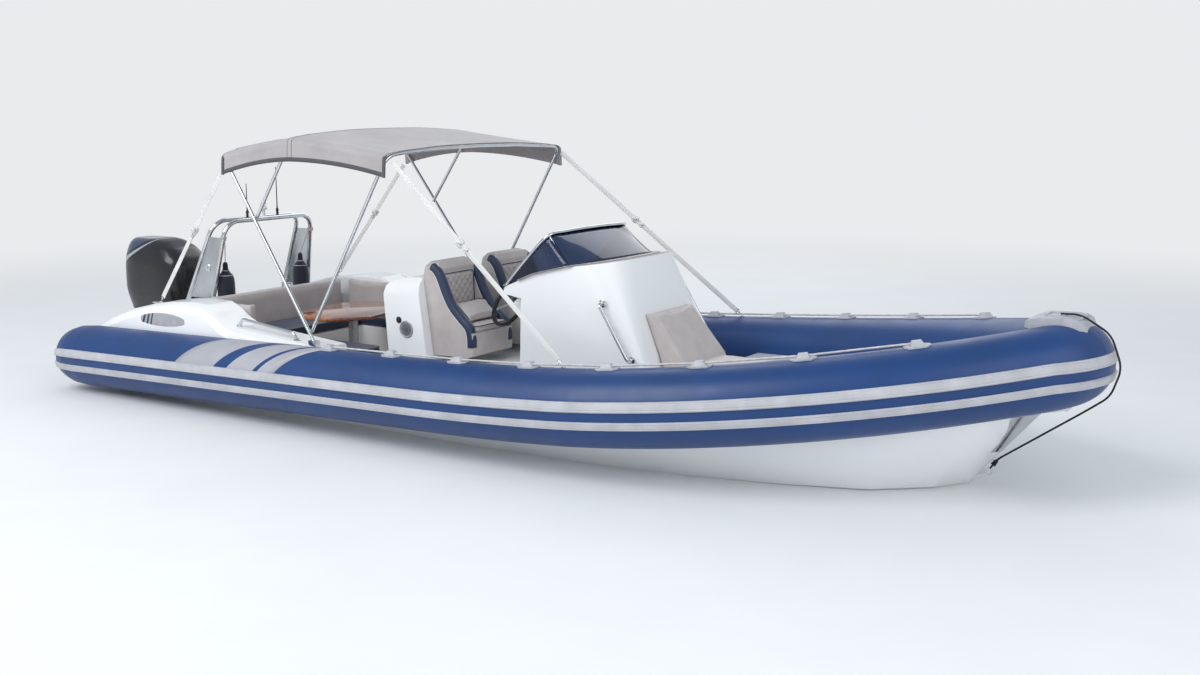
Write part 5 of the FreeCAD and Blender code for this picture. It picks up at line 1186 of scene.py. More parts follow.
@dataclass
class Stage:
    """Floor at the waterline, soft light and the camera at the photograph's place."""

    eye: Point = (5.4763, -7.6447, 2.2386)
    tilt_degrees: float = 79.987
    turn_degrees: float = 33.42
    lens_mm: float = 40.598
    floor_size: float = 120.0
    backdrop: str = "#e9ebed"
    fade_start: float = 4.5
    fade_end: float = 15.0
    # place and power of each square lamp
    lamps: tuple[tuple[str, Point, float], ...] = (
        ("key", (-3.0, -9.0, 9.0), 980.0), ("fill", (9.0, -3.0, 5.0), 240.0),
        ("back", (-4.0, 9.0, 7.0), 260.0))
    lamp_size: float = 8.0

    def build(self) -> None:
        """Makes the floor, lights, world and camera."""
        scene = bpy.context.scene
        scene.view_settings.view_transform = "Standard"
        half = 0.5 * self.floor_size
        corners = [(-half, -half, 0.0), (half, -half, 0.0), (half, half, 0.0), (-half, half, 0.0)]
        floor = piece_from("floor", corners, [(0, 1, 2, 3)], FLOOR)
        self.fade(floor.data.materials[0])
        camera = bpy.data.cameras.new("camera")
        camera.lens = self.lens_mm
        camera.sensor_width = 36.0
        camera.clip_end = 300.0
        eye = bpy.data.objects.new("camera", camera)
        eye.location = self.eye
        eye.rotation_euler = (math.radians(self.tilt_degrees), 0.0, math.radians(self.turn_degrees))
        scene.collection.objects.link(eye)
        scene.camera = eye
        for name, place, watts in self.lamps:
            self.light(name, place, watts)
        world = bpy.data.worlds.new("studio")
        scene.world = world
        world.use_nodes = True
        tree = world.node_tree
        tree.nodes.clear()
        place = add(tree, "ShaderNodeTexCoord").outputs["Generated"]
        height = add(tree, "ShaderNodeSeparateXYZ", inputs={"Vector": place}).outputs["Z"]
        sky = Finish.ramp(tree, height, ((0.0, "#d4d7da"), (0.6, "#b4bcc6")))
        shown = add(tree, "ShaderNodeRGB")
        shown.outputs[0].default_value = linear(self.backdrop)
        light = add(tree, "ShaderNodeLightPath")
        mixed = add(tree, "ShaderNodeMix", {"data_type": "RGBA"},
                    {0: light.outputs["Is Camera Ray"], 6: sky, 7: shown.outputs[0]})
        back = add(tree, "ShaderNodeBackground", inputs={"Color": mixed.outputs[2], "Strength": 1.0})
        add(tree, "ShaderNodeOutputWorld", inputs={"Surface": back.outputs["Background"]})

    def fade(self, material: bpy.types.Material) -> None:
        """Lets the floor run out into the plain backdrop away from the boat.

        Args:
            material: Material of the floor.
        """
        tree = material.node_tree
        shader = next(node for node in tree.nodes if node.type == "BSDF_PRINCIPLED")
        output = next(node for node in tree.nodes if node.type == "OUTPUT_MATERIAL")
        place = add(tree, "ShaderNodeNewGeometry").outputs["Position"]
        away = add(tree, "ShaderNodeVectorMath", {"operation": "LENGTH"}, {0: place})
        share = add(tree, "ShaderNodeMapRange", {"interpolation_type": "SMOOTHERSTEP"}, {
            "Value": away.outputs["Value"], "From Min": self.fade_start, "From Max": self.fade_end})
        glow = add(tree, "ShaderNodeEmission", inputs={"Color": linear(self.backdrop), "Strength": 1.0})
        both = add(tree, "ShaderNodeMixShader", inputs={
            0: share.outputs["Result"], 1: shader.outputs["BSDF"], 2: glow.outputs["Emission"]})
        tree.links.new(both.outputs["Shader"], output.inputs["Surface"])

    def light(self, name: str, place: Point, watts: float) -> None:
        """Square lamp that looks at the boat.

        Args:
            name: Name of the lamp.
            place: Where it hangs.
            watts: Its power.
        """
        lamp = bpy.data.lights.new(name, "AREA")
        lamp.size = self.lamp_size
        lamp.energy = watts
        made = bpy.data.objects.new(name, lamp)
        made.location = place
        made.rotation_euler = (Vector((0.0, 0.0, 0.5)) - Vector(place)).to_track_quat("-Z", "Y").to_euler()
        bpy.context.scene.collection.objects.link(made)


# Buoyancy tube


@dataclass
class Tube:
    """The inflated tube round the boat, its fabric graphics and rubbing strakes."""

    radius: float = 0.235
    half_spread: float = 1.172
    stern_x: float = -3.8
    curve_start_x: float = 0.916
    nose_x: float = 3.581
    nose_radius: float = 0.255
    nose_angle: float = 55.0
    curve_angle: float = 50.0
    # distance from the stern end, share of the radius there
    stern_cone: Pairs = ((0.0, 0.40), (0.025, 0.66), (0.085, 0.85), (0.180, 0.96), (0.320, 1.0))
    around: int = 72
    strake_thickness: float = 0.014
    # angles below the horizontal at which each strake starts and ends
    upper_strake: tuple[float, float] = (-20.2, -4.5)
    lower_strake: tuple[float, float] = (8.7, 20.7)
    stations: list = field(default_factory=list)

    def sheer(self, x: float) -> float:
        """Height of the tube's axis.

        Args:
            x: Place along the boat.

        Returns:
            The height.
        """
        straight = 0.341 + 0.0278 * (x + 0.970)
        share = max(0.0, x + 0.134) / (self.nose_x + 0.134)
        return straight + 0.3188 * share * share

    def plan(self, degrees: float) -> Vector:
        """Plan point on the long curve of the bow.

        Args:
            degrees: Place on the curve, 0 where it starts.

        Returns:
            Its x and y.
        """
        a = math.radians(degrees)
        reach = math.sin(a) ** (2.0 / 1.658) if a > 0.0 else 0.0
        spread = math.cos(a) ** (2.0 / 1.391)
        return Vector((self.curve_start_x + (self.nose_x - self.curve_start_x) * reach,
                       self.half_spread * spread))

    def axis(self) -> list[tuple[Vector, Vector]]:
        """Axis point and outboard direction of each ring, port side from the stern to the nose.

        Returns:
            The point and the direction of each ring.
        """
        flat: list[tuple[Vector, Vector]] = []
        x = self.stern_x
        while x < self.curve_start_x - 0.01:
            flat.append((Vector((x, self.half_spread)), Vector((1.0, 0.0))))
            x += 0.02 if x < self.stern_x + self.stern_cone[-1][0] + 0.01 else 0.1
        flat.append((self.plan(0.0), Vector((1.0, 0.0))))
        near, count = 0.02, 24
        for a in (self.curve_angle * step / count for step in range(1, count + 1)):
            flat.append((self.plan(a), (self.plan(a + near) - self.plan(a - near)).normalized()))
        return [(Vector((p.x, p.y, self.sheer(p.x))), Vector((-d.y, d.x, 0.0)))
                for p, d in flat + self.nose(*flat[-1])]

    def nose(self, start: Vector, leaving: Vector) -> list[tuple[Vector, Vector]]:
        """Plan points of the blend into the round nose, and the nose.

        Args:
            start: Plan point where the bow's curve ends.
            leaving: Its direction there.

        Returns:
            Plan point and direction of each ring.
        """
        a = math.radians(self.nose_angle)
        end = Vector((self.nose_x - self.nose_radius * (1.0 - math.cos(a)), self.nose_radius * math.sin(a)))
        arrival = Vector((math.sin(a), -math.cos(a)))
        reach = (end - start).length
        rings = []
        for t in (step / 12.0 for step in range(1, 12)):
            h00, h10 = 2 * t ** 3 - 3 * t * t + 1, t ** 3 - 2 * t * t + t
            h01, h11 = -2 * t ** 3 + 3 * t * t, t ** 3 - t * t
            g00, g10 = 6 * t * t - 6 * t, 3 * t * t - 4 * t + 1
            g01, g11 = -6 * t * t + 6 * t, 3 * t * t - 2 * t
            place = start * h00 + leaving * (reach * h10) + end * h01 + arrival * (reach * h11)
            way = start * g00 + leaving * (reach * g10) + end * g01 + arrival * (reach * g11)
            rings.append((place, way.normalized()))
        for step in range(12):
            a = math.radians(self.nose_angle * (1.0 - step / 11.0))
            rings.append((Vector((self.nose_x - self.nose_radius * (1.0 - math.cos(a)),
                                  self.nose_radius * math.sin(a))), Vector((math.sin(a), -math.cos(a)))))
        return rings

    def whole_axis(self) -> list[tuple[Vector, Vector]]:
        """Axis from the port stern round the nose to the starboard stern."""
        port = self.axis()
        return port + [(Vector((p.x, -p.y, p.z)), Vector((o.x, -o.y, 0.0))) for p, o in reversed(port[:-1])]

    def upward(self, index: int) -> Vector:
        """Direction across the tube that points up at a ring.

        Args:
            index: Number of the ring.

        Returns:
            The direction.
        """
        point, out = self.stations[index]
        ahead = self.stations[min(index + 1, len(self.stations) - 1)][0]
        behind = self.stations[max(index - 1, 0)][0]
        up = out.cross((ahead - behind).normalized())
        return (up if up.z > 0.0 else -up).normalized()

    def ring_radius(self, x: float, lift: float = 0.0) -> float:
        """Radius of the tube abreast of a place, less at the rounded stern."""
        return self.radius * height_on(self.stern_cone, x - self.stern_x) + lift

    def at(self, index: int, below_degrees: float, lift: float = 0.0) -> Vector:
        """Point on the tube: 0 degrees is outboard, 90 below.

        Args:
            index: Number of the ring.
            below_degrees: Angle round the tube.
            lift: Height over its fabric.

        Returns:
            The point.
        """
        point, out = self.stations[index]
        a = math.radians(below_degrees)
        r = self.ring_radius(point.x, lift)
        return point + out * (r * math.cos(a)) - self.upward(index) * (r * math.sin(a))

    def build(self, frame: dict) -> None:
        """Makes the tube, strakes and graphics.
        """
        self.stations = self.whole_axis()
        vertices = [tuple(self.at(index, 360.0 * step / self.around))
                    for index in range(len(self.stations)) for step in range(self.around)]
        tube = piece_from("buoyancy_tube", vertices, capped(len(self.stations), self.around), TUBE_NAVY)
        stand_for(frame, tube, ["tube_bow", "tube_aft_port", "tube_aft_starboard", "tube_mid_port",
                                "tube_mid_starboard"])
        for name, (upper, lower), node in (("strake_upper_skin", self.upper_strake, "strake_upper"),
                                           ("strake_lower_skin", self.lower_strake, "strake_lower")):
            stand_for(frame, self.strake(name, upper, lower), [node])
        self.panels()

    def strake(self, name: str, upper: float, lower: float) -> Piece:
        """Extruded strake with rounded shoulders and two shallow grooves.

        Args:
            name: Name of the piece.
            upper: Angle below the horizontal at its upper edge.
            lower: The same at its lower edge.

        Returns:
            The strake.
        """
        profile = []
        for t in (step / 18 for step in range(19)):
            edge = min(t, 1.0 - t)
            height = self.strake_thickness * min(1.0, math.sqrt(max(0.0, edge) / 0.10))
            groove = 0.0025 if abs(edge - 0.22) < 0.03 else 0.0
            profile.append((upper + (lower - upper) * t, max(0.001, height - groove)))
        vertices = []
        used = range(1, len(self.stations) - 1)
        for index in used:
            vertices += [tuple(self.at(index, angle, height)) for angle, height in profile]
            vertices += [tuple(self.at(index, angle, -0.002)) for angle in (lower, upper)]
        return piece_from(name, vertices, capped(len(used), len(profile) + 2), STRAKE_RUBBER, 50.0)

    @staticmethod
    def swoosh(start: float, above: float) -> float:
        """Place along the boat of a slanting edge, which starts at the strake and leans forward going up."""
        d = above - 20.0
        return start + 0.00352 * d + 1.92e-5 * d * d

    def panels(self) -> None:
        """Grey panel on the tube's aft shoulder with two navy slashes, both sides."""
        # start and end at the strake, lift off the tube, finish
        bands = ((-2.292, -1.288, 0.0009, TUBE_GREY), (-1.887, -1.755, 0.0018, TUBE_NAVY),
                 (-1.496, -1.451, 0.0018, TUBE_NAVY))
        for side in Side:
            parts = [self.band(side.value, *row) for row in bands]
            ride(joined("tube_panel_" + side.name.lower(), parts))

    def band(self, side: float, start: float, end: float, lift: float, finish: Finish) -> Piece:
        """Fabric patch between two slanting edges, glued on the tube.

        Args:
            side: Sign of y.
            start: Place of its aft edge at the strake.
            end: Place of its forward edge there.
            lift: Height over the tube.
            finish: Its fabric.

        Returns:
            The patch.
        """
        vertices = []
        rows, columns = 40, 13
        for row in range(rows):
            above = 18.0 + 110.0 * row / (rows - 1)
            a, radius = math.radians(above), self.radius + lift
            x0, x1 = self.swoosh(start, above), self.swoosh(end, above)
            for x in (x0 + (x1 - x0) * column / (columns - 1) for column in range(columns)):
                vertices.append((x, side * (self.half_spread + radius * math.cos(a)),
                                 self.sheer(x) + radius * math.sin(a)))
        patch = piece_from("patch", vertices, grid_faces(rows, columns, flip=side > 0.0), finish)
        return thickened(patch, 0.0008, 1.0)


# Sun top


@dataclass
class SunTop:
    """Canvas canopy over three stainless bows, held by four webbing stays."""

    bow_radius: float = 0.0125
    bow_bend: float = 0.12
    foot: Point = (-1.25, 1.035, 0.567)
    # share up the aft bow's leg, shoulder x, y, z, crown z, hem z
    bows: Rows = ((0.0, -2.165, 0.965, 1.835, 1.932, 1.700), (0.66, -1.475, 0.972, 1.962, 2.010, 1.812),
                  (0.06, -0.592, 0.980, 1.868, 1.910, 1.728))
    names: tuple[str, ...] = ("bimini_bow_aft", "bimini_bow_mid", "bimini_bow_fwd")
    crown_line: Pairs = ((0.82, 0.42), (0.46, 0.86), (0.0, 1.0))
    lift: float = 0.0131
    hem_flare: float = 0.07
    shoulder_drop: float = 0.055
    cloth: float = 0.0016
    overhang: float = 0.007
    hem_width: float = 0.030
    hem_lift: float = 0.0022
    seam_width: float = 0.003
    seam_lift: float = 0.0024
    seam_offset: float = 0.02
    tape_thickness: float = 0.0012
    strap_width: float = 0.038
    strap_thickness: float = 0.003

    def build(self, frame: dict) -> None:
        """Makes the bows, the canopy with its hems, and the stays.
        """
        for name, row in zip(self.names, self.bows):
            route = filleted(self.bow_route(row), self.bow_bend)
            bow = pipe(name + "_tube", route, self.bow_radius, STAINLESS)
            stand_for(frame, bow, [name])
        self.canopy(frame)
        self.stays(frame)

    def bow_route(self, row: tuple[float, ...]) -> list[Point]:
        """Corners of a bow from the port foot over the top to the starboard foot.

        Args:
            row: Row of the bow.

        Returns:
            The corners.
        """
        share, x, y, shoulder, crown, _ = row
        foot, top = Vector(self.foot), Vector((self.bows[0][1], self.bows[0][2], self.bows[0][3]))
        start = foot + (top - foot) * share
        if share > 0.0:
            start.y -= 2.0 * self.bow_radius + 0.0006
        half = [tuple(start), (x, y, shoulder)]
        half += [(x, a * y, shoulder + b * (crown - shoulder)) for a, b in self.crown_line]
        return half + [(a, -b, c) for a, b, c in reversed(half[:-1])]

    def between(self, x: float) -> tuple[float, float, float, float, float]:
        """Shape of the canopy at a place.

        Args:
            x: Place along the boat.

        Returns:
            Half width, heights of shoulder, crown and hem, and 0 at a bow to 1 midway between two.
        """
        half, shoulder, crown, hem = (height_on(tuple((row[1], row[column]) for row in self.bows), x)
                                      for column in (2, 3, 4, 5))
        slack = 0.0
        for low, high in zip(self.bows, self.bows[1:]):
            if low[1] <= x <= high[1]:
                t = (x - low[1]) / (high[1] - low[1])
                slack = 4.0 * t * (1.0 - t)
        return half, shoulder, crown, hem, slack

    def ring(self, x: float) -> list[Vector]:
        """Cross-section of the canopy from the port hem to the starboard hem.

        Args:
            x: Place along the boat.

        Returns:
            Its points.
        """
        half, shoulder, crown, hem, slack = self.between(x)
        hem += 0.022 * slack
        rise = crown - shoulder
        line: list[Point] = []
        for drop in (shoulder - hem, 0.5 * (shoulder - hem + self.shoulder_drop), self.shoulder_drop):
            line.append((x, half + self.lift + self.hem_flare * drop - 0.006 * slack, shoulder - drop))
        line.append((x, half + 0.55 * self.lift, shoulder - 0.004))
        stops = ((0.955, 0.1), (0.88, 0.27)) + self.crown_line[:2] + ((0.23, 0.97), (0.0, 1.0))
        line += [(x, a * half, shoulder + b * rise + self.lift + 0.0005 - 0.012 * slack * (1.0 - a ** 4))
                 for a, b in stops]
        port = smooth_line(line, 7)
        return port + [Vector((p.x, -p.y, p.z)) for p in reversed(port[:-1])]

    def canopy(self, frame: dict) -> None:
        """One sheet of canvas pulled tight over the bows, with bound hems and flat-felled seams.
        """
        aft, fore, count = self.bows[0][1], self.bows[-1][1], 46
        length = fore - aft + 2.0 * self.overhang
        xs = [aft - self.overhang + length * step / count for step in range(count + 1)]
        rings = [self.ring(max(aft, min(fore, x))) for x in xs]
        for x, row in zip(xs, rings):
            for point in row:
                point.x = x
        columns = len(rings[0])
        vertices = [tuple(point) for row in rings for point in row]
        sheet = piece_from("canopy_canvas", vertices, grid_faces(len(rings), columns), CANVAS, 80.0)
        thickened(sheet, self.cloth, 1.0)
        trims = [self.tape(row, way * self.hem_width, self.hem_lift)
                 for row, way in ((rings[0], 1.0), (rings[-1], -1.0))]
        trims += [self.edge_tape([row[edge] for row in rings], [row[inner] for row in rings])
                  for edge, inner in ((0, 1), (columns - 1, columns - 2))]
        trims += [self.tape(self.ring(self.bows[1][1] + offset), self.seam_width, self.seam_lift)
                  for offset in (-self.seam_offset, self.seam_offset)]
        binding = joined("canopy_binding", trims)
        stand_for(frame, sheet, ["bimini_canopy"])
        ride(binding)

    def strip(self, near: list[Vector], far: list[Vector], flip: bool = False) -> Piece:
        """Binding tape between two lines.

        Args:
            near: Points of one edge.
            far: Points of the other edge.
            flip: Turns its faces over.

        Returns:
            The tape.
        """
        faces = grid_faces(2, len(near), flip=flip)
        tape = piece_from("tape", [tuple(point) for point in near + far], faces, CANVAS_DARK, 80.0)
        return thickened(tape, self.tape_thickness, 0.0)

    def tape(self, row: list[Vector], width: float, lift: float) -> Piece:
        """Tape along a cross-section of the canopy.

        Args:
            row: Points of the cross-section.
            width: Width of the tape, negative aft of the section.
            lift: Height over the canvas.

        Returns:
            The tape.
        """
        middle = Vector((row[0].x, 0.0, 1.4))
        near = [point + (point - middle).normalized() * lift for point in row]
        return self.strip(near, [point + Vector((width, 0.0, 0.0)) for point in near], width < 0.0)

    def edge_tape(self, edge: list[Vector], inner: list[Vector]) -> Piece:
        """Tape along a side hem.

        Args:
            edge: Points of the hem.
            inner: Points further in on the canvas.

        Returns:
            The tape.
        """
        out = Vector((0.0, math.copysign(self.hem_lift, edge[0].y), 0.0))
        far = [low + (high - low).normalized() * self.hem_width + out for low, high in zip(edge, inner)]
        return self.strip([low + out for low in edge], far)

    def stays(self, frame: dict) -> None:
        """Webbing stays with a slip knot and a doubled tail at a third of their length.
        """
        parts = []
        for first, second in bar_ends(frame, "bimini_stays"):
            top, low = (first, second) if first.z > second.z else (second, first)
            run = (low - top).normalized()
            parts.append(self.webbing(divided(top, low - run * 0.045, 0.03), self.strap_width, 0.0))
            parts += [self.knot(top.lerp(low, share), run, size)
                      for share, size in ((0.42, 1.0), (0.455, 0.75))]
            tail = [top.lerp(low, share) + Vector((0.0, 0.0, -0.012)) for share in (0.455, 0.52, 0.60)]
            parts.append(self.webbing(tail, 0.6 * self.strap_width, 0.35))
            hook = low - run * 0.05
            parts.append(pipe("hook", [hook, low - run * 0.006], 0.004, STAINLESS, 12))
            parts.append(self.buckle(hook, run))
        stand_for(frame, joined("sun_top_webbing", parts), ["bimini_stays"])

    def webbing(self, line: list[Vector], width: float, turn: float) -> Piece:
        """Flat webbing with bound edges.

        Args:
            line: Points of its middle.
            width: Its width.
            turn: Turn round its run, in radians.

        Returns:
            The webbing.
        """
        half, thick = 0.5 * width, 0.5 * self.strap_thickness
        inner = half - 0.003
        outline = [(thick, -inner), (thick, inner), (0.5 * thick, half), (-0.5 * thick, half),
                   (-thick, inner), (-thick, -inner), (-0.5 * thick, -half), (0.5 * thick, -half)]
        turned = [(a * math.cos(turn) - b * math.sin(turn), a * math.sin(turn) + b * math.cos(turn))
                  for a, b in outline]
        return swept("webbing", line, turned, WEBBING)

    @staticmethod
    def knot(centre: Vector, run: Vector, size: float) -> Piece:
        """Bunched half hitch in the webbing."""
        return pipe("knot", looped(centre, run, 0.017 * size, 0.014 * size), 0.012 * size, WEBBING, 12)

    @staticmethod
    def buckle(centre: Vector, run: Vector) -> Piece:
        """Wire triangle that the webbing is sewn round.

        Args:
            centre: Middle of its base.
            run: Direction of the stay.

        Returns:
            The triangle.
        """
        wide = run.cross(Vector((0.0, 1.0, 0.0))).normalized() * 0.021
        corners = [centre + wide, centre - wide, centre + run * 0.034, centre + wide]
        return pipe("buckle", filleted([tuple(c) for c in corners], 0.006), 0.003, STAINLESS, 10)


# Arch


@dataclass
class Arch:
    """Polished double-tube arch with brushed infill, lamp, aerials and hung fenders."""

    tube_radius: float = 0.018
    bend: float = 0.13
    deck_z: float = 0.600
    top_z: float = 1.290
    # foot x, foot half spread, shoulder x, shoulder half spread
    hoops: Rows = ((-3.2, 0.52, -2.9, 0.455), (-2.9, 0.52, -2.76, 0.455))
    plate_shares: tuple[float, float] = (0.12, 0.82)
    fender_x: float = -2.85
    fender_radius: float = 0.070
    # share of the radius, height
    fender_rows: Pairs = (
        (0.50, 0.0), (0.78, 0.006), (0.93, 0.022), (1.0, 0.06), (1.0, 0.14), (0.985, 0.2), (0.93, 0.238),
        (0.78, 0.262), (0.55, 0.282), (0.38, 0.298), (0.31, 0.315), (0.29, 0.345), (0.24, 0.36),
        (0.12, 0.366))
    # radius and height of the rings of the turned pieces
    lamp_base: Pairs = ((0.040, 0.0), (0.040, 0.006), (0.036, 0.009), (0.016, 0.012), (0.014, 0.02),
                        (0.014, 0.06), (0.031, 0.065), (0.032, 0.078), (0.028, 0.083), (0.022, 0.084))
    lamp_lens: Pairs = ((0.0205, 0.084), (0.0215, 0.09), (0.0215, 0.108), (0.0205, 0.1125))
    lamp_cap: Pairs = ((0.024, 0.1125), (0.0275, 0.115), (0.027, 0.119), (0.018, 0.1235), (0.006, 0.124))
    foot_flange: Pairs = ((0.044, 0.0), (0.046, 0.002), (0.045, 0.005), (0.042, 0.0066), (0.026, 0.007),
                          (0.022, 0.010), (0.0195, 0.016))
    plate_fitting: Pairs = ((0.030, 0.0), (0.030, 0.006), (0.026, 0.010), (0.012, 0.011), (0.010, 0.020),
                            (0.004, 0.021))
    whip_foot: Pairs = ((0.013, 0.0), (0.013, 0.004), (0.0105, 0.008), (0.010, 0.045), (0.012, 0.048),
                        (0.012, 0.058), (0.0065, 0.066), (0.0045, 0.09))
    # y and length of each aerial
    whips: Pairs = ((0.150, 0.400), (-0.170, 0.280))
    foot_socket: float = 0.004
    bolt_circle: float = 0.034
    plate_thickness: float = 0.004
    top_half: float = 0.3
    # share up the leg where a lanyard is hitched, radius and pitch of its turns
    hitch_share: float = 0.80
    cord_radius: float = 0.0038
    hitch_pitch: float = 0.0085

    def leg(self, hoop: tuple[float, ...], side: float, share: float) -> Vector:
        """Point on a leg.

        Args:
            hoop: Row of the hoop.
            side: Sign of y.
            share: Share of its rise.

        Returns:
            The point on its centre line.
        """
        x0, y0, x1, y1 = hoop
        return Vector((x0 + share * (x1 - x0), side * (y0 + share * (y1 - y0)),
                       self.deck_z + share * (self.top_z - self.deck_z)))

    def build(self, frame: dict) -> None:
        """Makes the arch and what it carries.
        """
        stand_for(frame, joined("arch_stainless", self.tubes() + self.plates()), ["arch"])
        ride(studded("arch_bolts", self.bolts(), 0.0045, 0.0026, STAINLESS))
        base = Vector((0.5 * (self.hoops[0][2] + self.hoops[1][2]), 0.0, self.top_z + 0.0023))
        lamp = [lathe(name, rows, base, UP, finish, 40) for name, rows, finish in (
            ("base", self.lamp_base, WHITE_PLASTIC), ("lens", self.lamp_lens, LENS),
            ("cap", self.lamp_cap, WHITE_PLASTIC))]
        stand_for(frame, joined("arch_lamp", lamp), ["arch_light"])
        whips = []
        for y, height in self.whips:
            rows = self.whip_foot + ((0.003, height - 0.01), (0.0032, height - 0.002), (0.001, height))
            whips.append(lathe("whip", rows, base + Vector((0.0, y, 0.0)), UP, BLACK_PLASTIC, 16))
        stand_for(frame, joined("aerial_whips", whips), ["aerials"])
        self.fenders(frame)

    def feet(self) -> list[Vector]:
        """Places of the four foot flanges on the deck."""
        places = [self.leg(hoop, side, 0.0) for hoop in self.hoops for side in SIGNS]
        return [Vector((place.x, place.y, self.deck_z + 0.0004)) for place in places]

    def bolts(self) -> list[tuple[Vector, Vector]]:
        """Place and direction of the bolt heads, four to a flange.

        Returns:
            The places and directions.
        """
        corners = [math.radians(45.0 + 90.0 * turn) for turn in range(4)]
        return [(place + Vector((self.bolt_circle * math.cos(a), self.bolt_circle * math.sin(a), 0.0068)), UP)
                for place in self.feet() for a in corners]

    def tubes(self) -> list[Piece]:
        """Both hoops, a little short of their decks, with their foot flanges.

        Returns:
            The pieces.
        """
        parts = []
        for hoop in self.hoops:
            route = [tuple(self.leg(hoop, side, share))
                     for side, share in ((1, 0.0), (1, 1.0), (-1, 1.0), (-1, 0.0))]
            line = filleted(route, self.bend, 5.0)
            line[0] += (line[1] - line[0]).normalized() * self.foot_socket
            line[-1] += (line[-2] - line[-1]).normalized() * self.foot_socket
            parts.append(pipe("hoop", line, self.tube_radius, STAINLESS, 24))
        return parts + [lathe("flange", self.foot_flange, place, UP, STAINLESS, 36) for place in self.feet()]

    def plates(self) -> list[Piece]:
        """Brushed plates between the hoops, those at the sides with a fitting.

        Returns:
            The pieces.
        """
        aft, fore = self.hoops
        low, high = self.plate_shares
        parts = []
        for side in SIGNS:
            outline = [self.leg(*row) for row in ((aft, side, low), (fore, side, low), (fore, side, high),
                                                  (aft, side, high))]
            parts.append(plate("infill", outline, self.plate_thickness, BRUSHED, 0.001))
            out = Vector((0.0, side, 0.0))
            parts.append(lathe("fitting", self.plate_fitting, sum(outline, Vector()) / 4.0 + out * 0.002, out,
                               STAINLESS, 32))
        half = self.top_half
        top = [Vector((x, y, self.top_z))
               for x, y in ((aft[2], -half), (fore[2], -half), (fore[2], half), (aft[2], half))]
        return parts + [plate("top_plate", top, self.plate_thickness, BRUSHED, 0.001)]

    def fenders(self, frame: dict) -> None:
        """Knitted covers laced over the fenders, each with its lanyard to the arch.
        """
        covers, lanyards = [], []
        hoop = self.hoops[1]
        y = self.leg(hoop, 1.0, 0.44).y - self.tube_radius - self.fender_radius - 0.0003
        rows = [(share * (self.fender_radius - 0.0006), height) for share, height in self.fender_rows]
        shares = tuple((height, share) for share, height in self.fender_rows)
        for side in SIGNS:
            low = Vector((self.fender_x, side * y, self.deck_z + 0.0004))
            covers.append(lathe("cover", rows, low, UP, COVER_NAVY, 40))
            for height in (0.262, 0.300):
                reach = 0.0022 + self.fender_radius * height_on(shares, height)
                ring = [low + Vector((reach * math.cos(a), reach * math.sin(a), height))
                        for a in angles(40, True)]
                covers.append(pipe("lacing", ring, 0.0028, ROPE_WHITE, 8))
            top, middle = low + UP * 0.362, self.leg(hoop, side, self.hitch_share)
            hung = middle - Vector((0.0, side * (self.tube_radius + 0.002), 0.0))
            line = smooth_line([tuple(top), tuple(top.lerp(hung, 0.5)), tuple(hung)], 20)
            lanyards.append(pipe("lanyard", line, self.cord_radius, ROPE_WHITE, 12, 3, 0.02))
            rise = (self.leg(hoop, side, 1.0) - self.leg(hoop, side, 0.0)).normalized()
            first = rise.orthogonal().normalized()
            turns = [middle + (first * math.cos(3.0 * a) + rise.cross(first) * math.sin(3.0 * a))
                     * (self.tube_radius + 0.004) + rise * (self.hitch_pitch * 3.0 * a / (2.0 * math.pi))
                     for a in angles(72, True)]
            lanyards.append(pipe("hitch", turns, self.cord_radius, ROPE_WHITE, 8))
        stand_for(frame, joined("fender_covers", covers), ["fenders"])
        ride(joined("fender_lanyards", lanyards))


# Helm seats


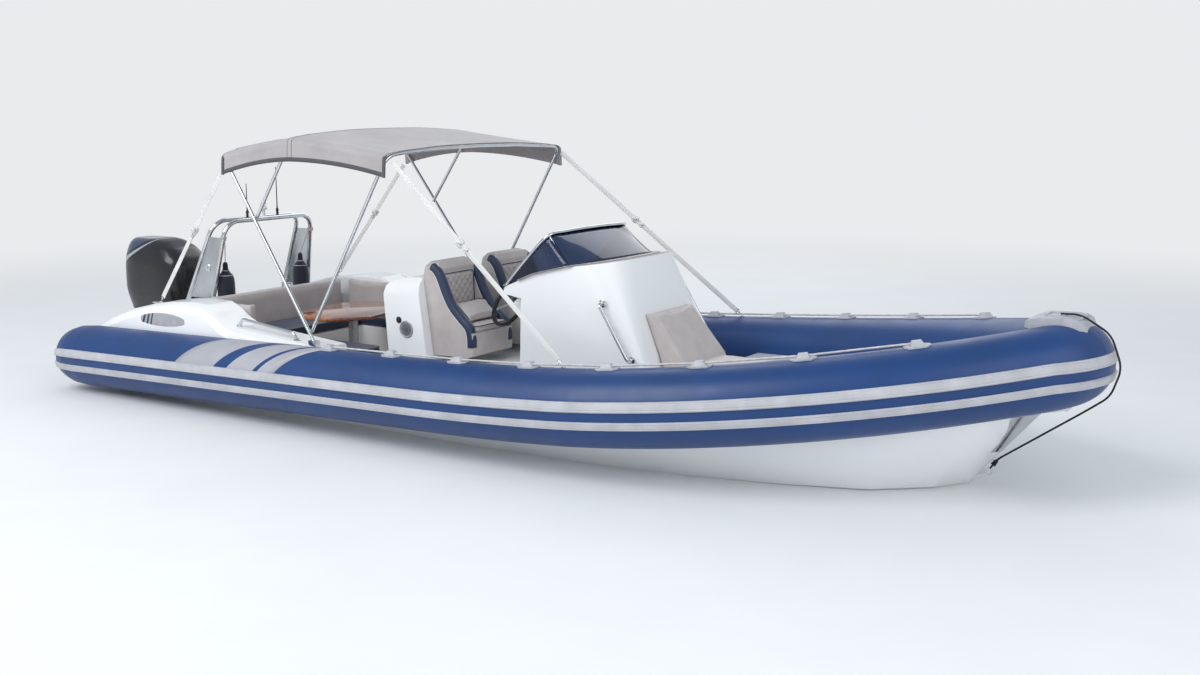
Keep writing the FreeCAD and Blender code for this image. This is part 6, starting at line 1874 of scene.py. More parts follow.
@dataclass
class Helm:
    """Moulded pod with two upholstered bucket seats and their flip-up bolsters."""

    centres: tuple[float, float] = (0.32, -0.32)
    half_width: float = 0.225
    wing: float = 0.050
    # x and z down the front edge of a wing
    wing_edge: Pairs = (
        (-0.600, 1.112), (-0.560, 1.088), (-0.520, 1.035), (-0.470, 0.925), (-0.420, 0.840), (-0.345, 0.765),
        (-0.280, 0.705), (-0.257, 0.640), (-0.252, 0.560))
    pivot: tuple[float, float] = (-0.500, 0.837)
    # x and z of the raised bolster from its pivot
    bolster_side: Pairs = (
        (-0.004, -0.116), (-0.008, -0.020), (-0.004, 0.005), (0.040, 0.008), (0.070, 0.001), (0.098, -0.018),
        (0.165, -0.084), (0.176, -0.100), (0.178, -0.116))
    # how far a wing's facing reaches back over its sides
    band_reach: float = 0.042
    piping_radius: float = 0.0034
    # lower and upper end of the quilt, size and height of a diamond, the backrest's face
    quilt_ends: tuple[float, float] = (0.735, 1.040)
    diamond: float = 0.062
    puff: float = 0.0125
    back_x: float = -0.5395
    back_lean: float = 0.0245
    pod_half: float = 0.6202
    speaker: tuple[float, float] = (-0.777, 0.653)
    drain_cap: tuple[float, float] = (-0.844, 0.714)
    # radius and height of the rings of the turned pieces
    speaker_ring: Pairs = ((0.062, 0.0), (0.062, 0.003), (0.056, 0.008), (0.052, 0.006), (0.050, 0.002))
    speaker_cone: Pairs = ((0.050, 0.0015), (0.030, 0.0035), (0.012, 0.005), (0.004, 0.0055))
    cap_rows: Pairs = ((0.024, 0.0), (0.024, 0.003), (0.020, 0.006), (0.012, 0.0065), (0.003, 0.0066))
    # radius of each circle of studs in the grille, and their number
    grille: tuple[tuple[float, int], ...] = ((0.014, 8), (0.024, 14), (0.034, 20), (0.043, 26))

    def build(self, frame: dict) -> None:
        """Makes the pod's fittings and both seats.
        """
        softened(frame, "seat_pod", GELCOAT, 0.018, segments=5)
        softened(frame, "seat_shells", VINYL_GREY, 0.022, segments=5, angle=24.0)
        trims, edges = [], []
        for centre in self.centres:
            for side in SIGNS:
                line = self.wing_line(centre + side * (self.half_width - 0.5 * self.wing))
                trims.append(self.wing_band(line))
                edges += [self.wing_piping(line, edge) for edge in SIGNS]
            edges.append(self.frame_line(centre))
        ride(joined("seat_wing_bands", trims))
        ride(joined("seat_piping", edges))
        quilt = joined("seat_quilted_backs", [self.quilt(centre) for centre in self.centres])
        ride(quilt)
        self.pads(frame)
        for node, centre in zip(("bolster_port", "bolster_starboard"), self.centres):
            self.bolster(frame, node, centre)
        self.pod_fittings()

    def wing_line(self, middle: float) -> list[tuple[Vector, Vector]]:
        """Points down a wing's front edge.

        Args:
            middle: The wing's y.

        Returns:
            Each point and the way out of the wing there.
        """
        line = smooth_line([(x, middle, z) for x, z in self.wing_edge], 6)
        found = []
        for index, point in enumerate(line):
            along = heading(line, index)
            out = Vector((-along.z, 0.0, along.x))
            found.append((point, out if out.x > 0.0 or out.z > 0.2 else -out))
        return found

    def wing_band(self, line: list[tuple[Vector, Vector]]) -> Piece:
        """Navy facing wrapped round a wing's front edge.

        Args:
            line: Points down the wing's edge and the way out there.

        Returns:
            The facing.
        """
        half, deep = 0.5 * self.wing, -self.band_reach
        outer = [(half + 0.003, deep), (half + 0.004, -0.004), (half - 0.002, 0.004), (half - 0.012, 0.0075),
                 (0.0, 0.0085), (0.012 - half, 0.0075), (0.002 - half, 0.004), (-half - 0.004, -0.004),
                 (-half - 0.003, deep)]
        outline = outer + [(-half + 0.001, deep), (0.0, -0.010), (half - 0.001, deep)]
        vertices = [tuple(point + Vector((0.0, a, 0.0)) + out * b) for point, out in line for a, b in outline]
        return outward(piece_from("band", vertices, capped(len(line), len(outline)), VINYL_NAVY, 60.0))

    def wing_piping(self, line: list[tuple[Vector, Vector]], edge: float) -> Piece:
        """Pale piping along one edge of a wing's facing.

        Args:
            line: Points down the wing's edge and the way out there.
            edge: Sign of the edge's side.

        Returns:
            The piping.
        """
        aside = Vector((0.0, edge * (0.5 * self.wing + 0.0015), 0.0))
        route = [point + aside - out * (self.band_reach + 0.001) for point, out in line]
        return pipe("piping", route, self.piping_radius, PIPING_PALE, 8)

    def quilt(self, centre: float) -> Piece:
        """Diamond-quilted panel of a backrest.

        Args:
            centre: The seat's y.

        Returns:
            The panel.
        """
        inner = self.half_width - self.wing - 0.012
        rows, columns = 81, 73
        low, high = self.quilt_ends
        vertices = []
        for v in (row / (rows - 1) for row in range(rows)):
            z = low + (high - low) * v
            for u in (2.0 * column / (columns - 1) - 1.0 for column in range(columns)):
                a, b = (u * inner + z) / self.diamond, (u * inner - z) / self.diamond
                puff = self.puff * math.sqrt(abs(math.sin(math.pi * a)) * abs(math.sin(math.pi * b)))
                rim = min(1.0, 12.0 * min(v, 1.0 - v), 8.0 * (1.0 - abs(u)))
                x = self.back_x - (z - 0.660) * self.back_lean + rim * (0.002 + puff)
                vertices.append((x, centre + inner * u, z))
        sheet = piece_from("quilt", vertices, grid_faces(rows, columns), VINYL_GREY, 85.0)
        return outward(sheet, Vector((1.0, 0.0, 0.0)))

    def frame_line(self, centre: float) -> Piece:
        """Navy piping round the quilted panel.

        Args:
            centre: The seat's y.

        Returns:
            The piping.
        """
        inner = self.half_width - self.wing - 0.010
        corners = [(-0.5385, centre - inner, 0.733), (-0.5455, centre - inner, 1.042),
                   (-0.5455, centre + inner, 1.042), (-0.5385, centre + inner, 0.733)]
        return pipe("piping", filleted(corners, 0.03), 0.0036, VINYL_NAVY, 8)

    def pads(self, frame: dict) -> None:
        """Thigh pads with three sewn channels and navy piping.
        """
        parts = []
        inner = self.half_width - self.wing - 0.0005
        for centre in self.centres:
            port, starboard = centre + inner, centre - inner
            parts.append(crowned("pad", (-0.515, -0.251), (starboard, port), (0.6606, 0.7145), 0.010, 0.014,
                                 VINYL_GREY, channels=3))
            edge = rounded_loop((-0.513, -0.253), (starboard + 0.002, port - 0.002), 0.702, 0.016)
            parts.append(pipe("piping", edge, self.piping_radius, VINYL_NAVY, 8))
        stand_for(frame, joined("thigh_pads", parts), ["seat_pads"])

    def bolster(self, frame: dict, node: str, centre: float) -> None:
        """Stuffed bolster, swollen by a cloth simulation, with its piping and hinge pins.

        Args:
            node: Name of its CAD node.
            centre: The seat's y.
        """
        half, inset = self.half_width - self.wing - 0.008, 0.004
        outline = [(self.pivot[0] + dx, self.pivot[1] + dz) for dx, dz in self.bolster_side]
        middle_x = sum(x for x, _ in outline) / len(outline)
        middle_z = sum(z for _, z in outline) / len(outline)
        side = [(x + inset * (1 if x < middle_x else -1), z + inset * (1 if z < middle_z else -1))
                for x, z in outline]
        vertices = [(x, y, z) for y in (centre - half + inset, centre + half - inset) for x, z in side]
        body = outward(piece_from("stuffing", vertices, prism(len(side)), VINYL_GREY))
        parts = [plumped(bevelled(body, 0.016, 4, 25.0), 0.006, 0.007)]
        for y in (centre - half + 0.006, centre + half - 0.006):
            ring = filleted([(x, y, z) for x, z in side + side[:1]], 0.014)
            parts.append(pipe("piping", ring, self.piping_radius, VINYL_NAVY, 8))
        for way in SIGNS:
            reach = way * (self.half_width - self.wing - 0.0004)
            end = Vector((self.pivot[0], centre + reach, self.pivot[1]))
            line = divided(end - Vector((0.0, way * 0.02, 0.0)), end, 0.01)
            parts.append(pipe("pin", line, 0.007, STAINLESS, 16))
        stand_for(frame, joined(node + "_padding", parts), [node])

    def pod_fittings(self) -> None:
        """Loudspeaker and drain cap on each side of the pod."""
        parts, holes = [], []
        for side in SIGNS:
            out = Vector((0.0, side, 0.0))
            speaker, cap = (Vector((x, side * self.pod_half, z)) for x, z in (self.speaker, self.drain_cap))
            for name, rows, place, finish, count in (
                    ("speaker", self.speaker_ring, speaker, GELCOAT_GREY, 48),
                    ("cone", self.speaker_cone, speaker, DARK_MESH, 40),
                    ("cap", self.cap_rows, cap, BLACK_PLASTIC, 32)):
                parts.append(lathe(name, rows, place, out, finish, count))
            for ring, count in self.grille:
                holes += [(speaker + Vector((ring * math.cos(a), side * 0.0035, ring * math.sin(a))), out)
                          for a in angles(count)]
        ride(joined("pod_fittings", parts))
        ride(studded("speaker_grille", holes, 0.0026, 0.0016, GELCOAT_GREY))


# Console


@dataclass
class Console:
    """Console moulding with its screen, rails, instruments and wheel."""

    # x and z of the sloping top
    top: Pairs = ((-0.020, 0.950), (-0.005, 1.000), (0.240, 1.100), (0.500, 1.165), (0.820, 1.210))
    # foot x, foot y, top x, top y, top z from the helm end forward
    panes: Rows = (
        (0.020, 0.490, 0.044, 0.486, 1.050), (0.270, 0.492, 0.205, 0.478, 1.226),
        (0.500, 0.478, 0.335, 0.462, 1.350),
        (0.655, 0.330, 0.352, 0.300, 1.366), (0.700, 0.0, 0.358, 0.0, 1.371))
    glass: float = 0.006
    rail_radius: float = 0.011
    wheel_centre: Point = (-0.090, -0.300, 0.870)
    wheel_rake: float = 25.0
    wheel_radius: float = 0.185
    grip_radius: float = 0.015
    band_depth: float = 0.028
    # sideways and upward points of the flange under the screen, bolt spacing
    flange_outline: Pairs = ((0.024, -0.004), (0.024, 0.002), (0.020, 0.0045), (-0.020, 0.0045),
                             (-0.024, 0.002), (-0.024, -0.004))
    bolt_spacing: float = 0.075
    # x and y ends of each display's bezel
    bezels: Rows = ((0.045, 0.215, -0.455, -0.175), (0.060, 0.200, 0.140, 0.350))
    gauge_places: tuple[float, ...] = (-0.115, -0.020, 0.075)
    # radius and height of the rings of the turned pieces
    gauge: Pairs = ((0.036, 0.0), (0.036, 0.006), (0.032, 0.009), (0.030, 0.007))
    dial: Pairs = ((0.030, 0.0), (0.030, 0.0072), (0.002, 0.0076))
    hub: Pairs = ((0.033, 0.0), (0.034, 0.003), (0.034, 0.030), (0.031, 0.036))
    hub_cap: Pairs = ((0.030, 0.034), (0.029, 0.040), (0.020, 0.0445), (0.008, 0.046))
    # x and z of the grab rail's upper and lower end
    rail_ends: Pairs = ((0.780, 0.950), (1.000, 0.600))

    def build(self, frame: dict) -> None:
        """Makes every piece of the console.
        """
        body = softened(frame, "console", GELCOAT, 0.034, segments=7, angle=24.0)
        body.data.materials.append(FLANGE_GREY.material())
        for polygon in body.data.polygons:
            x, _, z = polygon.center
            polygon.material_index = int(z > height_on(self.top, x) - self.band_depth)
        self.screen(frame)
        self.flange()
        self.dash(frame)
        self.wheel(frame)
        self.handrails(frame)
        seat = softened(frame, "console_seat", VINYL_GREY, 0.028, segments=4, angle=20.0)
        plumped(seat, 0.010, 0.012, 0.008)

    def rows(self) -> tuple[list[Vector], list[Vector]]:
        """Foot and top lines of the screen from port round to starboard.

        Returns:
            The points of the foot and of the top edge.
        """
        feet = [(x0, y0, height_on(self.top, x0) - 0.004) for x0, y0, *_ in self.panes]
        tops = [(x1, y1, z1) for _, _, x1, y1, z1 in self.panes]
        feet += [(x, -y, z) for x, y, z in reversed(feet[:-1])]
        tops += [(x, -y, z) for x, y, z in reversed(tops[:-1])]
        return smooth_line(feet, 8), smooth_line(tops, 8)

    def screen(self, frame: dict) -> None:
        """Curved tinted sheet with a polished rail on its edge and a brace at each corner.
        """
        feet, tops = self.rows()
        rings = 9
        vertices = [tuple(a.lerp(b, ring / (rings - 1))) for ring in range(rings) for a, b in zip(feet, tops)]
        sheet = piece_from("screen_sheet", vertices, grid_faces(rings, len(feet)), SCREEN, 80.0)
        thickened(outward(sheet, Vector((1.0, 0.0, 0.0))), self.glass, -1.0)
        stand_for(frame, sheet, ["windscreen"])
        ends = [Vector((point.x - 0.016, math.copysign(abs(point.y) + 0.004, point.y),
                        height_on(self.top, point.x) - 0.002)) for point in (feet[0], feet[-1])]
        crest = [point + UP * (0.6 * self.rail_radius) for point in tops[1:-1]]
        parts = [pipe("rail", ends[:1] + crest + ends[1:], self.rail_radius, STAINLESS, 20)]
        x0, y0, x1, y1, z1 = self.panes[2]
        for side in SIGNS:
            low = Vector((x0 - 0.004, side * (y0 - 0.013), height_on(self.top, x0) - 0.002))
            head = Vector((x1 - 0.004, side * (y1 - 0.011), z1 + 0.004))
            parts.append(pipe("brace", divided(low, head, 0.05), 0.009, STAINLESS, 16))
            parts.append(foot(low, Vector((-0.25, 0.0, 1.0)), 0.024, (0.016, 0.008), (0.010, 0.010), 24))
        parts += [foot(end, Vector((-0.35, 0.0, 1.0)), 0.022, (0.016, 0.008), (0.012, 0.010), 24)
                  for end in ends]
        stand_for(frame, joined("screen_rail_tube", parts), ["screen_rail"])

    def flange(self) -> None:
        """Grey mounting flange under the screen with its row of bolts."""
        feet, _ = self.rows()
        line: list[Vector] = []
        bolts = []
        run = 0.0
        for index, point in enumerate(feet):
            along = heading(feet, index)
            out = Vector((-along.y, along.x, 0.0)).normalized()
            out = out if out.dot(Vector((point.x - 0.2, point.y, 0.0))) > 0.0 else -out
            place = point + out * 0.022
            place.z = height_on(self.top, min(place.x, 0.815)) + 0.0035
            place.y = max(-0.494, min(0.494, place.y))
            run += (place - line[-1]).length if line else 0.0
            line.append(place)
            if run > self.bolt_spacing:
                bolts.append((place + UP * 0.004, Vector((-0.2, 0.0, 1.0))))
                run = 0.0
        inner = [point for point in line if abs(point.y) < 0.4935 or point.x > 0.1]
        ride(outward(swept("screen_flange", inner, self.flange_outline, DASH_GREY)))
        ride(studded("flange_bolts", bolts, 0.006, 0.003, STAINLESS))

    def on_dash(self, x: float, y: float, lift: float) -> Vector:
        """Point over the dash."""
        return Vector((x, y, height_on(self.top, x) + 0.0083)) + self.dash_out() * lift

    @staticmethod
    def dash_out() -> Vector:
        """Way that the dash faces."""
        return Vector((-0.378, 0.0, 0.926)).normalized()

    def tile(self, name: str, ends: tuple[float, ...], lift: float, thickness: float, finish: Finish,
             corner: float) -> Piece:
        """Rounded flat plate on the dash.

        Args:
            name: Name of the piece.
            ends: Both ends in x, then both in y.
            lift: Height of its middle over the dash.
            thickness: Its thickness.
            finish: Its surface.
            corner: Radius of its corners.

        Returns:
            The plate.
        """
        loop = rounded_loop(ends[:2], ends[2:], 0.0, corner)[:-1]
        outline = [self.on_dash(point.x, point.y, lift) for point in loop]
        return outward(plate(name, outline, thickness, finish))

    def dash(self, frame: dict) -> None:
        """Instrument face with two blank displays, round gauges and switches.
        """
        softened(frame, "dash", DASH_GREY, 0.003)
        parts = []
        for row, rim_x, rim_y in zip(self.bezels, (0.013, 0.012), (0.015, 0.014)):
            low_x, high_x, low_y, high_y = row
            glass = (low_x + rim_x, high_x - rim_x, low_y + rim_y, high_y - rim_y)
            parts.append(self.tile("bezel", row, 0.003, 0.008, BLACK_PLASTIC, 0.012))
            parts.append(self.tile("display", glass, 0.0075, 0.002, DISPLAY, 0.004))
        for y in self.gauge_places:
            base = self.on_dash(0.160, y, -0.001)
            parts.append(lathe("gauge", self.gauge, base, self.dash_out(), STAINLESS, 36))
            parts.append(lathe("dial", self.dial, base, self.dash_out(), DISPLAY, 32))
        for y in (-0.150 + 0.048 * index for index in range(6)):
            ends = (0.050, 0.090, y, y + 0.026)
            parts.append(self.tile("switch", ends, 0.004, 0.010, BLACK_PLASTIC, 0.003))
        ride(joined("instruments", parts))

    def wheel(self, frame: dict) -> None:
        """Stitched rim on three polished spokes with a domed hub.
        """
        centre, rake = Vector(self.wheel_centre), math.radians(self.wheel_rake)
        axis = Vector((-math.cos(rake), 0.0, math.sin(rake)))
        level = Vector((0.0, 1.0, 0.0))
        steep = axis.cross(level).normalized()
        count, around = 72, 18
        vertices = []
        for i, a in enumerate(angles(count)):
            out = level * math.cos(a) + steep * math.sin(a)
            for b in angles(around):
                grip = self.grip_radius * (0.95 if i % 24 < 3 and math.cos(b) < 0.4 else 1.0)
                vertices.append(tuple(centre + out * (self.wheel_radius + grip * math.cos(b))
                                      + axis * grip * math.sin(b)))
        faces = grid_faces(count, around, wrap_rows=True, wrap_columns=True)
        low = centre - axis * 0.036
        parts = [outward(piece_from("rim", vertices, faces, BLACK_PLASTIC, 60.0)),
                 lathe("hub", self.hub, low, axis, BLACK_PLASTIC),
                 lathe("cap", self.hub_cap, low, axis, STAINLESS)]
        outline = [(0.0028 * math.cos(b), 0.0115 * math.sin(b)) for b in angles(16)]
        for turn in map(math.radians, (-15.0, 90.0, 195.0)):
            out = level * math.cos(turn) - steep * math.sin(turn)
            start = centre - axis * 0.012 + out * 0.024
            line = divided(start, centre + out * (self.wheel_radius - 0.004), 0.02)
            parts.append(swept("spoke", line, outline, STAINLESS, up=axis.cross(out).normalized()))
        stand_for(frame, joined("helm_wheel", parts), ["steering_wheel"])

    def handrails(self, frame: dict) -> None:
        """Bent grab rail with round flanges on each side of the console.
        """
        parts = []
        (x0, z0), (x1, z1) = self.rail_ends
        for side in SIGNS:
            near, far = side * 0.480, side * 0.545
            route = filleted([(x0, near, z0), (x0, far, z0), (x1, far, z1), (x1, near, z1)], 0.025)
            parts.append(pipe("rail", route, 0.012, STAINLESS, 20))
            parts += [foot(Vector((x, side * 0.4985, z)), Vector((0.0, side, 0.0)), 0.026, (0.018, 0.007),
                           (0.013, 0.008)) for x, z in self.rail_ends]
        stand_for(frame, joined("console_handrails", parts), ["console_rails"])


# Seating


@dataclass
class Seating:
    """Upholstery of the U-shaped seat and the table."""

    crown: float = 0.016
    edge: float = 0.020
    piping_inset: float = 0.0035

    def build(self, frame: dict) -> None:
        """Makes the cushions, backrests and the table.
        """
        cushions = []
        inset = Vector((self.piping_inset, self.piping_inset, 0.0))
        for low, high in solid_boxes(frame, "seat_cushions"):
            cushions.append(crowned("cushion", (low.x, high.x), (low.y, high.y), (low.z, high.z), self.crown,
                                    self.edge, VINYL_NAVY, corner=0.045))
            near, far = low + inset, high - inset
            cushions += [pipe("piping", rounded_loop((near.x, far.x), (near.y, far.y), z, 0.042), 0.0036,
                              VINYL_DARK, 8) for z in (low.z + 0.012, high.z - 0.020)]
        stand_for(frame, joined("bench_cushions", cushions), ["seat_cushions"])
        backs = softened(frame, "seat_backrests", VINYL_GREY, 0.024, segments=4, angle=20.0)
        plumped(backs, 0.009, 0.010, 0.007)
        softened(frame, "seat_base", GELCOAT, 0.014, segments=4)
        softened(frame, "table_top", TEAK, 0.008, segments=4)
        softened(frame, "table_pedestal", BRUSHED, 0.003)


# Engine


@dataclass
class Engine:
    """Lacquered cowl over the drive."""

    # z, aft x, front x, half width, corner radius of the plan sections
    sections: Rows = (
        (0.4705, -4.370, -3.705, 0.205, 0.110), (0.545, -4.387, -3.697, 0.224, 0.118),
        (0.620, -4.400, -3.690, 0.238, 0.125), (0.735, -4.405, -3.692, 0.2385, 0.127),
        (0.850, -4.406, -3.702, 0.232, 0.125), (0.905, -4.4045, -3.727, 0.222, 0.121),
        (0.945, -4.400, -3.765, 0.208, 0.115), (0.985, -4.393, -3.812, 0.189, 0.108),
        (1.015, -4.385, -3.870, 0.168, 0.100), (1.040, -4.371, -3.925, 0.142, 0.092),
        (1.0545, -4.353, -3.985, 0.114, 0.080))
    seam_z: float = 0.600
    aft_x: float = -4.4
    # height at the aft end and slope of each line of the trim
    cap_line: tuple[float, float] = (0.872, 0.60)
    wedge_top: tuple[float, float] = (0.862, 0.52)
    wedge_foot: tuple[float, float] = (0.815, 0.62)
    around: int = 88
    # inset and rise of each ring of the top
    crown: Pairs = ((0.012, 0.0018), (0.035, 0.0031), (0.06, 0.0035), (0.10, 0.0036))

    def build(self, frame: dict) -> None:
        """Makes the cowl and softens the castings.
        """
        shell = self.cowl()
        latch = crowned("latch", (-4.4058, -4.390), (-0.032, 0.032), (0.545, 0.612), 0.004, 0.005,
                        ENGINE_SILVER, corner=0.005)
        stand_for(frame, joined("engine_cowl_shell", [shell, latch]), ["engine_cowl"])
        for node, finish, width, segments in (
                ("clamp_bracket", ENGINE_BLACK, 0.004, 4), ("swivel_bracket", ENGINE_BLACK, 0.004, 4),
                ("engine_leg", ENGINE_BLACK, 0.014, 4), ("gearcase", ENGINE_BLACK, 0.005, 4),
                ("tilt_cylinder", ENGINE_BLACK, 0.002, 3), ("tilt_rod", STAINLESS, 0.0, 3),
                ("engine_block", CAST_BLOCK, 0.012, 3), ("propeller", PROP_STEEL, 0.0015, 3)):
            softened(frame, node, finish, width, segments)

    def cowl(self) -> Piece:
        """Cowl skinned over its plan sections, with a shut line and a crowned top.

        Returns:
            The cowl.
        """
        heights = smooth_line([(row[0], row[4], 0.0) for row in self.sections], 6)
        shapes = smooth_line([row[1:4] for row in self.sections], 6)
        vertices: list[Point] = []
        for place, shape in zip(heights, shapes):
            groove = 0.004 * math.exp(-((place.x - self.seam_z) / 0.005) ** 2)
            vertices += self.ring(place.x, shape.x + groove, shape.y - groove, shape.z - groove, place.y)
        for inset, rise in self.crown:
            vertices += self.ring(place.x + rise, shape.x + inset, shape.y - inset,
                                  max(0.006, shape.z - inset), max(0.004, place.y - inset))
        faces = capped(len(vertices) // self.around, self.around)
        made = outward(piece_from("cowl_shell", vertices, faces, ENGINE_BLACK, 50.0))
        self.trim(made)
        return made

    def trim(self, cowl: Piece) -> None:
        """Cuts the cowl along the trim's edges and gives the peak and the wedge their enamel.

        Args:
            cowl: The skinned cowl.
        """
        for finish in (ENGINE_NAVY, ENGINE_SILVER):
            cowl.data.materials.append(finish.material())
        lines = (self.cap_line, self.wedge_top, self.wedge_foot)
        sheet = bmesh.new()
        sheet.from_mesh(cowl.data)
        for height, slope in lines:
            bmesh.ops.bisect_plane(sheet, geom=list(sheet.verts) + list(sheet.edges) + list(sheet.faces),
                                   plane_co=(self.aft_x, 0.0, height), plane_no=(-slope, 0.0, 1.0))
        for face in sheet.faces:
            x, _, z = face.calc_center_median()
            peak, over_wedge, in_wedge = (z > height + slope * (x - self.aft_x) for height, slope in lines)
            face.material_index = 1 if peak else (2 if in_wedge and not over_wedge else 0)
        sheet.to_mesh(cowl.data)
        sheet.free()

    def ring(self, z: float, aft: float, fore: float, half: float, corner: float) -> list[Point]:
        """Plan section with rounded corners, its points evenly spread by direction.

        Args:
            z: Its height.
            aft: Its aft end.
            fore: Its fore end.
            half: Its half width.
            corner: Radius of its corners.

        Returns:
            Its points.
        """
        x_half, middle = 0.5 * (fore - aft), 0.5 * (fore + aft)
        power = 2.0 / (2.9 + 2.2 * (1.0 - min(1.0, corner / half)))
        return [(middle + x_half * math.copysign(abs(c) ** power, c),
                 half * math.copysign(abs(t) ** power, t), z)
                for c, t in ((math.cos(a), math.sin(a)) for a in angles(self.around))]


# Bow and stern fittings


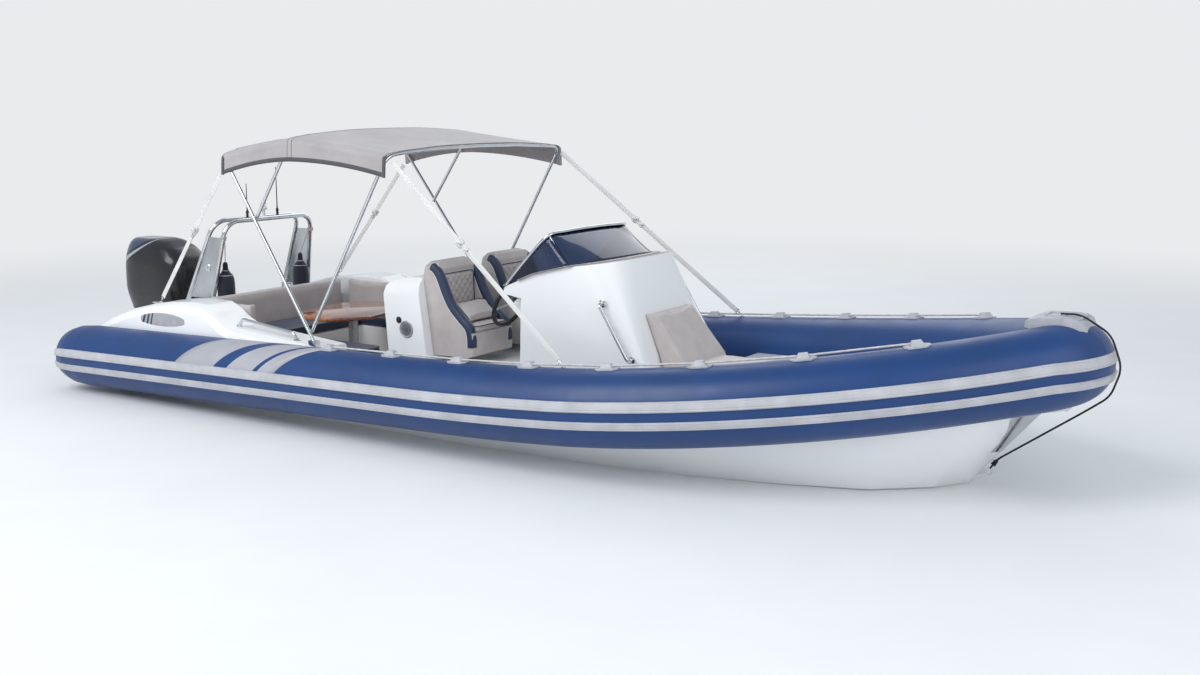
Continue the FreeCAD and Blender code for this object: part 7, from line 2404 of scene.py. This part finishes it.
@dataclass
class Fittings:
    """Rail rope, painter, bow hardware, coaming graphics and deck pads."""

    nose: Point = (3.581, 0.0, 0.7863)
    tube_radius: float = 0.235
    painter_reach: float = 0.2838
    painter_y: float = -0.030
    painter_angles: tuple[float, ...] = (-80.0, -40.0, 0.0, 35.0, 70.0)
    eye: Point = (3.1316, 0.0, 0.115)
    # share of the panel's length where each patch starts and ends, its height and lean, its finish
    panel_bands: tuple[tuple, ...] = (
        (0.0, 1.0, 0.0008, 0.0, GELCOAT_GREY), (0.05, 0.10, 0.0014, 0.028, VINYL_NAVY),
        (0.15, 0.19, 0.0014, 0.028, VINYL_NAVY), (0.24, 0.27, 0.0014, 0.028, VINYL_NAVY))
    panel_x: float = -2.970
    panel_length: float = 0.490
    coaming_y: float = 1.135
    sole_z: float = 0.1603

    def build(self, frame: dict) -> None:
        """Makes the small pieces of the bow and the stern, and the mouldings.
        """
        softened(frame, "rail_pads", PAD_RUBBER, 0.006, segments=4)
        ropes = [pipe("rope", divided(a, b, 0.012), 0.0068, ROPE_WHITE, 12, 3, 0.045)
                 for a, b in bar_ends(frame, "rail_rope")]
        stand_for(frame, joined("laid_rail_rope", ropes), ["rail_rope"])
        self.bow_step(frame)
        self.painter(frame)
        for node, finish, width, segments, angle in (
                ("stem_plate", STAINLESS, 0.0, 3, 28.0), ("bow_eye", STAINLESS, 0.003, 3, 28.0),
                ("bow_roller", STAINLESS, 0.002, 2, 28.0),
                ("deck_fittings", STAINLESS, 0.002, 3, 28.0), ("hull", GELCOAT, 0.004, 3, 28.0),
                ("foredeck", GELCOAT, 0.012, 4, 28.0), ("transom", GELCOAT, 0.014, 4, 28.0),
                ("stern_decks", GELCOAT, 0.02, 4, 28.0), ("coamings", GELCOAT, 0.040, 7, 16.0),
                ("helm_platform", GELCOAT, 0.010, 4, 28.0)):
            softened(frame, node, finish, width, segments, angle)
        self.coaming_rails(frame)
        for side in Side:
            self.coaming_panel(side)
        self.floor_pads()

    def bow_step(self, frame: dict) -> None:
        """Moulded step with a raised lip round its edge and a bead round the recess.
        """
        softened(frame, "bow_step", PAD_RUBBER, 0.016, segments=6, angle=20.0)
        x, _, z = self.nose
        crest = z + self.tube_radius
        ys = [0.236 * index / 20 - 0.118 for index in range(21)]
        lip = [Vector((x + 0.058 - 0.9 * y * y, y, crest + 0.0245)) for y in ys]
        recess = rounded_loop((x - 0.135, x - 0.030), (-0.075, 0.075), crest + 0.0290, 0.022)
        beads = [pipe("bead", line, radius, PAD_RUBBER, 12)
                 for line, radius in ((lip, 0.0085), (recess, 0.0045))]
        ride(joined("bow_step_beads", beads))

    def painter(self, frame: dict) -> None:
        """Laid rope from the step over the nose to the bow eye, finished with a knot.
        """
        x, _, z = self.nose
        points = [(x - 0.060, self.painter_y, z + self.tube_radius + 0.040)]
        reach = self.painter_reach
        points += [(x + reach * math.cos(a), self.painter_y, z - reach * math.sin(a))
                   for a in map(math.radians, self.painter_angles)]
        ex, _, ez = self.eye
        points += [(ex + 0.075, 0.6 * self.painter_y, ez + 0.060), (ex + 0.036, 0.4 * self.painter_y, ez)]
        line = resampled(filleted(points, 0.16, 6.0), 0.006)
        parts = [pipe("rope", line, 0.0062, ROPE_BLACK, 12, 3, 0.04)]
        for place, size in ((-8, 1.0), (-12, 0.85)):
            run = (line[place + 1] - line[place - 1]).normalized()
            turn = looped(line[place], run, 0.0105 * size, 0.006)
            parts.append(pipe("hitch", turn, 0.0055, ROPE_BLACK, 10))
        stand_for(frame, joined("painter_rope", parts), ["painter"])

    @staticmethod
    def coaming_rails(frame: dict) -> None:
        """Low grab rail with round feet on each coaming.
        """
        parts = []
        for y in SIGNS:
            corners = [(-2.060, y, 0.575), (-2.012, y, 0.668), (-1.488, y, 0.612), (-1.440, y, 0.530)]
            parts.append(pipe("rail", filleted(corners, 0.04), 0.012, STAINLESS, 20))
            parts += [foot(Vector((x, y, z)), Vector((0.08, 0.0, 1.0)), 0.028, (0.018, 0.008), (0.013, 0.010))
                      for x, z in ((-2.0475, 0.612), (-1.4575, 0.567))]
        stand_for(frame, joined("coaming_grab_rails", parts), ["coaming_rails"])

    def coaming_panel(self, side: Side) -> None:
        """Lens-shaped grey panel with three navy slashes on the outer face of a coaming.

        Args:
            side: The coaming's side.
        """
        parts = []
        rows, columns = 9, 29
        for start, end, lift, lean, finish in self.panel_bands:
            vertices = []
            for v in (row / (rows - 1) for row in range(rows)):
                for u in (start + (end - start) * column / (columns - 1) for column in range(columns)):
                    low, high = self.lens(u)
                    vertices.append((self.panel_x + self.panel_length * u + lean * (v - 0.5),
                                     side.value * (self.coaming_y + lift), low + (high - low) * v))
            patch = piece_from("patch", vertices, grid_faces(rows, columns), finish)
            parts.append(outward(patch, Vector((0.0, side.value, 0.0))))
        ride(joined("coaming_panel_" + side.name.lower(), parts))

    @staticmethod
    def lens(u: float) -> tuple[float, float]:
        """Lower and upper edge of the panel at a share of its length."""
        bulge = math.sqrt(max(0.0, math.sin(math.pi * min(1.0, 0.02 + 0.96 * u))))
        return 0.600 - 0.040 * bulge + 0.012 * u, 0.612 + 0.048 * bulge + 0.012 * u

    def floor_pads(self) -> None:
        """Anti-slip floor panels on the sole."""
        parts = []
        for xs, ys in (((-1.120, -0.640), (-0.60, 0.60)), ((-2.200, -1.160), (-0.44, 0.44)),
                       ((0.120, 1.140), (0.52, 0.80)), ((0.120, 1.140), (-0.80, -0.52))):
            outline = rounded_loop(xs, ys, self.sole_z + 0.001, 0.05)[:-1]
            parts.append(outward(plate("pad", outline, 0.002, DECK_GRIT)))
        ride(joined("floor_panels", parts))


def main() -> None:
    """Builds the boat's looks in order."""
    logging.basicConfig(level=logging.INFO, format="%(message)s")
    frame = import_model()
    Stage().build()
    for part in (Tube(), SunTop(), Arch(), Helm(), Console(), Seating(), Engine(), Fittings()):
        part.build(frame)


if __name__ == "__main__":
    main()
